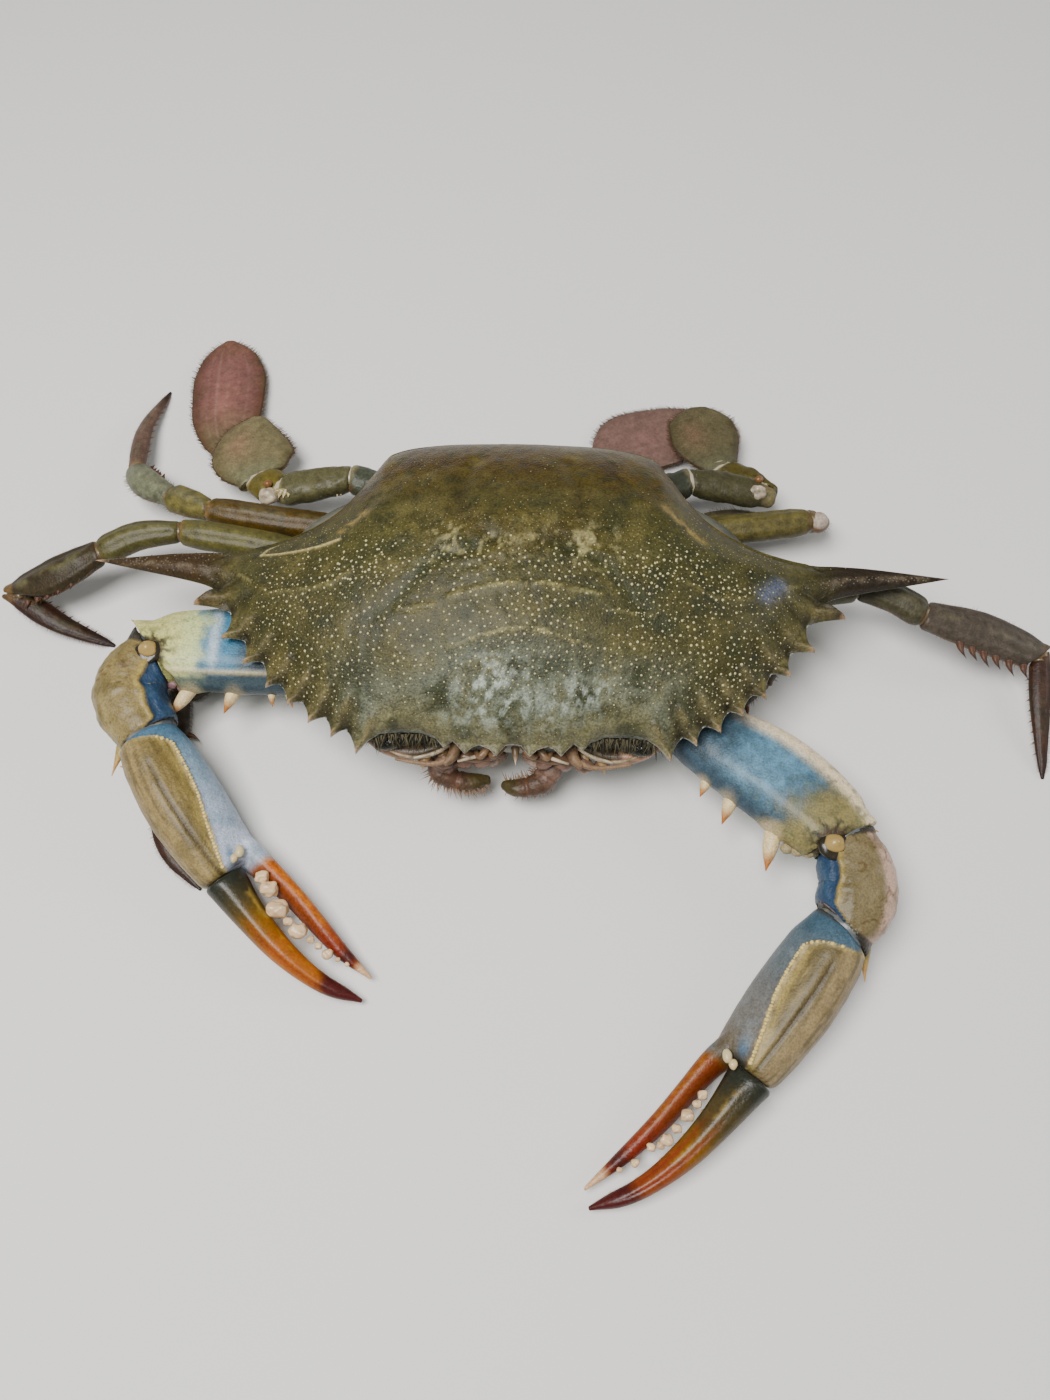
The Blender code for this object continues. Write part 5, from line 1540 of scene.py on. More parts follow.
@dataclass
class Limb:
    """A jointed limb: named segments parted at their joints, with soft membrane in each joint."""

    prefix: str
    rods: dict[str, Rod]
    painter: Painter
    finishes: dict[str, tuple[ShellFinish, Slot]]
    planes: dict[str, Plane] = field(default_factory=dict)
    reach: float = 1.6
    pitch: float = 0.34
    membrane: Colour = (0.095, 0.068, 0.038)
    sleeve: float = 0.9
    extras: dict[str, list[Skin]] = field(default_factory=dict)

    def cuts(self, segment: str) -> list[Plane]:
        """The cuts of one segment, each half a gap clear of the joint.

        Args:
            segment: Which one.

        Returns:
            Points and kept directions.
        """
        names = list(self.rods)
        index = names.index(segment)
        found: list[Plane] = []
        if index:
            place, normal = self.plane(names[index - 1], segment)
            normal = unit(normal)
            found.append((np.asarray(place) + normal * GAP / 2, normal))
        if index < len(names) - 1:
            place, normal = self.plane(segment, names[index + 1])
            normal = unit(normal)
            found.append((np.asarray(place) - normal * GAP / 2, -normal))
        return found

    def plane(self, before: str, after: str) -> Plane:
        """Point and direction of the cut between two segments."""
        return self.planes.get(after) or joint_plane(self.rods[before], self.rods[after])

    def skin(self, segment: str) -> Skin:
        """The painted surface of one segment.

        Args:
            segment: Which one.

        Returns:
            The surface.
        """
        names = list(self.rods)
        index = names.index(segment)
        reach = (self.reach if index else 0.0, self.reach if index < len(names) - 1 else 0.0)
        skin = self.rods[segment].skin(self.pitch, reach, self.cuts(segment))
        self.painter(skin, segment)
        return skin

    def build(self) -> None:
        """Makes every segment, then the membranes."""
        for segment in self.rods:
            self.build_segment(segment)
        self.build_membranes()

    def build_segment(self, segment: str) -> None:
        """Makes one segment with what grows on it."""
        piece = Piece(f"{self.prefix}_{segment}_shell")
        piece.add(self.skin(segment), *self.extras.get(segment, []))
        piece.make(*self.finishes[segment], [f"{self.prefix}_{segment}"])

    def build_membranes(self) -> None:
        """Short wrinkled sleeves inside the joints."""
        names = list(self.rods)
        piece = Piece(self.prefix + "_membranes")
        for before, after in zip(names[:-1], names[1:]):
            place, _ = self.plane(before, after)
            near, far = self.rods[before], self.rods[after]
            half = [min(near.half(column, 1.0), far.half(column, 0.0)) * self.sleeve for column in (1, 2)]
            path = [near.centre(np.array([0.93]))[0], np.asarray(place, float),
                    far.centre(np.array([0.07]))[0]]
            sleeve = Rod([tuple(p) for p in path], [(0, half[0], half[1]), (1, half[0], half[1])], far.side)
            skin = sleeve.skin(0.3)
            skin.raised(0.12 * np.sin(skin.t * sleeve.length * 7) + 0.08 * Grain(1.0, 4).at(skin.points))
            skin.fill(self.membrane).lay(Tone.CREAM, 0.3 * step(Grain(1.4, 6).at(skin.points), 0.1, 0.8))
            piece.add(skin)
        piece.make(SOFT, Slot.MEMBRANE)


class ShellPaint:
    """Painters of the limbs."""

    @staticmethod
    def under(skin: Skin, colour: Colour, strength: float = 0.8) -> None:
        """Pale underside."""
        skin.lay(colour, strength * step(skin.normals[:, 2], -0.15, -0.75))

    @staticmethod
    def collar(skin: Skin, colour: Colour, strength: float = 0.7) -> None:
        """Paler rim at the far end of a segment."""
        skin.lay(colour, strength * step(skin.t, 0.955, 1.0))
        skin.lay(colour, 0.5 * strength * step(skin.t, 0.035, -0.02))


@dataclass
class WalkingPaint:
    """Colours of a walking leg, from the body out."""

    merus: Colour = (0.15, 0.13, 0.052)
    carpus: Colour = (0.12, 0.105, 0.048)
    propodus: Colour = (0.07, 0.06, 0.035)
    dactyl: Colour = (0.05, 0.024, 0.014)
    ridge: Colour = (0.26, 0.24, 0.13)
    collar: Colour = (0.34, 0.2, 0.08)
    tip: Colour = (0.02, 0.01, 0.008)

    def __call__(self, skin: Skin, segment: str) -> None:
        """Paints and shapes one segment.

        Args:
            skin: Its surface.
            segment: Its name.
        """
        tones = {"coxa": (0.2, 0.21, 0.15), "merus": self.merus, "carpus": self.carpus,
                 "propodus": self.propodus, "dactyl": self.dactyl}
        grain = Grain(2.4, 30).layered(skin.points)
        keel = ribs(skin.angle, (90.0, 270.0), 14)
        if segment == "dactyl":
            lift = -0.08 * ribs(skin.angle, (50, 130, 230, 310), 15)
        else:
            lift = 0.2 * keel - 0.18 * ribs(skin.angle, (58, 122), 13)
        inner = step(skin.t, 0.02, 0.12) * step(skin.t, 0.99, 0.88)
        skin.raised(lift * inner + 0.05 * grain * inner)
        skin.fill(tones[segment])
        share = {"merus": 0.22, "dactyl": 0.15}.get(segment, 0.45)
        skin.lay(self.ridge, share * keel * inner * step(grain, -0.7, 0.5))
        skin.lay((0.022, 0.02, 0.01), 0.45 * step(grain, 0.1, 0.9))
        ShellPaint.under(skin, (0.36, 0.38, 0.34), 0.6 if segment in ("coxa", "merus", "carpus") else 0.25)
        if segment == "dactyl":
            skin.lay(self.tip, step(skin.t, 0.7, 0.97))
            skin.lay(self.collar, 0.5 * step(skin.t, 0.1, 0.0))
        else:
            ShellPaint.collar(skin, self.collar)
        skin.speckle(0.9, 12, 0.26)
        skin.gloss[:] = 0.1


@dataclass
class WalkingLeg:
    """One walking leg with the spines and bristles of its last two segments."""

    prefix: str
    joints: Sequence[Point]
    girths: dict[str, Keys]
    bows: dict[str, Point] = field(default_factory=dict)
    broad: dict[str, float] = field(default_factory=dict)
    spiny: dict[str, Point] = field(default_factory=dict)
    paint: WalkingPaint = field(default_factory=WalkingPaint)
    special: dict[str, Rod] = field(default_factory=dict)
    spine_reach: float = 2.4
    spine_radius: float = 0.55
    spine_colours: tuple[Colour, Colour] = ((0.105, 0.052, 0.03), (0.13, 0.075, 0.045))
    spine_places: Sequence[float] = (0.36, 0.5, 0.62, 0.74, 0.86)
    pearl: Point | None = None
    bristles: Sequence[tuple[str, int, float]] = (
        ("carpus", 26, 0.9), ("propodus", 60, 1.1), ("dactyl", 80, 0.8))

    def pearl_skin(self, place: Point) -> Skin:
        """The pearly knob on a bent wrist, brown below."""
        pearl = knob(place, (1.9, 2.2, 2.1), (0.42, 0.36, 0.31), 97, 0.08)
        pearl.lay((0.3, 0.2, 0.19), 0.7 * step(Grain(1.3, 98).layered(pearl.points), 0.0, 0.7))
        return pearl.lay((0.12, 0.062, 0.026), 0.9 * step(pearl.normals[:, 2], 0.5, 0.15))

    def spine_row(self, rod: Rod, facing: Point, segment: str) -> list[Skin]:
        """Curved spines along the edge of a segment that faces a direction.

        Args:
            rod: The segment's rod.
            facing: The direction.
            segment: The segment's name.

        Returns:
            The spines.
        """
        angle = 0.0 if np.dot(rod.broadside(0.5), facing) >= 0 else 180.0
        small = segment == "dactyl"
        places = np.linspace(0.2, 0.8, 8) if small else np.array(self.spine_places)
        skins: list[Skin] = []
        for index, t in enumerate(places):
            spot, outward = rod.spot(float(t), angle, -0.5)
            along = rod.heading(t)
            size = (0.9 if small else self.spine_reach) * (1 - 0.16 * (index % 2))
            tip = spot + unit(outward + 0.45 * along) * (size + 0.5)
            radius = 0.22 if small else self.spine_radius
            skins.append(thorn(spot, tip, radius, *self.spine_colours, 0.8, tuple(-along * 0.12 * size)))
        return skins

    def build(self, fringe: Fringe) -> None:
        """Makes the leg and adds its bristles to a fringe.

        Args:
            fringe: The fringe of all the walking legs.
        """
        rods = straight_rods(self.joints, self.girths, self.bows, self.broad)
        rods.update(self.special)
        finishes = {segment: (SMOOTH_SHELL, Slot.LEG) for segment in SEGMENTS}
        extras = {segment: self.spine_row(rods[segment], facing, segment)
                  for segment, facing in self.spiny.items()}
        if self.pearl:
            extras["carpus"] = [self.pearl_skin(self.pearl)]
        Limb(self.prefix, rods, self.paint, finishes, extras=extras, pitch=0.3).build()
        for (segment, count, reach), angle in itertools.product(self.bristles, EDGES):
            fringe.row(rods[segment], angle, (0.08, 0.94), count, reach, (0.16, 0.075, 0.03),
                       seed=int(angle) + count)


def walking_legs() -> list[WalkingLeg]:
    """The six walking legs, as they lie in the picture.

    Returns:
        The legs.
    """
    frontward, rearward, rightward, leftward = (0, -1, 0), (0, 1, 0), (-1, 0, 0), (1, 0, 0)
    slate = WalkingPaint(propodus=(0.058, 0.047, 0.037), carpus=(0.048, 0.044, 0.026),
                         merus=(0.06, 0.056, 0.028), ridge=(0.12, 0.108, 0.075), collar=(0.09, 0.062, 0.04),
                         dactyl=(0.03, 0.013, 0.008))
    bluish = WalkingPaint(propodus=(0.128, 0.134, 0.092), carpus=(0.12, 0.105, 0.042),
                          merus=(0.06, 0.038, 0.009), ridge=(0.24, 0.235, 0.16), dactyl=(0.105, 0.07, 0.056),
                          collar=(0.19, 0.125, 0.065))
    brownish = WalkingPaint(propodus=(0.028, 0.02, 0.009), carpus=(0.066, 0.06, 0.024),
                            merus=(0.086, 0.078, 0.03), ridge=(0.21, 0.2, 0.115),
                            dactyl=(0.02, 0.008, 0.004), collar=(0.15, 0.095, 0.048))
    dark_spines = ((0.072, 0.035, 0.022), (0.03, 0.012, 0.009))
    return [
        WalkingLeg(
            "leg2_right",
            joints=[(-19.5, -4.0, 5.4), (-29.0, -3.4, 3.6), (-55.0, -6.8, 2.8), (-66.0, -14.6, 2.2),
                    (-66.0, -38.5, 1.8), (-56.3, -53.0, 0.2)],
            girths=FLAT_GIRTH, bows={"dactyl": (-1.6, -0.8, 0.3), "propodus": (0.4, 0, 0)},
            spiny={"propodus": leftward}, paint=slate),
        WalkingLeg(
            "leg3_right",
            joints=[(-19.5, 5.0, 6.4), (-33.0, 10.5, 9.0), (-67.6, 16.0, 13.0), (-83.3, 11.8, 11.5),
                    (-101.2, 5.3, 5.5), (-81.5, -3.1, 0.2)],
            girths=WALKING_GIRTH,
            bows={"merus": (0, 0.6, 0.8), "carpus": (-0.4, 1.0, 0.6), "propodus": (-0.3, -0.6, 0.1),
                  "dactyl": (-0.8, -1.0, 0.4)},
            broad={"propodus": 1.25, "dactyl": 1.3}, spiny={"propodus": frontward, "dactyl": rearward},
            paint=brownish, spine_reach=1.0, spine_colours=dark_spines),
        WalkingLeg(
            "leg4_right",
            joints=[(-19.5, 15.0, 6.8), (-33.0, 20.0, 9.0), (-63.4, 22.8, 11.0), (-72.5, 27.3, 9.0),
                    (-82.9, 37.1, 5.0), (-81.2, 62.6, 0.2)],
            girths=WALKING_GIRTH,
            bows={"merus": (0, -0.8, 0.6), "propodus": (-1.2, -0.6, 0.6), "dactyl": (-1.6, 0, 0.6)},
            spiny={"propodus": leftward, "dactyl": leftward}, paint=bluish,
            spine_reach=1.2, spine_colours=dark_spines),
        WalkingLeg(
            "leg2_left",
            joints=[(19.5, -4.0, 6.0), (27.0, -4.4, 7.0), (48.0, -1.5, 8.0), (46.6, -10.4, 5.8),
                    (34.8, -17.4, 3.0), (21.4, -22.4, 0.2)],
            girths=FLAT_GIRTH, bows={"dactyl": (0.6, -1.0, 0.2)}, spiny={"propodus": leftward},
            paint=slate),
        WalkingLeg(
            "leg3_left",
            joints=[(19.5, 5.0, 6.4), (33.0, 7.0, 9.0), (65.2, 6.4, 12.6), (77.7, 1.6, 11.5),
                    (101.1, -3.7, 6.0), (99.9, -27.0, 0.2)],
            girths=WALKING_GIRTH,
            bows={"carpus": (0.4, 0.8, 0.4), "propodus": (0.4, 0.2, 0.4), "dactyl": (-0.3, 0, 0.4)},
            broad={"propodus": 1.36, "dactyl": 1.1}, spiny={"propodus": frontward, "dactyl": rightward},
            paint=slate, spine_reach=3.0, spine_radius=0.75, spine_colours=dark_spines,
            spine_places=(0.3, 0.4, 0.5, 0.61, 0.73, 0.86)),
        WalkingLeg(
            "leg4_left",
            joints=[(19.5, 15.0, 6.8), (33.0, 20.8, 9.0), (57.6, 24.3, 9.4), (50.5, 28.8, 2.3),
                    (37.5, 28.4, 2.1), (25.6, 18.0, 0.2)],
            girths=WALKING_GIRTH, bows={"merus": (0, -0.3, 0.4)},
            paint=WalkingPaint(merus=(0.086, 0.075, 0.032), carpus=(0.15, 0.115, 0.065),
                               ridge=(0.25, 0.22, 0.085), collar=(0.085, 0.055, 0.03)),
            special={"carpus": Rod([(57.8, 24.3, 9.4), (60.4, 25.8, 7.4), (60.2, 28.0, 4.2),
                                    (56.0, 28.8, 2.5), (50.5, 28.8, 2.3)],
                                   [(0, 2.5, 2.2), (0.3, 2.4, 1.7), (0.8, 2.4, 1.7), (1, 2.2, 1.6)]),
                     "propodus": Rod([(50.2, 28.8, 2.3), (44.0, 28.8, 2.2), (37.5, 28.4, 2.1)],
                                     FLAT_GIRTH["propodus"]),
                     "dactyl": Rod([(37.5, 28.4, 2.0), (31.5, 25.4, 1.4), (25.6, 18.0, 0.2)],
                                   FLAT_GIRTH["dactyl"])},
            pearl=(59.9, 24.0, 9.6)),
    ]


@dataclass
class SwimmingLeg:
    """A fifth leg: short thick joints, the flat arm and the oval paddle."""

    prefix: str
    joints: Sequence[Point]
    arm: Sequence[Point]
    arm_girth: Keys
    paddle: Sequence[Point]
    shade: float = 1.0
    knuckle: Point = (0, 0, 0)
    flaps: int = 16
    veins: Sequence[float] = (-0.52, -0.3, -0.1, 0.04, 0.12, 0.32, 0.55)
    bristles: Sequence[int] = (150, 110)

    def knuckle_skins(self) -> list[Skin]:
        """The pearly head of the thigh, the orange bead on it and ragged flaps of membrane round it.

        Returns:
            The surfaces.
        """
        x, y, z = self.knuckle
        side = math.copysign(1, x)
        skins = [knob((x, y, z), (2.1, 1.8, 1.5), (0.42, 0.36, 0.28), 95, 0.26).speckle(0.9, 99, 0.55),
                 knob((x + side * 0.4, y + 2.6, z + 0.8), (0.9, 0.8, 0.7), (0.17, 0.085, 0.04), 96, 0.1)]
        random = np.random.default_rng(14)
        for k in range(self.flaps):
            root = np.array([x - side * (1.5 + 0.85 * k), y + 1.3 + 0.1 * k, z + 0.5 - 0.03 * k])
            hang = [side * random.uniform(-0.6, 0.6), -random.uniform(0.8, 2.0), -random.uniform(0.2, 1)]
            tip = root + np.array(hang)
            skins.append(thorn(root, tip, 0.8, (0.3, 0.25, 0.13), (0.5, 0.42, 0.25), flat=0.35))
        return skins

    def paint(self, skin: Skin, segment: str) -> None:
        """Paints and shapes one segment.

        Args:
            skin: Its surface.
            segment: Its name.
        """
        grain = Grain(2.2, 33).layered(skin.points)
        across = np.cos(np.radians(skin.angle))
        rim = step(np.abs(across), 0.955, 0.995)
        if segment == "propodus":
            skin.raised(0.06 * grain)
            skin.fill((0.148, 0.13, 0.078))
            skin.lay((0.27, 0.165, 0.115), 0.5 * hump(across, 0.35, 0.35) * hump(skin.t, 0.55, 0.22))
            skin.lay((0.15, 0.155, 0.1), 0.6 * step(skin.t, 0.35, 0.0))
            skin.lay((0.075, 0.06, 0.03), 0.6 * step(np.abs(across), 0.6, 0.97))
            skin.lay((0.055, 0.035, 0.015), 0.85 * rim)
        elif segment == "dactyl":
            veins = sum(hump(across, place, 0.018) for place in self.veins)
            skin.raised(0.07 * veins * step(skin.t, 0.05, 0.2) * step(skin.t, 0.98, 0.85) + 0.04 * grain)
            skin.fill((0.15, 0.078, 0.069))
            skin.lay((0.26, 0.13, 0.112), 0.6 * hump(across, 0.1, 0.4) * hump(skin.t, 0.45, 0.3))
            skin.lay((0.125, 0.108, 0.062), 0.85 * step(skin.t + 0.06 * grain, 0.5, 0.08))
            skin.lay((0.07, 0.036, 0.022), 0.75 * step(np.abs(across), 0.58, 0.97))
            skin.lay((0.32, 0.22, 0.19), 0.4 * veins)
            skin.lay((0.13, 0.07, 0.045), 0.6 * step(skin.t, 0.78, 1.0))
            skin.lay((0.03, 0.018, 0.01), 0.95 * rim)
        else:
            skin.raised(0.24 * grain)
            tones = {"coxa": (0.052, 0.058, 0.04), "merus": (0.082, 0.077, 0.042)}
            skin.fill(tones.get(segment, (0.105, 0.086, 0.028)))
            skin.lay(Tone.CREAM, 0.28 * step(skin.t, 0.93, 1.0))
            skin.lay((0.26, 0.1, 0.05), 0.35 * step(grain, 0.4, 1.0) * (segment == "coxa"))
        skin.lay(Tone.DARK_OLIVE, 0.3 * step(grain, 0.2, 1.0))
        ShellPaint.under(skin, (0.42, 0.42, 0.38), 0.4)
        if segment == "dactyl" and self.shade < 1:
            skin.lay((0.3, 0.205, 0.18), 0.55)
        skin.colour *= self.shade
        skin.speckle(0.8, 19, 0.15)
        skin.gloss[:] = 0.15

    def build(self, fringe: Fringe) -> None:
        """Makes the leg and adds its bristles to a fringe.

        Args:
            fringe: The fringe of both swimming legs.
        """
        rods = straight_rods(self.joints, SWIM_GIRTH)
        rods["propodus"] = Rod(self.arm, self.arm_girth, squareness=2.0)
        finishes = {segment: (SMOOTH_SHELL, Slot.LEG) for segment in SEGMENTS}
        Limb(self.prefix, rods, self.paint, finishes, membrane=(0.42, 0.38, 0.3)).build()
        Piece(self.prefix + "_knuckle").add(*self.knuckle_skins()).make(SOFT, Slot.MEMBRANE)
        paddle = Rod(self.paddle, SWIM_GIRTH["dactyl"], squareness=2.0)
        skin = paddle.skin(0.32)
        self.paint(skin, "dactyl")
        Piece(self.prefix + "_paddle").add(skin).make(THIN_SHELL, Slot.PADDLE, [self.prefix + "_dactyl"])
        for (rod, count), angle in itertools.product(zip((paddle, rods["propodus"]), self.bristles), EDGES):
            fringe.row(rod, angle, (0.04, 0.99), count, 1.15, (0.07, 0.036, 0.016), lean=0.7, wander=3.0,
                       seed=count + int(angle))


def swimming_legs() -> list[SwimmingLeg]:
    """Both swimming legs, as they lie in the picture.

    Returns:
        The right leg and the left one.
    """
    return [
        SwimmingLeg(
            "swim_right",
            joints=[(-19.0, 26.0, 9.0), (-35.4, 31.4, 11.0), (-50.0, 29.4, 9.2), (-55.6, 33.0, 7.4)],
            arm=[(-55.6, 33.0, 7.4), (-57.8, 39.0, 6.2), (-58.9, 45.4, 5.2), (-58.8, 52.2, 4.4)],
            arm_girth=ROUND_ARM,
            paddle=[(-64.4, 42.6, 3.8), (-66.4, 53.0, 2.8), (-67.6, 65.0, 1.9), (-69.4, 77.2, 1.2)],
            knuckle=(-51.9, 26.6, 10.9)),
        SwimmingLeg(
            "swim_left",
            joints=[(19.0, 26.0, 9.0), (34.0, 32.8, 10.4), (49.4, 32.5, 7.6), (41.4, 38.6, 6.8)],
            arm=[(41.4, 38.6, 6.8), (38.6, 48.0, 5.4), (37.4, 57.0, 4.8)],
            arm_girth=SWIM_GIRTH["propodus"],
            paddle=[(42.2, 53.6, 3.7), (32.0, 51.6, 2.6), (22.6, 49.6, 1.7), (14.8, 47.6, 1.2)],
            shade=0.62, knuckle=(48.0, 31.4, 9.4)),
    ]


@dataclass
class Claw:
    """A chela: arm, wrist, hand with its fixed finger, moving finger, spines, teeth and hinges."""

    prefix: str
    joints: Sequence[Point]
    carpus_bow: Point
    merus_bow: Point
    palm: Sequence[Point]
    pollex: Sequence[Point]
    dactyl: Sequence[Point]
    roll: Point
    carpus_roll: Point
    palm_cut: Point
    merus_spines: Sequence[tuple[Point, Point, float]]
    scallops: Sequence[Point]
    back_spine: tuple[Point, Point]
    carpus_spine: tuple[Point, Point]
    palm_spine: tuple[Point, Point]
    molars: Sequence[tuple[float, float, float, float]]
    condyle: Point
    hinge: Point
    sign: int
    reach: float = 4.5
    pitch: float = 0.32
    membrane: Colour = (0.1, 0.11, 0.12)
    voxel: float = 0.34
    smoothing: int = 5
    bead_count: int = 44
    finger_teeth: int = 13
    border_keys: Keys = field(default_factory=lambda: [
        (0.02, 1.0), (0.06, 0.5), (0.1, 0.12), (0.18, -0.12), (0.5, -0.02), (0.75, 0.22), (1.0, 0.5)])

    @property
    def palm_rod(self) -> Rod:
        """The hand without its finger."""
        return Rod(self.palm, CLAW_GIRTH["propodus"], self.roll)

    @property
    def pollex_rod(self) -> Rod:
        """The fixed finger."""
        return Rod(self.pollex, POLLEX_GIRTH, self.roll)

    @property
    def finger_rod(self) -> Rod:
        """The moving finger."""
        return Rod(self.dactyl, CLAW_GIRTH["dactyl"], self.roll)

    def make_rods(self) -> dict[str, Rod]:
        """Rods of every segment but the fingers.

        Returns:
            The rods by segment.
        """
        rods = straight_rods(self.joints, CLAW_GIRTH, {"merus": self.merus_bow, "carpus": self.carpus_bow})
        rods["carpus"].side = self.carpus_roll
        rods["propodus"] = self.palm_rod
        return rods

    def limb(self, finishes: dict[str, tuple[ShellFinish, Slot]], extras: dict[str, list[Skin]]) -> Limb:
        """The claw as a jointed limb, without its moving finger."""
        return Limb(self.prefix, self.make_rods(), self.paint, finishes,
                    {"propodus": (self.joints[3], self.palm_cut)}, self.reach, self.pitch, self.membrane,
                    extras=extras)

    def paint(self, skin: Skin, segment: str) -> None:
        """Paints and shapes one segment.

        Args:
            skin: Its surface.
            segment: Its name.
        """
        {"coxa": self.paint_coxa, "merus": self.paint_merus, "carpus": self.paint_carpus,
         "propodus": self.paint_palm}[segment](skin)
        skin.speckle(0.8, 23, 0.1)

    def paint_coxa(self, skin: Skin) -> None:
        """Pale blue hip."""
        skin.fill(Tone.SKY).lay(Tone.STEEL, 0.5)
        ShellPaint.under(skin, Tone.PALE)

    def paint_merus(self, skin: Skin) -> None:
        """Arm: steel blue by the body, a painted highlight as a pale gleam, then olive yellow with fine veins
        towards the wrist.

        Args:
            skin: Its surface.
        """
        merus = self.make_rods()["merus"]
        grain = Grain(3.0, 50).layered(skin.points)
        patch = Grain(1.3, 51).layered(skin.points)
        veins = np.abs(Grain(2.6, 52).layered(skin.points, 2))
        front = -np.sign(merus.broadside(0.5)[1]) * np.cos(np.radians(skin.angle))
        t = skin.t + 0.05 * grain
        skin.raised(0.06 * grain - 1.0 * step(front, 0.35, 0.9) * hump(skin.t, 0.7, 0.35))
        ridge = hump(front, 0.66, 0.05) * step(skin.t, 0.3, 0.45) * step(skin.t, 1.0, 0.93) * (self.sign > 0)
        skin.raised(0.28 * ridge * step(skin.normals[:, 2], 0.0, 0.3))
        skin.fill((0.04, 0.062, 0.08)).lay((0.062, 0.098, 0.13), 0.6 * step(patch, -0.3, 0.9))
        if self.sign > 0:
            skin.lay((0.085, 0.215, 0.33), 0.9 * step(skin.t, 0.5, 0.6) * step(front, 0.85, 0.4))
            # Painted highlight: a narrow pale ice-blue gleam across the arm.
            skin.lay(Tone.ICE, 0.8 * hump(skin.t + 0.01 * grain, 0.665, 0.024) * step(front, 0.8, 0.3))
            skin.lay((0.58, 0.63, 0.36), step(t, 0.66, 0.76))
            skin.lay((0.56, 0.5, 0.22), 0.6 * step(t, 0.76, 0.92))
            skin.lay((0.055, 0.075, 0.085), 0.85 * step(front, 0.72, 0.85) * step(t, 1.0, 0.85))
        else:
            light = step(t, 0.25, 0.5) * step(t, 0.85, 0.62) * step(front, 0.95, 0.4)
            skin.lay((0.165, 0.3, 0.405), light * (0.62 + 0.25 * patch.clip(-1, 1)))
            skin.lay((0.215, 0.188, 0.098), step(t + 0.08 * front, 0.7, 0.86))
            skin.lay((0.84, 0.72, 0.53), 0.97 * step(front, -0.34, -0.7) * step(t, 0.2, 0.45))
            skin.lay((0.1, 0.105, 0.06), 0.6 * step(patch, 0.1, 0.7) * step(t, 0.66, 0.8))
        skin.lay((0.13, 0.145, 0.08), 0.55 * step(veins, 0.05, 0.0) * step(t, 0.45, 0.6))
        skin.lay((0.62, 0.55, 0.36), 0.7 * ridge)
        ShellPaint.under(skin, Tone.PALE, 0.9)
        near = np.linalg.norm(skin.points - np.asarray(self.condyle), axis=1)
        x, y = (skin.points - np.asarray(self.condyle))[:, :2].T
        rays = np.abs(np.sin(4.5 * np.arctan2(y, x) + 1.5 * patch))
        skin.lay(Tone.BLACK, 0.9 * step(near, 6.5, 2.6) * step(rays, 0.85, 0.35))
        skin.lay((0.035, 0.022, 0.012), 0.9 * step(near, 3.6, 2.2))
        heading = merus.heading(1.0)
        skin.lay((0.045, 0.038, 0.026), 0.9 * step(skin.normals @ heading, 0.72, 0.9))
        for root, _, radius in self.merus_spines:
            near = np.linalg.norm(skin.points - np.asarray(root), axis=1)
            skin.raised(0.7 * hump(near, 0, 1.5 * radius))
            skin.lay((0.68, 0.56, 0.36), 0.7 * step(near, 2.6 * radius, 0.9 * radius))
        skin.gloss[:] = 0.1 + 0.12 * step(t, 0.7, 0.4)

    def paint_carpus(self, skin: Skin) -> None:
        """Wrist: olive tan outside with dark branching cracks, a deep blue strip inside.

        Args:
            skin: Its surface.
        """
        grain = Grain(2.6, 54).layered(skin.points)
        outward = skin.normals @ unit(np.array(self.carpus_roll, float)) + 0.04 * grain
        border = -0.3 if self.sign > 0 else -0.42
        pores = Grain(0.8, 56).layered(skin.points, 2)
        skin.raised(0.2 * grain + 0.09 * pores + 0.35 * hump(outward, border + 0.06, 0.05)
                    - 0.3 * hump(outward, border - 0.12, 0.09))
        skin.fill((0.024, 0.048, 0.092)).lay((0.06, 0.11, 0.16), 0.4 * step(grain, 0.0, 0.8))
        skin.lay((0.212, 0.17, 0.088) if self.sign > 0 else (0.16, 0.132, 0.078),
                 step(outward, border - 0.04, border + 0.04))
        facet, strength = ((0.56, 0.405, 0.335), 0.9) if self.sign < 0 else ((0.31, 0.26, 0.145), 0.6)
        skin.lay(facet, strength * step(outward, 0.36, 0.62))
        skin.lay((0.4, 0.31, 0.12), 0.55 * hump(outward, border + 0.08, 0.06))
        cracks = np.abs(Grain(6.0, 57).layered(skin.points, 3))
        skin.lay((0.07, 0.04, 0.016), 0.8 * step(cracks, 0.045, 0.0)
                 * step(outward, border + 0.1, border + 0.3))
        skin.raised(-0.08 * step(cracks, 0.05, 0.0) * step(outward, border + 0.1, border + 0.3))
        skin.lay((0.1, 0.08, 0.036), 0.6 * step(grain, 0.1, 0.9) * step(outward, border, border + 0.2))
        skin.lay(Tone.BLACK, 0.8 * step(skin.t, 0.97, 1.05) + 0.5 * step(skin.t, 0.03, -0.04))
        ShellPaint.under(skin, Tone.PALE, 0.7)
        skin.lay((0.03, 0.028, 0.024), 0.9 * step(skin.t, 0.025, -0.01) + 0.8 * step(skin.t, 0.985, 1.02))
        skin.gloss[:] = 0.12

    def panel_border(self, t: Array) -> Array:
        """Where the beaded ridge runs across the hand, from -1 at its inner side to 1 at its outer side."""
        return smooth_keys(self.border_keys, 1, t - (0.0 if self.sign > 0 else 0.05))

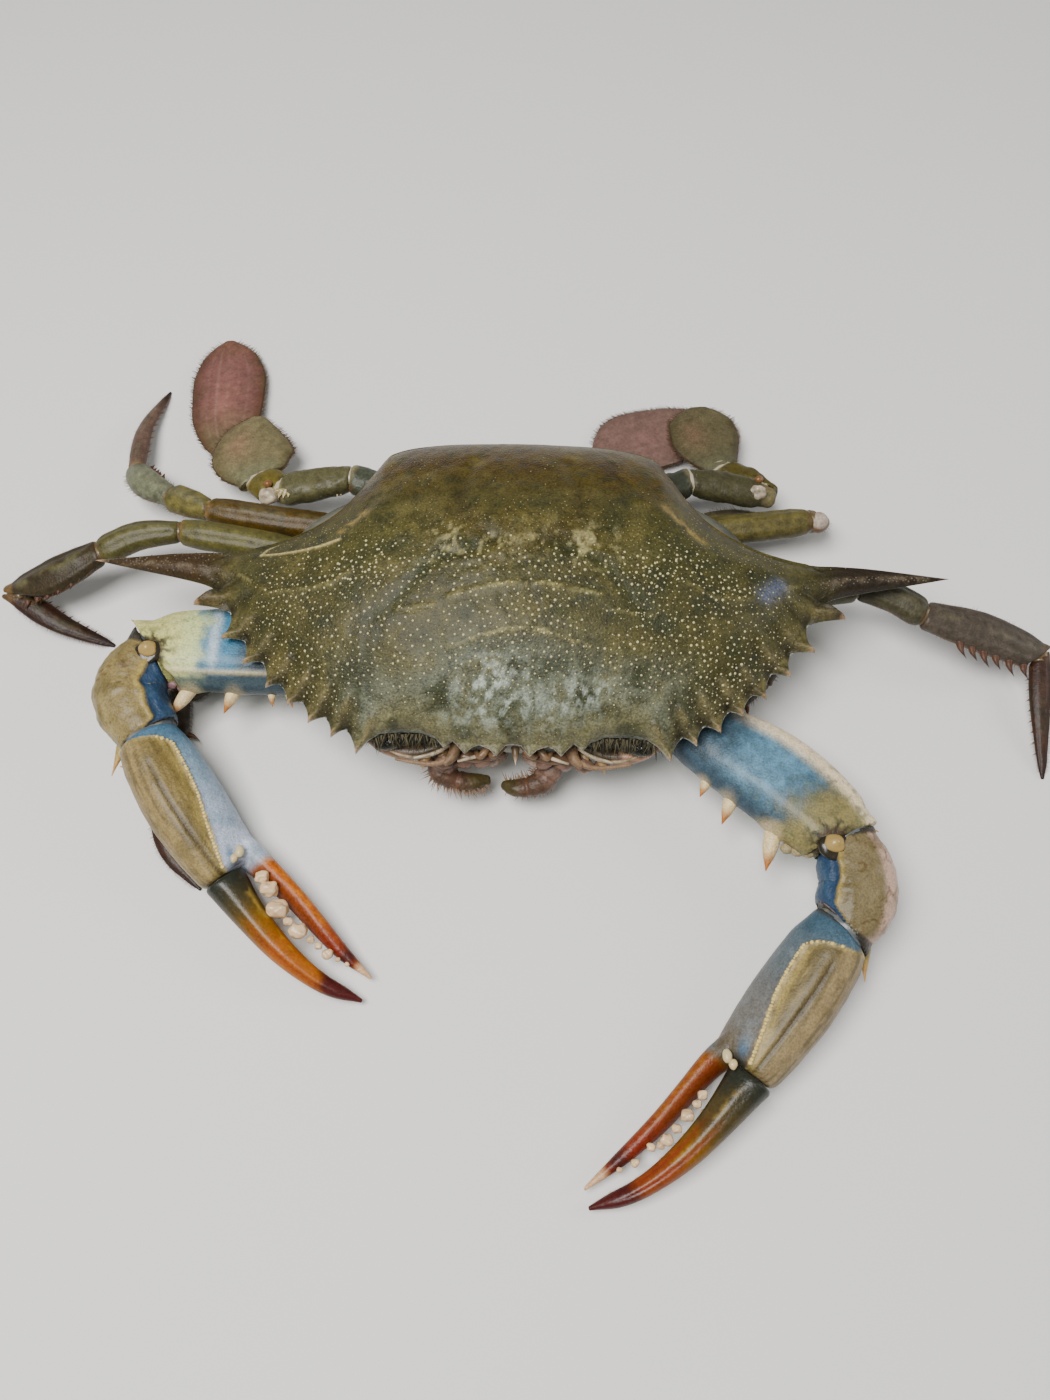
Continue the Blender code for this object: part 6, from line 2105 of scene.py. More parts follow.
    def paint_palm(self, skin: Skin) -> None:
        """Hand: an olive panel inside a beaded ridge, a blue to lavender inner face, an orange finger.

        Args:
            skin: Its surface.
        """
        t, angle = self.palm_rod.locate(skin.points)
        skin.t, skin.angle = t, angle
        grain = Grain(2.4, 58).layered(skin.points)
        fine = Grain(0.9, 59).layered(skin.points)
        outward = np.cos(np.radians(angle))
        upper = step(skin.normals[:, 2], -0.1, 0.3)
        border = self.panel_border(t)
        ridge = hump(outward, border, 0.055) * upper * step(t, 0.0, 0.1)
        groove = hump(outward, 0.62, 0.045) * upper * step(t, 0.12, 0.3) * step(t, 1.05, 0.95)
        finger = step(t, 1.02, 1.1)
        skin.raised((0.05 * grain + 0.3 * ridge - 0.22 * groove) * (1 - finger))
        panel = step(outward + 0.02 * grain, border - 0.03, border + 0.03)
        right = self.sign > 0
        skin.fill((0.23, 0.32, 0.4) if right else (0.1, 0.125, 0.14))
        skin.lay((0.42, 0.47, 0.56) if right else (0.15, 0.145, 0.135), step(t, 0.2, 0.75))
        skin.lay((0.68, 0.73, 0.84) if right else (0.12, 0.095, 0.06), step(t, 0.75, 1.0) * 0.9)
        skin.lay((0.062, 0.13, 0.2) if right else (0.045, 0.085, 0.12),
                 0.9 * step(t + 0.03 * grain, 0.3, 0.02))
        skin.lay((0.05, 0.12, 0.2), 0.8 * hump(t, 0.92, 0.05) * hump(outward, border - 0.28, 0.16))
        skin.lay((0.24, 0.33, 0.4) if right else (0.2, 0.23, 0.25),
                 0.5 * step(grain, 0.0, 0.8) * step(t, 0.15, 0.4))
        strands = Grain(1.0, 63).layered(rows_of(t * 6, angle / 5, t * 0), 2)
        skin.lay((0.152, 0.116, 0.052) if right else (0.134, 0.106, 0.053), panel)
        skin.lay((0.265, 0.205, 0.112) if right else (0.24, 0.19, 0.12), panel * step(outward, 0.62, 0.85))
        skin.lay((0.31, 0.25, 0.11) if right else (0.44, 0.35, 0.165),
                 0.6 * panel * hump(outward, border + 0.14, 0.12))
        skin.lay((0.085, 0.068, 0.034), 0.6 * panel * step(strands, 0.05, 0.7))
        skin.lay((0.32, 0.26, 0.14), 0.32 * panel * step(strands, -0.05, -0.7))
        skin.lay((0.1, 0.08, 0.038), 0.5 * panel * step(grain, 0.1, 0.9))
        skin.lay((0.04, 0.028, 0.012), 0.9 * groove)
        skin.lay((0.6, 0.47, 0.23), 0.75 * ridge * step(fine, -0.5, 0.3))
        hinge = step(t, 0.93, 0.99) * hump(outward, 0.1, 0.5) * upper
        skin.lay((0.012, 0.014, 0.012), 0.85 * hinge * (1 - finger))
        depth = 1.12 if right else 0.62
        skin.lay(tuple(depth * np.array((0.33, 0.102, 0.01))), finger)
        share, round_it = self.pollex_rod.locate(skin.points)
        keel = ribs(round_it, (90, 270), 30)
        skin.lay(tuple(depth * np.array((0.46, 0.19, 0.035))), 0.6 * finger * keel * step(fine, -0.4, 0.3))
        toothed = np.cos(np.radians(round_it))
        skin.lay((0.11, 0.026, 0.006), 0.75 * finger * step(toothed, 0.2, 0.8))
        skin.lay((0.16, 0.024, 0.006), finger * step(share, 0.5, 0.78) * 0.8)
        skin.lay((0.05, 0.01, 0.008), finger * hump(share, 0.84, 0.05))
        skin.lay((0.6, 0.4, 0.26), finger * step(share, 0.88, 0.93))
        ShellPaint.under(skin, Tone.PALE, 0.7)
        skin.lay((0.045, 0.042, 0.036), 0.85 * step(t, 0.012, -0.02))
        skin.gloss = 0.05 + 0.2 * finger

    def finger_skin(self) -> Skin:
        """The moving finger: green-black base, orange, maroon tip, with broken streaks of painted highlight.

        Returns:
            The painted surface.
        """
        heading = self.palm_rod.heading(1.0)
        place = np.asarray(self.palm[-1], float) + heading * GAP
        skin = self.finger_rod.skin(0.25, (self.reach, 0), [(place, heading)])
        grain = Grain(2.0, 60).layered(skin.points)
        groove = ribs(skin.angle, (50, 100, 330), 13)
        skin.raised(-0.14 * groove * step(skin.t, 0.0, 0.1) * step(skin.t, 0.9, 0.7))
        t = skin.t + 0.03 * grain
        depth, shift = (0.9, 0.0) if self.sign > 0 else (0.5, 0.1)
        orange = (0.34, 0.122, 0.014) if self.sign > 0 else (0.37, 0.106, 0.011)
        skin.fill(tuple(depth * np.array(orange)))
        skin.lay((0.15, 0.08, 0.02), step(t, 0.5 + shift, 0.28 + shift))
        skin.lay((0.055, 0.042, 0.018), step(t, 0.34 + shift, 0.16 + shift))
        skin.lay((0.018, 0.02, 0.014), step(t, 0.22, 0.04))
        # Painted highlight: broken pale streaks along the top of the finger.
        highlight_streak = ribs(skin.angle, (75, 255), 10)
        highlight_dashes = step(Grain(1.1, 62).at(skin.points), -0.2, 0.3)
        skin.lay((0.46, 0.33, 0.12), 0.5 * depth * highlight_streak * highlight_dashes * step(t, 0.05, 0.15) * step(t, 0.7, 0.5))
        skin.lay((0.17, 0.03, 0.005), 0.6 * groove * step(t, 0.2, 0.4))
        skin.lay((0.055, 0.01, 0.009), step(t, 0.7, 0.78))
        ShellPaint.under(skin, Tone.IVORY, 0.35)
        skin.gloss[:] = 0.25
        return skin

    def hand_skin(self) -> Skin:
        """The hand and fixed finger as one smooth surface.

        Returns:
            The surface, not yet painted.
        """
        palm = self.palm_rod
        wrist_cut = self.limb({}, {}).cuts("propodus")[0]
        body = palm.skin(0.5, (self.reach, 0), [wrist_cut, (self.palm[-1], -palm.heading(1.0))], 1.6)
        blank = placed("hand_blank", Piece("hand_blank").add(body, self.pollex_rod.skin(0.4)).mesh())
        remesh = blank.modifiers.new("weld", "REMESH")
        remesh.mode = "VOXEL"
        remesh.voxel_size = self.voxel * MM
        smooth = blank.modifiers.new("soften", "SMOOTH")
        smooth.iterations = self.smoothing
        smooth.factor = 0.5
        graph = bpy.context.evaluated_depsgraph_get()
        mesh = bpy.data.meshes.new_from_object(blank.evaluated_get(graph))
        bpy.data.objects.remove(blank)
        skin = loose_skin(vertex_values(mesh, "co") / MM, [list(face.vertices) for face in mesh.polygons],
                          vertex_values(mesh, "normal"))
        bpy.data.meshes.remove(mesh)
        return skin

    def spines(self) -> dict[str, list[Skin]]:
        """Spines of each segment, cream with orange-brown points.

        Returns:
            The spines by segment.
        """
        cream, brown = (0.76, 0.63, 0.4), (0.4, 0.17, 0.07)
        found: dict[str, list[Skin]] = {"merus": [], "carpus": [], "propodus": []}
        for root, tip, radius in self.merus_spines:
            found["merus"].append(thorn(root, tip, radius, cream, brown, fat=1.0))
        for index, spot in enumerate(self.scallops):
            tone = (0.2, 0.125, 0.135) if self.sign > 0 else (0.33, 0.28, 0.18)
            found["merus"].append(knob(spot, (1.25, 1.1, 0.9), tone, 90 + index, 0.2))
        for key, (root, tip) in (("merus", self.back_spine), ("carpus", self.carpus_spine),
                                 ("propodus", self.palm_spine)):
            found[key].append(thorn(root, tip, 1.3, (0.34, 0.28, 0.13), (0.5, 0.3, 0.14), 0.8))
        return found

    def build(self) -> None:
        """Makes the claw."""
        finishes = {"coxa": (CLAW_SHELL, Slot.ARM), "merus": (CLAW_SHELL, Slot.ARM),
                    "carpus": (CLAW_SHELL, Slot.HAND)}
        spines = self.spines()
        arm = self.limb(finishes, spines)
        for segment in finishes:
            arm.build_segment(segment)
        hand = self.hand_skin()
        self.paint(hand, "propodus")
        piece = Piece(self.prefix + "_hand").add(hand, *spines["propodus"], *self.beads(self.palm_rod))
        piece.make(CLAW_SHELL, Slot.HAND, [self.prefix + "_propodus"])
        piece = Piece(self.prefix + "_moving_finger").add(self.finger_skin())
        piece.make(FINGER_HORN, Slot.FINGER, [self.prefix + "_dactyl"])
        arm.build_membranes()
        self.build_teeth()
        self.build_hinges()

    def beads(self, palm: Rod) -> list[Skin]:
        """The row of beads along the ridge of the hand.

        Args:
            palm: The hand's rod.

        Returns:
            The beads.
        """
        upward = 1 if palm.axes(np.array([0.5]))[2][0, 2] > 0 else -1
        rows: list[Skin] = []
        for index, t in enumerate(np.linspace(0.1, 0.96, self.bead_count)):
            across = float(np.clip(self.panel_border(np.array([t]))[0], -1, 1))
            angle = upward * math.degrees(math.acos(across))
            spot, _ = palm.spot(float(t), angle, 0.12)
            size = 0.33 + 0.07 * math.sin(index * 2.1)
            rows.append(knob(spot, (size, size, size * 0.9), (0.7, 0.57, 0.29), index, 0.1, 0.16))
        return rows

    def build_teeth(self) -> None:
        """Crushing teeth of the fixed finger and the small teeth of the moving one."""
        piece = Piece(self.prefix + "_teeth")
        for index, (x, y, z, size) in enumerate(self.molars):
            tone = tuple(np.array((0.74, 0.56, 0.38)) * (1 - 0.06 * (index % 3)))
            piece.add(knob((x, y, z), (size * 1.02, size * 0.95, size * 0.9), tone, index, 0.3, 0.18, 0.78))
        for index, t in enumerate(np.linspace(0.26, 0.88, self.finger_teeth)):
            spot, _ = self.finger_rod.spot(float(t), 180.0, -0.1)
            size = (0.62 if index % 3 == 0 else 0.42) * (1.15 - 0.5 * t)
            piece.add(knob(spot, (size, size, size), Tone.IVORY, 70 + index, 0.12, 0.2))
        piece.make(TOOTH, Slot.TOOTH)

    def build_hinges(self) -> None:
        """The round condyle of the arm over a dark hollow, and the pale S-shaped knob where the finger turns.
        """
        piece = Piece(self.prefix + "_hinges")
        x, y, z = self.condyle
        piece.add(knob(self.condyle, (1.7, 1.55, 1.25), (0.38, 0.28, 0.135), 5, 0.14))
        piece.add(knob((x, y, z - 0.9), (2.7, 2.5, 1.05), (0.02, 0.016, 0.01), 8, 0.2))
        hx, hy, hz = self.hinge
        piece.add(knob(self.hinge, (0.8, 1.15, 0.75), (0.62, 0.53, 0.34), 6, 0.12))
        piece.add(knob((hx - self.sign * 0.9, hy - 1.2, hz - 0.1), (0.75, 0.9, 0.65), (0.62, 0.5, 0.31), 7,
                       0.12))
        piece.make(TOOTH, Slot.TOOTH)


def claws() -> list[Claw]:
    """Both claws, as they lie in the picture.

    Returns:
        The right claw and the left one.
    """
    right_teeth = ((-43.6, -52.6, 7.4, 1.1), (-42.1, -54.6, 7.2, 1.4), (-40.4, -58.1, 6.6, 1.7),
                   (-38.3, -60.1, 6.2, 0.8), (-36.4, -61.7, 6.0, 1.5), (-34.2, -62.9, 5.4, 0.65),
                   (-32.8, -63.9, 5.0, 0.65), (-31.2, -65.1, 4.6, 0.95), (-29.4, -65.9, 4.0, 0.45),
                   (-27.8, -66.6, 3.6, 0.45))
    left_teeth = ((32.4, -86.8, 6.6, 0.75), (31.5, -88.2, 6.4, 0.7), (29.9, -90.0, 6.0, 1.0),
                  (28.2, -92.0, 5.6, 0.75), (26.6, -93.7, 5.2, 1.05), (25.6, -94.5, 5.0, 0.6),
                  (24.1, -94.8, 4.6, 0.7), (21.5, -97.1, 4.0, 0.7), (19.1, -98.2, 3.4, 0.5))
    right = Claw(
        "claw_right",
        joints=[(-19.5, -13.0, 8.4), (-31.0, -11.6, 9.4), (-69.0, -10.8, 12.0), (-66.6, -27.4, 10.6)],
        carpus_bow=(-4.0, -0.2, 0.2), merus_bow=(0, 1.0, 0.6),
        palm=[(-67.3, -27.7, 11.2), (-58.8, -39.9, 8.7), (-49.6, -51.2, 4.9)],
        pollex=[(-49.4, -46.1, 5.2), (-43.4, -50.7, 4.8), (-38.0, -55.4, 4.3), (-33.5, -59.9, 3.8),
                (-28.8, -64.5, 3.0), (-23.6, -68.6, 2.2)],
        dactyl=[(-50.4, -52.9, 6.8), (-45.0, -59.2, 6.2), (-38.8, -65.2, 5.0), (-32.0, -69.8, 3.4),
                (-25.0, -72.4, 1.9)],
        roll=(-0.66, -0.56, 0.5), carpus_roll=(-0.9, -0.2, 0.1), palm_cut=(0.61, -0.79, -0.1),
        merus_spines=[((-60.6, -17.0, 10.6), (-64.4, -22.8, 9.4), 1.35),
                      ((-52.4, -16.6, 10.6), (-54.3, -21.9, 9.5), 1.3),
                      ((-46.1, -16.3, 10.0), (-45.5, -20.2, 9.3), 0.8),
                      ((-43.4, -16.2, 10.0), (-41.7, -20.3, 9.3), 0.65)],
        scallops=[(-68.9, -13.8, 11.6), (-66.6, -15.3, 11.3), (-64.4, -16.6, 10.9), (-62.4, -17.2, 10.5)],
        back_spine=((-69.0, -7.0, 13.0), (-73.6, -4.6, 13.4)),
        carpus_spine=((-71.6, -25.5, 9.2), (-73.6, -34.2, 7.6)),
        palm_spine=((-66.5, -34.0, 9.0), (-71.2, -33.6, 10.6)), molars=right_teeth,
        condyle=(-68.0, -12.6, 16.9), hinge=(-47.7, -48.6, 9.2), sign=1)
    left = Claw(
        "claw_left",
        joints=[(19.5, -13.0, 8.4), (28.5, -20.2, 9.4), (58.2, -44.6, 12.0), (56.2, -60.0, 10.4)],
        carpus_bow=(2.4, -0.8, 0.2), merus_bow=(1.0, 1.0, 0.6),
        palm=[(56.2, -60.0, 10.4), (48.3, -70.9, 7.2), (39.4, -82.2, 4.8)],
        pollex=[(40.2, -77.2, 5.2), (34.6, -81.4, 4.8), (30.1, -86.1, 4.3), (25.6, -90.9, 3.8),
                (20.2, -95.8, 3.0), (13.5, -101.2, 2.2)],
        dactyl=[(40.2, -84.2, 6.8), (34.6, -90.8, 6.2), (28.6, -96.6, 5.0), (21.8, -101.2, 3.4),
                (14.4, -103.9, 1.9)],
        roll=(0.66, -0.55, 0.5), carpus_roll=(0.9, 0.1, 0.1), palm_cut=(-0.78, -0.62, -0.1),
        merus_spines=[((35.3, -32.4, 10.2), (33.6, -36.1, 9.4), 1.0),
                      ((39.6, -35.4, 10.6), (37.3, -41.2, 9.4), 1.35),
                      ((46.1, -42.4, 10.8), (44.5, -49.6, 9.4), 1.5)],
        scallops=[(48.3, -45.8, 10.6), (50.0, -46.4, 11.0), (51.7, -46.6, 11.4)],
        back_spine=((58.5, -41.0, 12.8), (63.6, -43.4, 13.4)),
        carpus_spine=((60.6, -59.6, 9.0), (60.2, -68.0, 7.6)),
        palm_spine=((54.4, -66.6, 9.0), (58.6, -67.6, 10.6)), molars=left_teeth,
        condyle=(55.1, -46.7, 16.3), hinge=(36.3, -81.0, 9.0), sign=-1)
    return [right, left]


# Body

def mirrored(side: int, *points: Point) -> list[Point]:
    """Points of one side of the body, given for the left one."""
    return [(side * x, y, z) for x, y, z in points]


@dataclass
class Trunk:
    """Breast plates and side walls, the folded apron, and the mouth frame with the orbits."""

    levels: Sequence[tuple[float, float, float, float, float]] = (
        (16.5, 46.0, -28.6, 27.0, 0.75), (13.6, 38.0, -30.0, 27.6, 0.72), (10.5, 27.5, -28.6, 28.0, 0.6),
        (7.0, 22.5, -25.0, 27.4, 0.5), (2.3, 20.5, -18.5, 25.0, 0.5))
    suture_rows: Sequence[float] = (-9.0, 0.5, 10.0, 20.5)
    columns: int = 260
    bottom: float = 2.3
    first_ring: float = 2.35
    top: float = 16.5
    ring_lines: Sequence[float] = (0.1, 0.24, 0.38, 0.52, 0.68, 0.86)
    thin: float = 1.0
    lying: float = 1.08

    def breast_skin(self) -> Skin:
        """Side walls and breast as one lofted surface, with the sutures between its plates.

        Returns:
            The painted surface.
        """
        keys = sorted(self.levels)
        heights = np.concatenate([[self.bottom], np.linspace(self.first_ring, self.top, 44), [self.top]])
        turn = np.arange(self.columns) * 2 * math.pi / self.columns
        c, s = np.cos(turn), np.sin(turn)
        rings = []
        for index, z in enumerate(heights):
            half_x, front, rear, corner = (float(smooth_keys(keys, k, np.array([z]))[0])
                                           for k in (1, 2, 3, 4))
            scale = 0.02 if index in (0, len(heights) - 1) else 1.0
            x = np.sign(c) * np.abs(c) ** corner * half_x * scale
            y = (front + rear) / 2 + np.sign(s) * np.abs(s) ** corner * (rear - front) / 2 * scale
            rings.append(rows_of(x, y, np.full_like(x, z)))
        low, high = rings[1], rings[-2]
        floor = [low.mean(axis=0) + (low - low.mean(axis=0)) * share for share in np.linspace(0.1, 0.9, 16)]
        roof = [high.mean(axis=0) + (high - high.mean(axis=0)) * share for share in np.linspace(0.9, 0.1, 8)]
        grid = np.array([rings[0], *floor, *rings[1:-1], *roof, rings[-1]])
        middle = np.tile(np.array([0, 2.0, 9.0]), (len(grid), 1))
        skin = loose_skin(grid, grid_faces(*grid.shape[:2]), grid_normals(grid, middle))
        side = np.abs(skin.points[:, 0])
        flat = rows_of(side, skin.points[:, 1])
        lift = np.zeros(len(side))
        for y in self.suture_rows:
            lift -= 0.7 * beside(flat, [(6, y + 1.5), (22, y - 1.0)], 0.55)
        low = step(skin.points[:, 2], 5.0, 2.5)
        skin.raised(lift * low + 0.12 * Grain(4, 71).layered(skin.points))
        skin.fill(Tone.PALE).lay((0.3, 0.36, 0.42), 0.5 * step(Grain(7, 72).layered(skin.points), 0, 1))
        skin.lay((0.16, 0.15, 0.1), 0.8 * step(skin.points[:, 2], 10, 15))
        skin.lay((0.2, 0.17, 0.12), -lift * low)
        return skin

    def front_skins(self) -> list[Skin]:
        """Orbit lips, lower brow teeth, the epistome with its spine and the ridges of the mouth frame.

        Returns:
            The painted surfaces.
        """
        skins = [thorn((0.3, -29.6, 14.2), (0.4, -32.6, 13.6), 0.7, (0.16, 0.11, 0.07), (0.52, 0.43, 0.3),
                       0.8)]
        for side in (-1, 1):
            skins += self.side_skins(side)
        return skins

    def side_skins(self, side: int) -> list[Skin]:
        """What lies round the mouth and the orbit of one side.

        Args:
            side: -1 for the crab's right, 1 for its left.

        Returns:
            The painted surfaces.
        """
        lip = Rod(mirrored(side, (12.0, -28.4, 13.6), (17, -29.9, 13.0), (22.5, -29.4, 13.4),
                           (26.5, -27.4, 14.4)), [(0, 1.5, 1.2), (0.5, 1.9, 1.3), (1, 1.3, 1.2)],
                  (0, 1, 0)).skin(0.3)
        outer = step(side * lip.points[:, 0], 17, 21) * (0.9 if side > 0 else 0.35)
        skins = [lip.fill((0.075, 0.055, 0.032)).lay((0.4, 0.25, 0.18), outer).speckle(0.9, 83, 0.7)]
        ridge = Rod(mirrored(side, (12.6, -30.4, 13.9), (16.2, -31.6, 13.7), (20.5, -31.3, 14.0),
                             (25.4, -29.0, 15.0)), [(0, 0.2, 0.2), (0.5, 0.28, 0.28), (1, 0.16, 0.16)])
        skins.append(ridge.skin(0.2).fill((0.34, 0.27, 0.19)).speckle(0.9, 85, 0.65))
        frame = Rod(mirrored(side, (2.0, -29.8, 12.4), (6.5, -31.0, 12.8), (11.5, -30.4, 12.6)),
                    [(0, 0.9, 0.9), (0.5, 1.1, 1.0), (1, 0.9, 0.9)])
        skins.append(frame.skin(0.3).fill((0.14, 0.085, 0.055)))
        for root, tip, radius in (((15.6, -29.4, 12.6), (16.4, -33.3, 12.0), 1.2),
                                  ((12.6, -29.4, 12.6), (13.4, -32.3, 12.3), 0.9)):
            root, tip = mirrored(side, root, tip)
            skins.append(thorn(root, tip, radius, (0.34, 0.24, 0.13), (0.55, 0.4, 0.24), 0.6))
        for line in (((11.0, -29.4, 14.8), (14.0, -31.2, 14.7), (17.6, -32.2, 14.6)),
                     ((3.0, -29.9, 14.8), (6.2, -31.4, 14.6), (9.8, -32.6, 14.5))):
            curl = Rod(mirrored(side, *line), [(0, 0.22, 0.22), (0.5, 0.36, 0.36), (1, 0.2, 0.2)])
            skins.append(curl.skin(0.18).fill((0.46, 0.39, 0.29)).speckle(1.1, 89, 0.5))
        for x, y, z, size in ((9.0, -31.2, 11.2, 1.9), (5.6, -31.2, 11.6, 1.6), (12.6, -31.4, 11.4, 1.8),
                              (16.0, -31.0, 11.0, 1.5)):
            skins.append(knob((side * x, y, z), (size, size * 0.8, size * 0.8), (0.17, 0.11, 0.085),
                              int(x * 7), 0.25))
        for k, x in enumerate((1.8, 4.2)):
            antennule = Rod(mirrored(side, (x, -29.6, 15.6), (x + 1.6, -31.8, 15.5 - 0.3 * k),
                                     (x + 2.6, -30.6, 14.6)),
                            [(0, 0.8, 0.7), (0.6, 0.6, 0.6), (1, 0.35, 0.35)])
            skins.append(antennule.skin(0.25).fill((0.17, 0.11, 0.07)).speckle(0.8, 80 + k, 0.4))
        return skins

    def apron_skin(self) -> Skin:
        """Broad rounded apron of a grown female, with the lines between its rings.

        Returns:
            The painted surface.
        """
        half, lying = self.thin, self.lying
        path = [(0, 30.4, 15.6), (0, 32.6, 12.0), (0, 32.8, 7.0), (0, 31.0, 2.6), (0, 26.5, lying),
                (0, 18, lying), (0, 8, lying), (0, -2, lying), (0, -11, lying)]
        girth = [(0, 12.5, half), (0.1, 14.6, half), (0.2, 16.4, half), (0.3, 17.3, half), (0.5, 17.5, half),
                 (0.72, 16, half), (0.88, 10, half), (0.94, 5.4, half), (1, 2.2, half)]
        skin = Rod(path, girth, (1, 0, 0), 3.4).skin(0.36)
        across = np.abs(skin.points[:, 0])
        lines = sum(hump(skin.t, place + 0.00006 * across.clip(0, 20) ** 2, 0.006)
                    for place in self.ring_lines)
        valleys = sum(hump(skin.t, place, 0.022) for place in self.ring_lines)
        ends = step(across, 11.0, 16.0)
        grain = Grain(3, 75).layered(skin.points)
        crest = sum(hump(skin.t, place, 0.014) for place in (0.055, 0.18, 0.31)) * step(across, 15.5, 12.5)
        skin.raised(-0.3 * lines - (0.15 + 0.75 * ends) * valleys + 0.3 * crest + 0.06 * grain)
        skin.fill((0.5, 0.53, 0.5)).lay((0.24, 0.25, 0.2), 0.6 * lines)
        skin.lay((0.22, 0.26, 0.3), 0.5 * hump(across, 0, 4) * step(skin.t, 0.3, 0.6))
        rear = step(skin.t, 0.36, 0.14)
        skin.lay((0.15, 0.145, 0.085), 0.85 * rear)
        skin.lay((0.22, 0.26, 0.27), 0.5 * rear * step(grain, 0.1, 0.8))
        skin.lay((0.34, 0.31, 0.21), 0.6 * crest)
        skin.lay((0.06, 0.048, 0.026), 0.7 * valleys * rear)
        skin.speckle(0.9, 76, 0.2)
        return skin

    def build(self) -> None:
        """Makes the body's pieces."""
        trunk = Piece("thorax_shell").add(self.breast_skin(), *self.front_skins())
        trunk.make(BELLY, Slot.BELLY, ["thorax"])
        Piece("apron_shell").add(self.apron_skin()).make(BELLY, Slot.BELLY, ["abdomen"])


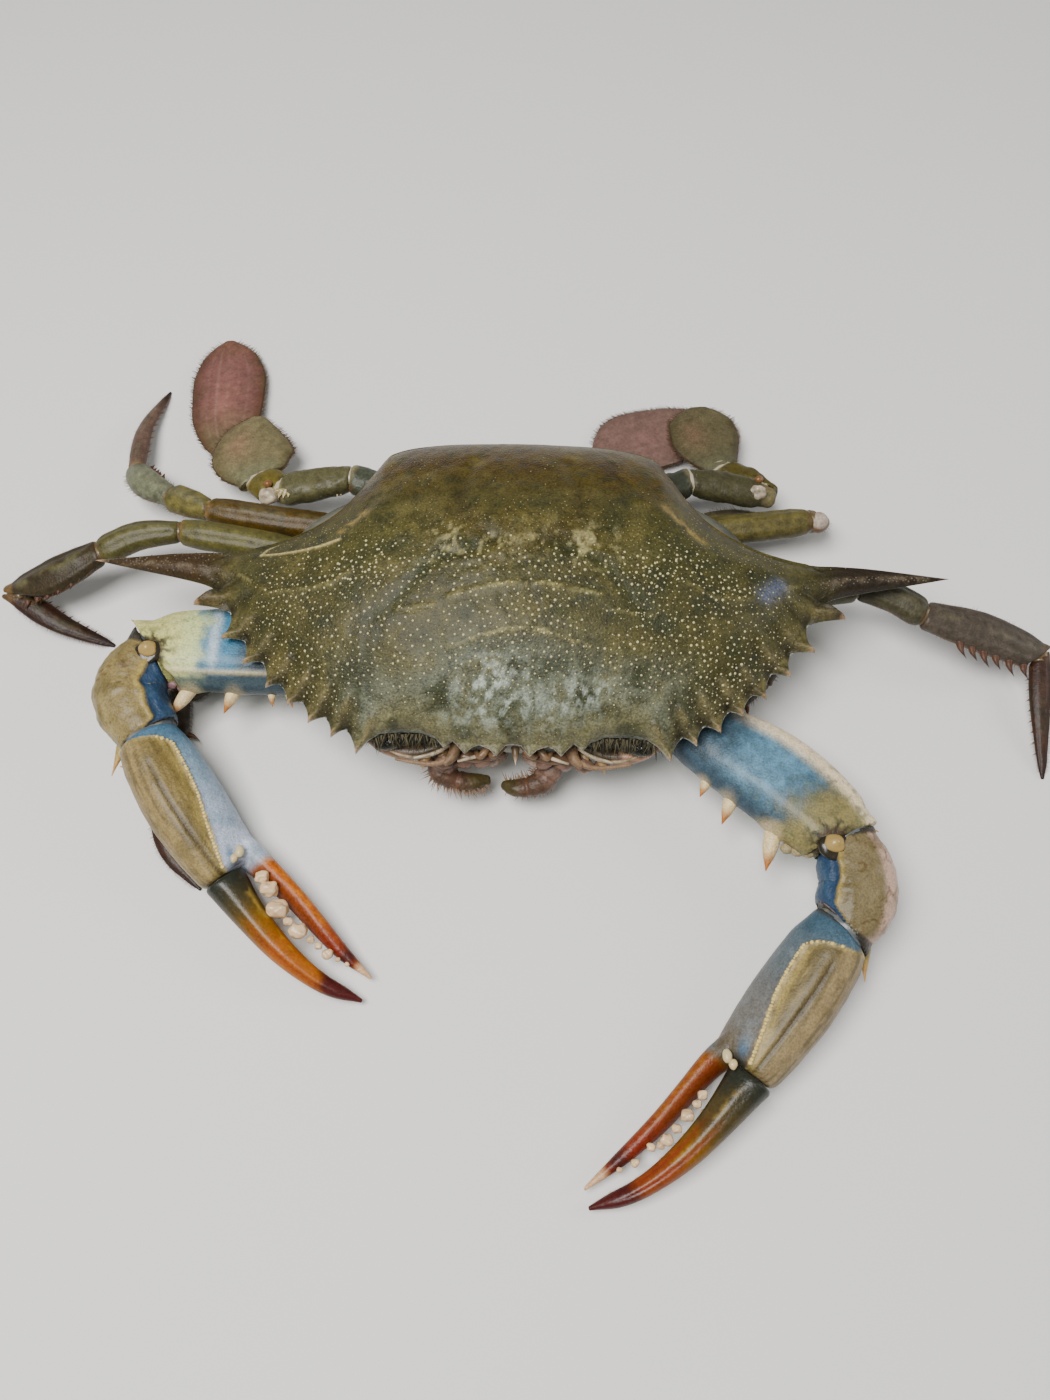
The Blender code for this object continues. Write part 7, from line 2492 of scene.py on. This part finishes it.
@dataclass
class Face:
    """Eyes, antennae and the outer mouth doors with their curled feelers."""

    lash_tufts: int = 40
    lash_colours: tuple[Colour, Colour] = ((0.014, 0.012, 0.007), (0.085, 0.074, 0.04))
    palps: dict[int, Sequence[Point]] = field(default_factory=lambda: {
        -1: [(-8.6, -28.4, 9.8), (-12.4, -30.4, 9.2), (-13.2, -32.0, 7.8), (-9.2, -33.3, 6.8),
             (-4.8, -32.7, 6.4)],
        1: [(6.6, -28.6, 9.8), (6.6, -31.2, 9.0), (5.0, -33.3, 7.4), (1.6, -34.2, 6.6), (-1.8, -33.6, 6.2)]})

    def build_eye(self, name: str, side: int) -> None:
        """A short stalk with a black lumpy cornea.

        Args:
            name: The node that it stands for.
            side: -1 for the crab's right, 1 for its left.
        """
        path = mirrored(side, (14.6, -28.1, 15.9), (19.2, -29.3, 16.0), (24.2, -30.1, 15.8))
        stalk = Rod(path, [(0, 1.1, 1.0), (0.45, 1.1, 1.05), (0.62, 1.2, 1.1), (0.85, 1.3, 1.2),
                           (1, 0.8, 0.7)], (0, 1, 0), 2.0)
        skin = stalk.skin(0.2)
        skin.raised(0.22 * Grain(1.1, 82).layered(skin.points)).fill((0.045, 0.042, 0.024))
        skin.lay(Tone.BLACK, step(skin.t, 0.45, 0.6)).speckle(0.7, 81, 0.4)
        Piece(name + "_stalk").add(skin).make(SMOOTH_SHELL, Slot.MOUTH, [name])
        cap = Rod(path, [(0, 0.2, 0.2), (0.55, 0.8, 0.8), (0.68, 1.35, 1.25), (0.86, 1.5, 1.35),
                         (1, 1.0, 0.9)], (0, 1, 0), 2.0).skin(0.16)
        lumps = np.sin(cap.t * 60) * np.sin(np.radians(cap.angle) * 14)
        cap.raised(0.05 * lumps * step(cap.t, 0.55, 0.7)).fill(Tone.BLACK)
        cap.lay((0.05, 0.05, 0.03), 0.5 * step(lumps, 0.2, 0.9))
        cap.gloss[:] = 0.3
        Piece(name + "_cornea").add(cap).make(WET_EYE, Slot.EYE)

    def build_antenna(self, name: str, side: int) -> None:
        """The stout base and the short whip.

        Args:
            name: The node that it stands for.
            side: -1 for the crab's right, 1 for its left.
        """
        base = Rod(mirrored(side, (10.2, -29.6, 15.0), (10.8, -31.8, 14.9), (12.0, -33.2, 14.8)),
                   [(0, 1.1, 1.0), (0.6, 0.95, 0.9), (1, 0.6, 0.6)], (1, 0, 0), 2.0).skin(0.25)
        whip = Rod(mirrored(side, (11.2, -32.2, 14.9), (13.8, -33.2, 14.6), (17.2, -33.1, 14.6),
                            (20.8, -32.6, 14.8)), [(0, 0.6, 0.6), (1, 0.25, 0.25)], squareness=2.0).skin(0.15)
        whip.raised(0.05 * np.sin(whip.t * 150))
        base.fill((0.17, 0.115, 0.075)).speckle(0.9, 84, 0.35)
        whip.fill((0.22, 0.15, 0.1))
        Piece(name + "_shell").add(base, whip).make(SMOOTH_SHELL, Slot.MOUTH, [name])

    def build_door(self, name: str, side: int, fringe: Fringe) -> None:
        """One outer mouth door with its feeler.

        Args:
            name: The node that it stands for.
            side: -1 for the crab's right, 1 for its left.
            fringe: The fringe of the mouth.
        """
        door = Rod(mirrored(side, (5.0, -18.4, 2.4), (5.2, -25.2, 5.6), (6.0, -30.2, 9.6)),
                   [(0, 3.2, 1.2), (0.25, 4.4, 1.3), (0.8, 4.4, 1.3), (1, 3.2, 1.2)], (1, 0, 0), 3.0)
        palp = Rod(self.palps[side], [(0, 1.8, 1.7), (0.3, 2.4, 1.8), (0.6, 2.0, 1.6), (0.85, 1.6, 1.3),
                                      (1, 0.9, 0.8)])
        plate = door.skin(0.3)
        seam = hump(plate.t, 0.62, 0.015) + ribs(plate.angle, (262,), 6) * step(plate.t, 0.6, 0.5)
        plate.raised(-0.25 * seam + 0.06 * Grain(2, 86).layered(plate.points))
        plate.fill((0.4, 0.38, 0.32)).lay((0.16, 0.11, 0.07), 0.6 * seam)
        plate.lay(Tone.PINK, 0.4 * step(plate.t, 0.6, 1.0))
        feeler = palp.skin(0.22)
        joints = hump(feeler.t, 0.36, 0.02) + hump(feeler.t, 0.68, 0.02)
        feeler.raised(-0.28 * joints + 0.1 * Grain(1.2, 87).layered(feeler.points))
        feeler.fill((0.074, 0.044, 0.03))
        feeler.lay((0.19, 0.132, 0.108), 0.7 * step(feeler.t, 0.5, 0.36))
        feeler.lay((0.05, 0.04, 0.018), step(feeler.t, 0.7, 0.9))
        feeler.lay((0.12, 0.06, 0.04), 0.7 * joints).speckle(0.8, 88, 0.25)
        feeler.gloss[:] = 0.2
        Piece(name + "_shell").add(plate, feeler).make(SMOOTH_SHELL, Slot.MOUTH, [name])
        fringe.row(palp, 200, (0.35, 0.98), 70, 1.7, (0.26, 0.16, 0.1), lean=0.4, wander=35, seed=4)
        fringe.row(palp, 300, (0.3, 0.95), 30, 1.2, (0.3, 0.18, 0.1), lean=0.4, wander=30, seed=5)

    def add_lashes(self, side: int, fringe: Fringe) -> None:
        """The lashes over one eye, three to a tuft, olive and nearly black in turn.

        Args:
            side: -1 for the crab's right, 1 for its left.
            fringe: The fringe of the mouth.
        """
        for k, x in enumerate(np.linspace(13.4, 25.2, self.lash_tufts)):
            root = np.array([side * x, -29.2 - 0.5 * step(x, 21, 26) - 0.15 * math.sin(k), 18.2])
            aim = unit([side * 0.3 * math.sin(k * 2.3), -0.85, -0.5])
            for _ in range(3):
                fringe.tuft(root, aim, 2.6 + 0.6 * math.sin(k * 1.7), self.lash_colours[k % 2])
                root = root + np.array([0.12, 0.0, 0.05])

    def build(self) -> None:
        """Makes both sides of the face."""
        fringe = Fringe("mouth_bristles")
        for label, side in (("right", -1), ("left", 1)):
            self.build_eye("eye_" + label, side)
            self.build_antenna("antenna_" + label, side)
            self.build_door("maxilliped_" + label, side, fringe)
            self.add_lashes(side, fringe)
        fringe.grow(0.14)


# Setting

@dataclass(frozen=True)
class Lamp:
    """One square light, turned towards the crab."""

    label: str
    place: Point
    size: float
    power: float
    warmth: Colour


@dataclass
class Studio:
    """Pale floor, soft light and the camera at the picture's own angle."""

    eye: Point = (0.005103, -0.111888, 0.1996)
    right: Point = (0.99957757, 0.02880187, -0.00389143)
    up: Point = (-0.02407443, 0.89554275, 0.44432376)
    forward: Point = (-0.0162823, 0.44404238, -0.89585783)
    focal_pixels: float = 1134.2
    long_side_pixels: float = 1400.0
    sensor: float = 36.0
    aim: Point = (0, -0.01, 0.01)
    half_floor: float = 1.5
    floor_colour: Colour = (0.72, 0.72, 0.71)
    floor_roughness: float = 0.75
    room_grey: float = 0.9
    room_strength: float = 0.34
    near_clip: float = 0.001
    lamps: Sequence[Lamp] = (Lamp("window", (-0.16, -0.12, 0.56), 0.3, 5.6, (1.0, 0.975, 0.94)),
                             Lamp("side sheen", (0.5, 0.05, 0.3), 0.18, 0.7, (1.0, 0.99, 0.97)))

    def build_floor(self) -> None:
        """A wide pale floor."""
        mesh = bpy.data.meshes.new("floor")
        half = self.half_floor
        mesh.from_pydata([(-half, -half, 0), (half, -half, 0), (half, half, 0), (-half, half, 0)], [],
                         [(0, 1, 2, 3)])
        floor = placed("floor", mesh)
        material = bpy.data.materials.new("pale floor")
        material.use_nodes = True
        shader = material.node_tree.nodes["Principled BSDF"]
        shader.inputs["Base Color"].default_value = (*self.floor_colour, 1)
        shader.inputs["Roughness"].default_value = self.floor_roughness
        mesh.materials.append(material)

    def build_lights(self) -> None:
        """A soft window above the camera, a gleam from the side and a pale surround."""
        for light in self.lamps:
            lamp = bpy.data.lights.new(light.label, "AREA")
            lamp.size = light.size
            lamp.energy = light.power
            lamp.color = light.warmth
            obj = placed(light.label, lamp)
            obj.location = light.place
            obj.rotation_euler = (Vector(self.aim) - Vector(light.place)).to_track_quat("-Z", "Y").to_euler()
        world = bpy.data.worlds.new("pale room")
        world.use_nodes = True
        background = world.node_tree.nodes["Background"]
        background.inputs[0].default_value = (self.room_grey, self.room_grey, self.room_grey, 1)
        background.inputs[1].default_value = self.room_strength
        bpy.context.scene.world = world

    def build_camera(self) -> None:
        """The camera, as solved from the picture."""
        data = bpy.data.cameras.new("camera")
        camera = placed("camera", data)
        matrix = Matrix((self.right, self.up, -Vector(self.forward))).transposed().to_4x4()
        matrix.translation = Vector(self.eye)
        camera.matrix_world = matrix
        data.sensor_width = self.sensor
        data.lens = self.focal_pixels / self.long_side_pixels * self.sensor
        data.clip_start = self.near_clip
        bpy.context.scene.camera = camera

    def build(self) -> None:
        """Makes the setting."""
        self.build_floor()
        self.build_lights()
        self.build_camera()


def build_limbs() -> None:
    """Makes the claws, the walking legs and the swimming legs, then their bristles."""
    for claw in claws():
        claw.build()
    leg_fringe = Fringe("leg_bristles")
    for leg in walking_legs():
        leg.build(leg_fringe)
    paddle_fringe = Fringe("paddle_bristles")
    for leg in swimming_legs():
        leg.build(paddle_fringe)
    leg_fringe.grow(0.05)
    paddle_fringe.grow(0.085)


def main() -> None:
    """Makes every piece around the frame."""
    logging.basicConfig(level=logging.INFO, format="%(name)s %(message)s")
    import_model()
    Studio().build()
    Carapace().build()
    Trunk().build()
    Face().build()
    build_limbs()


if __name__ == "__main__":
    main()
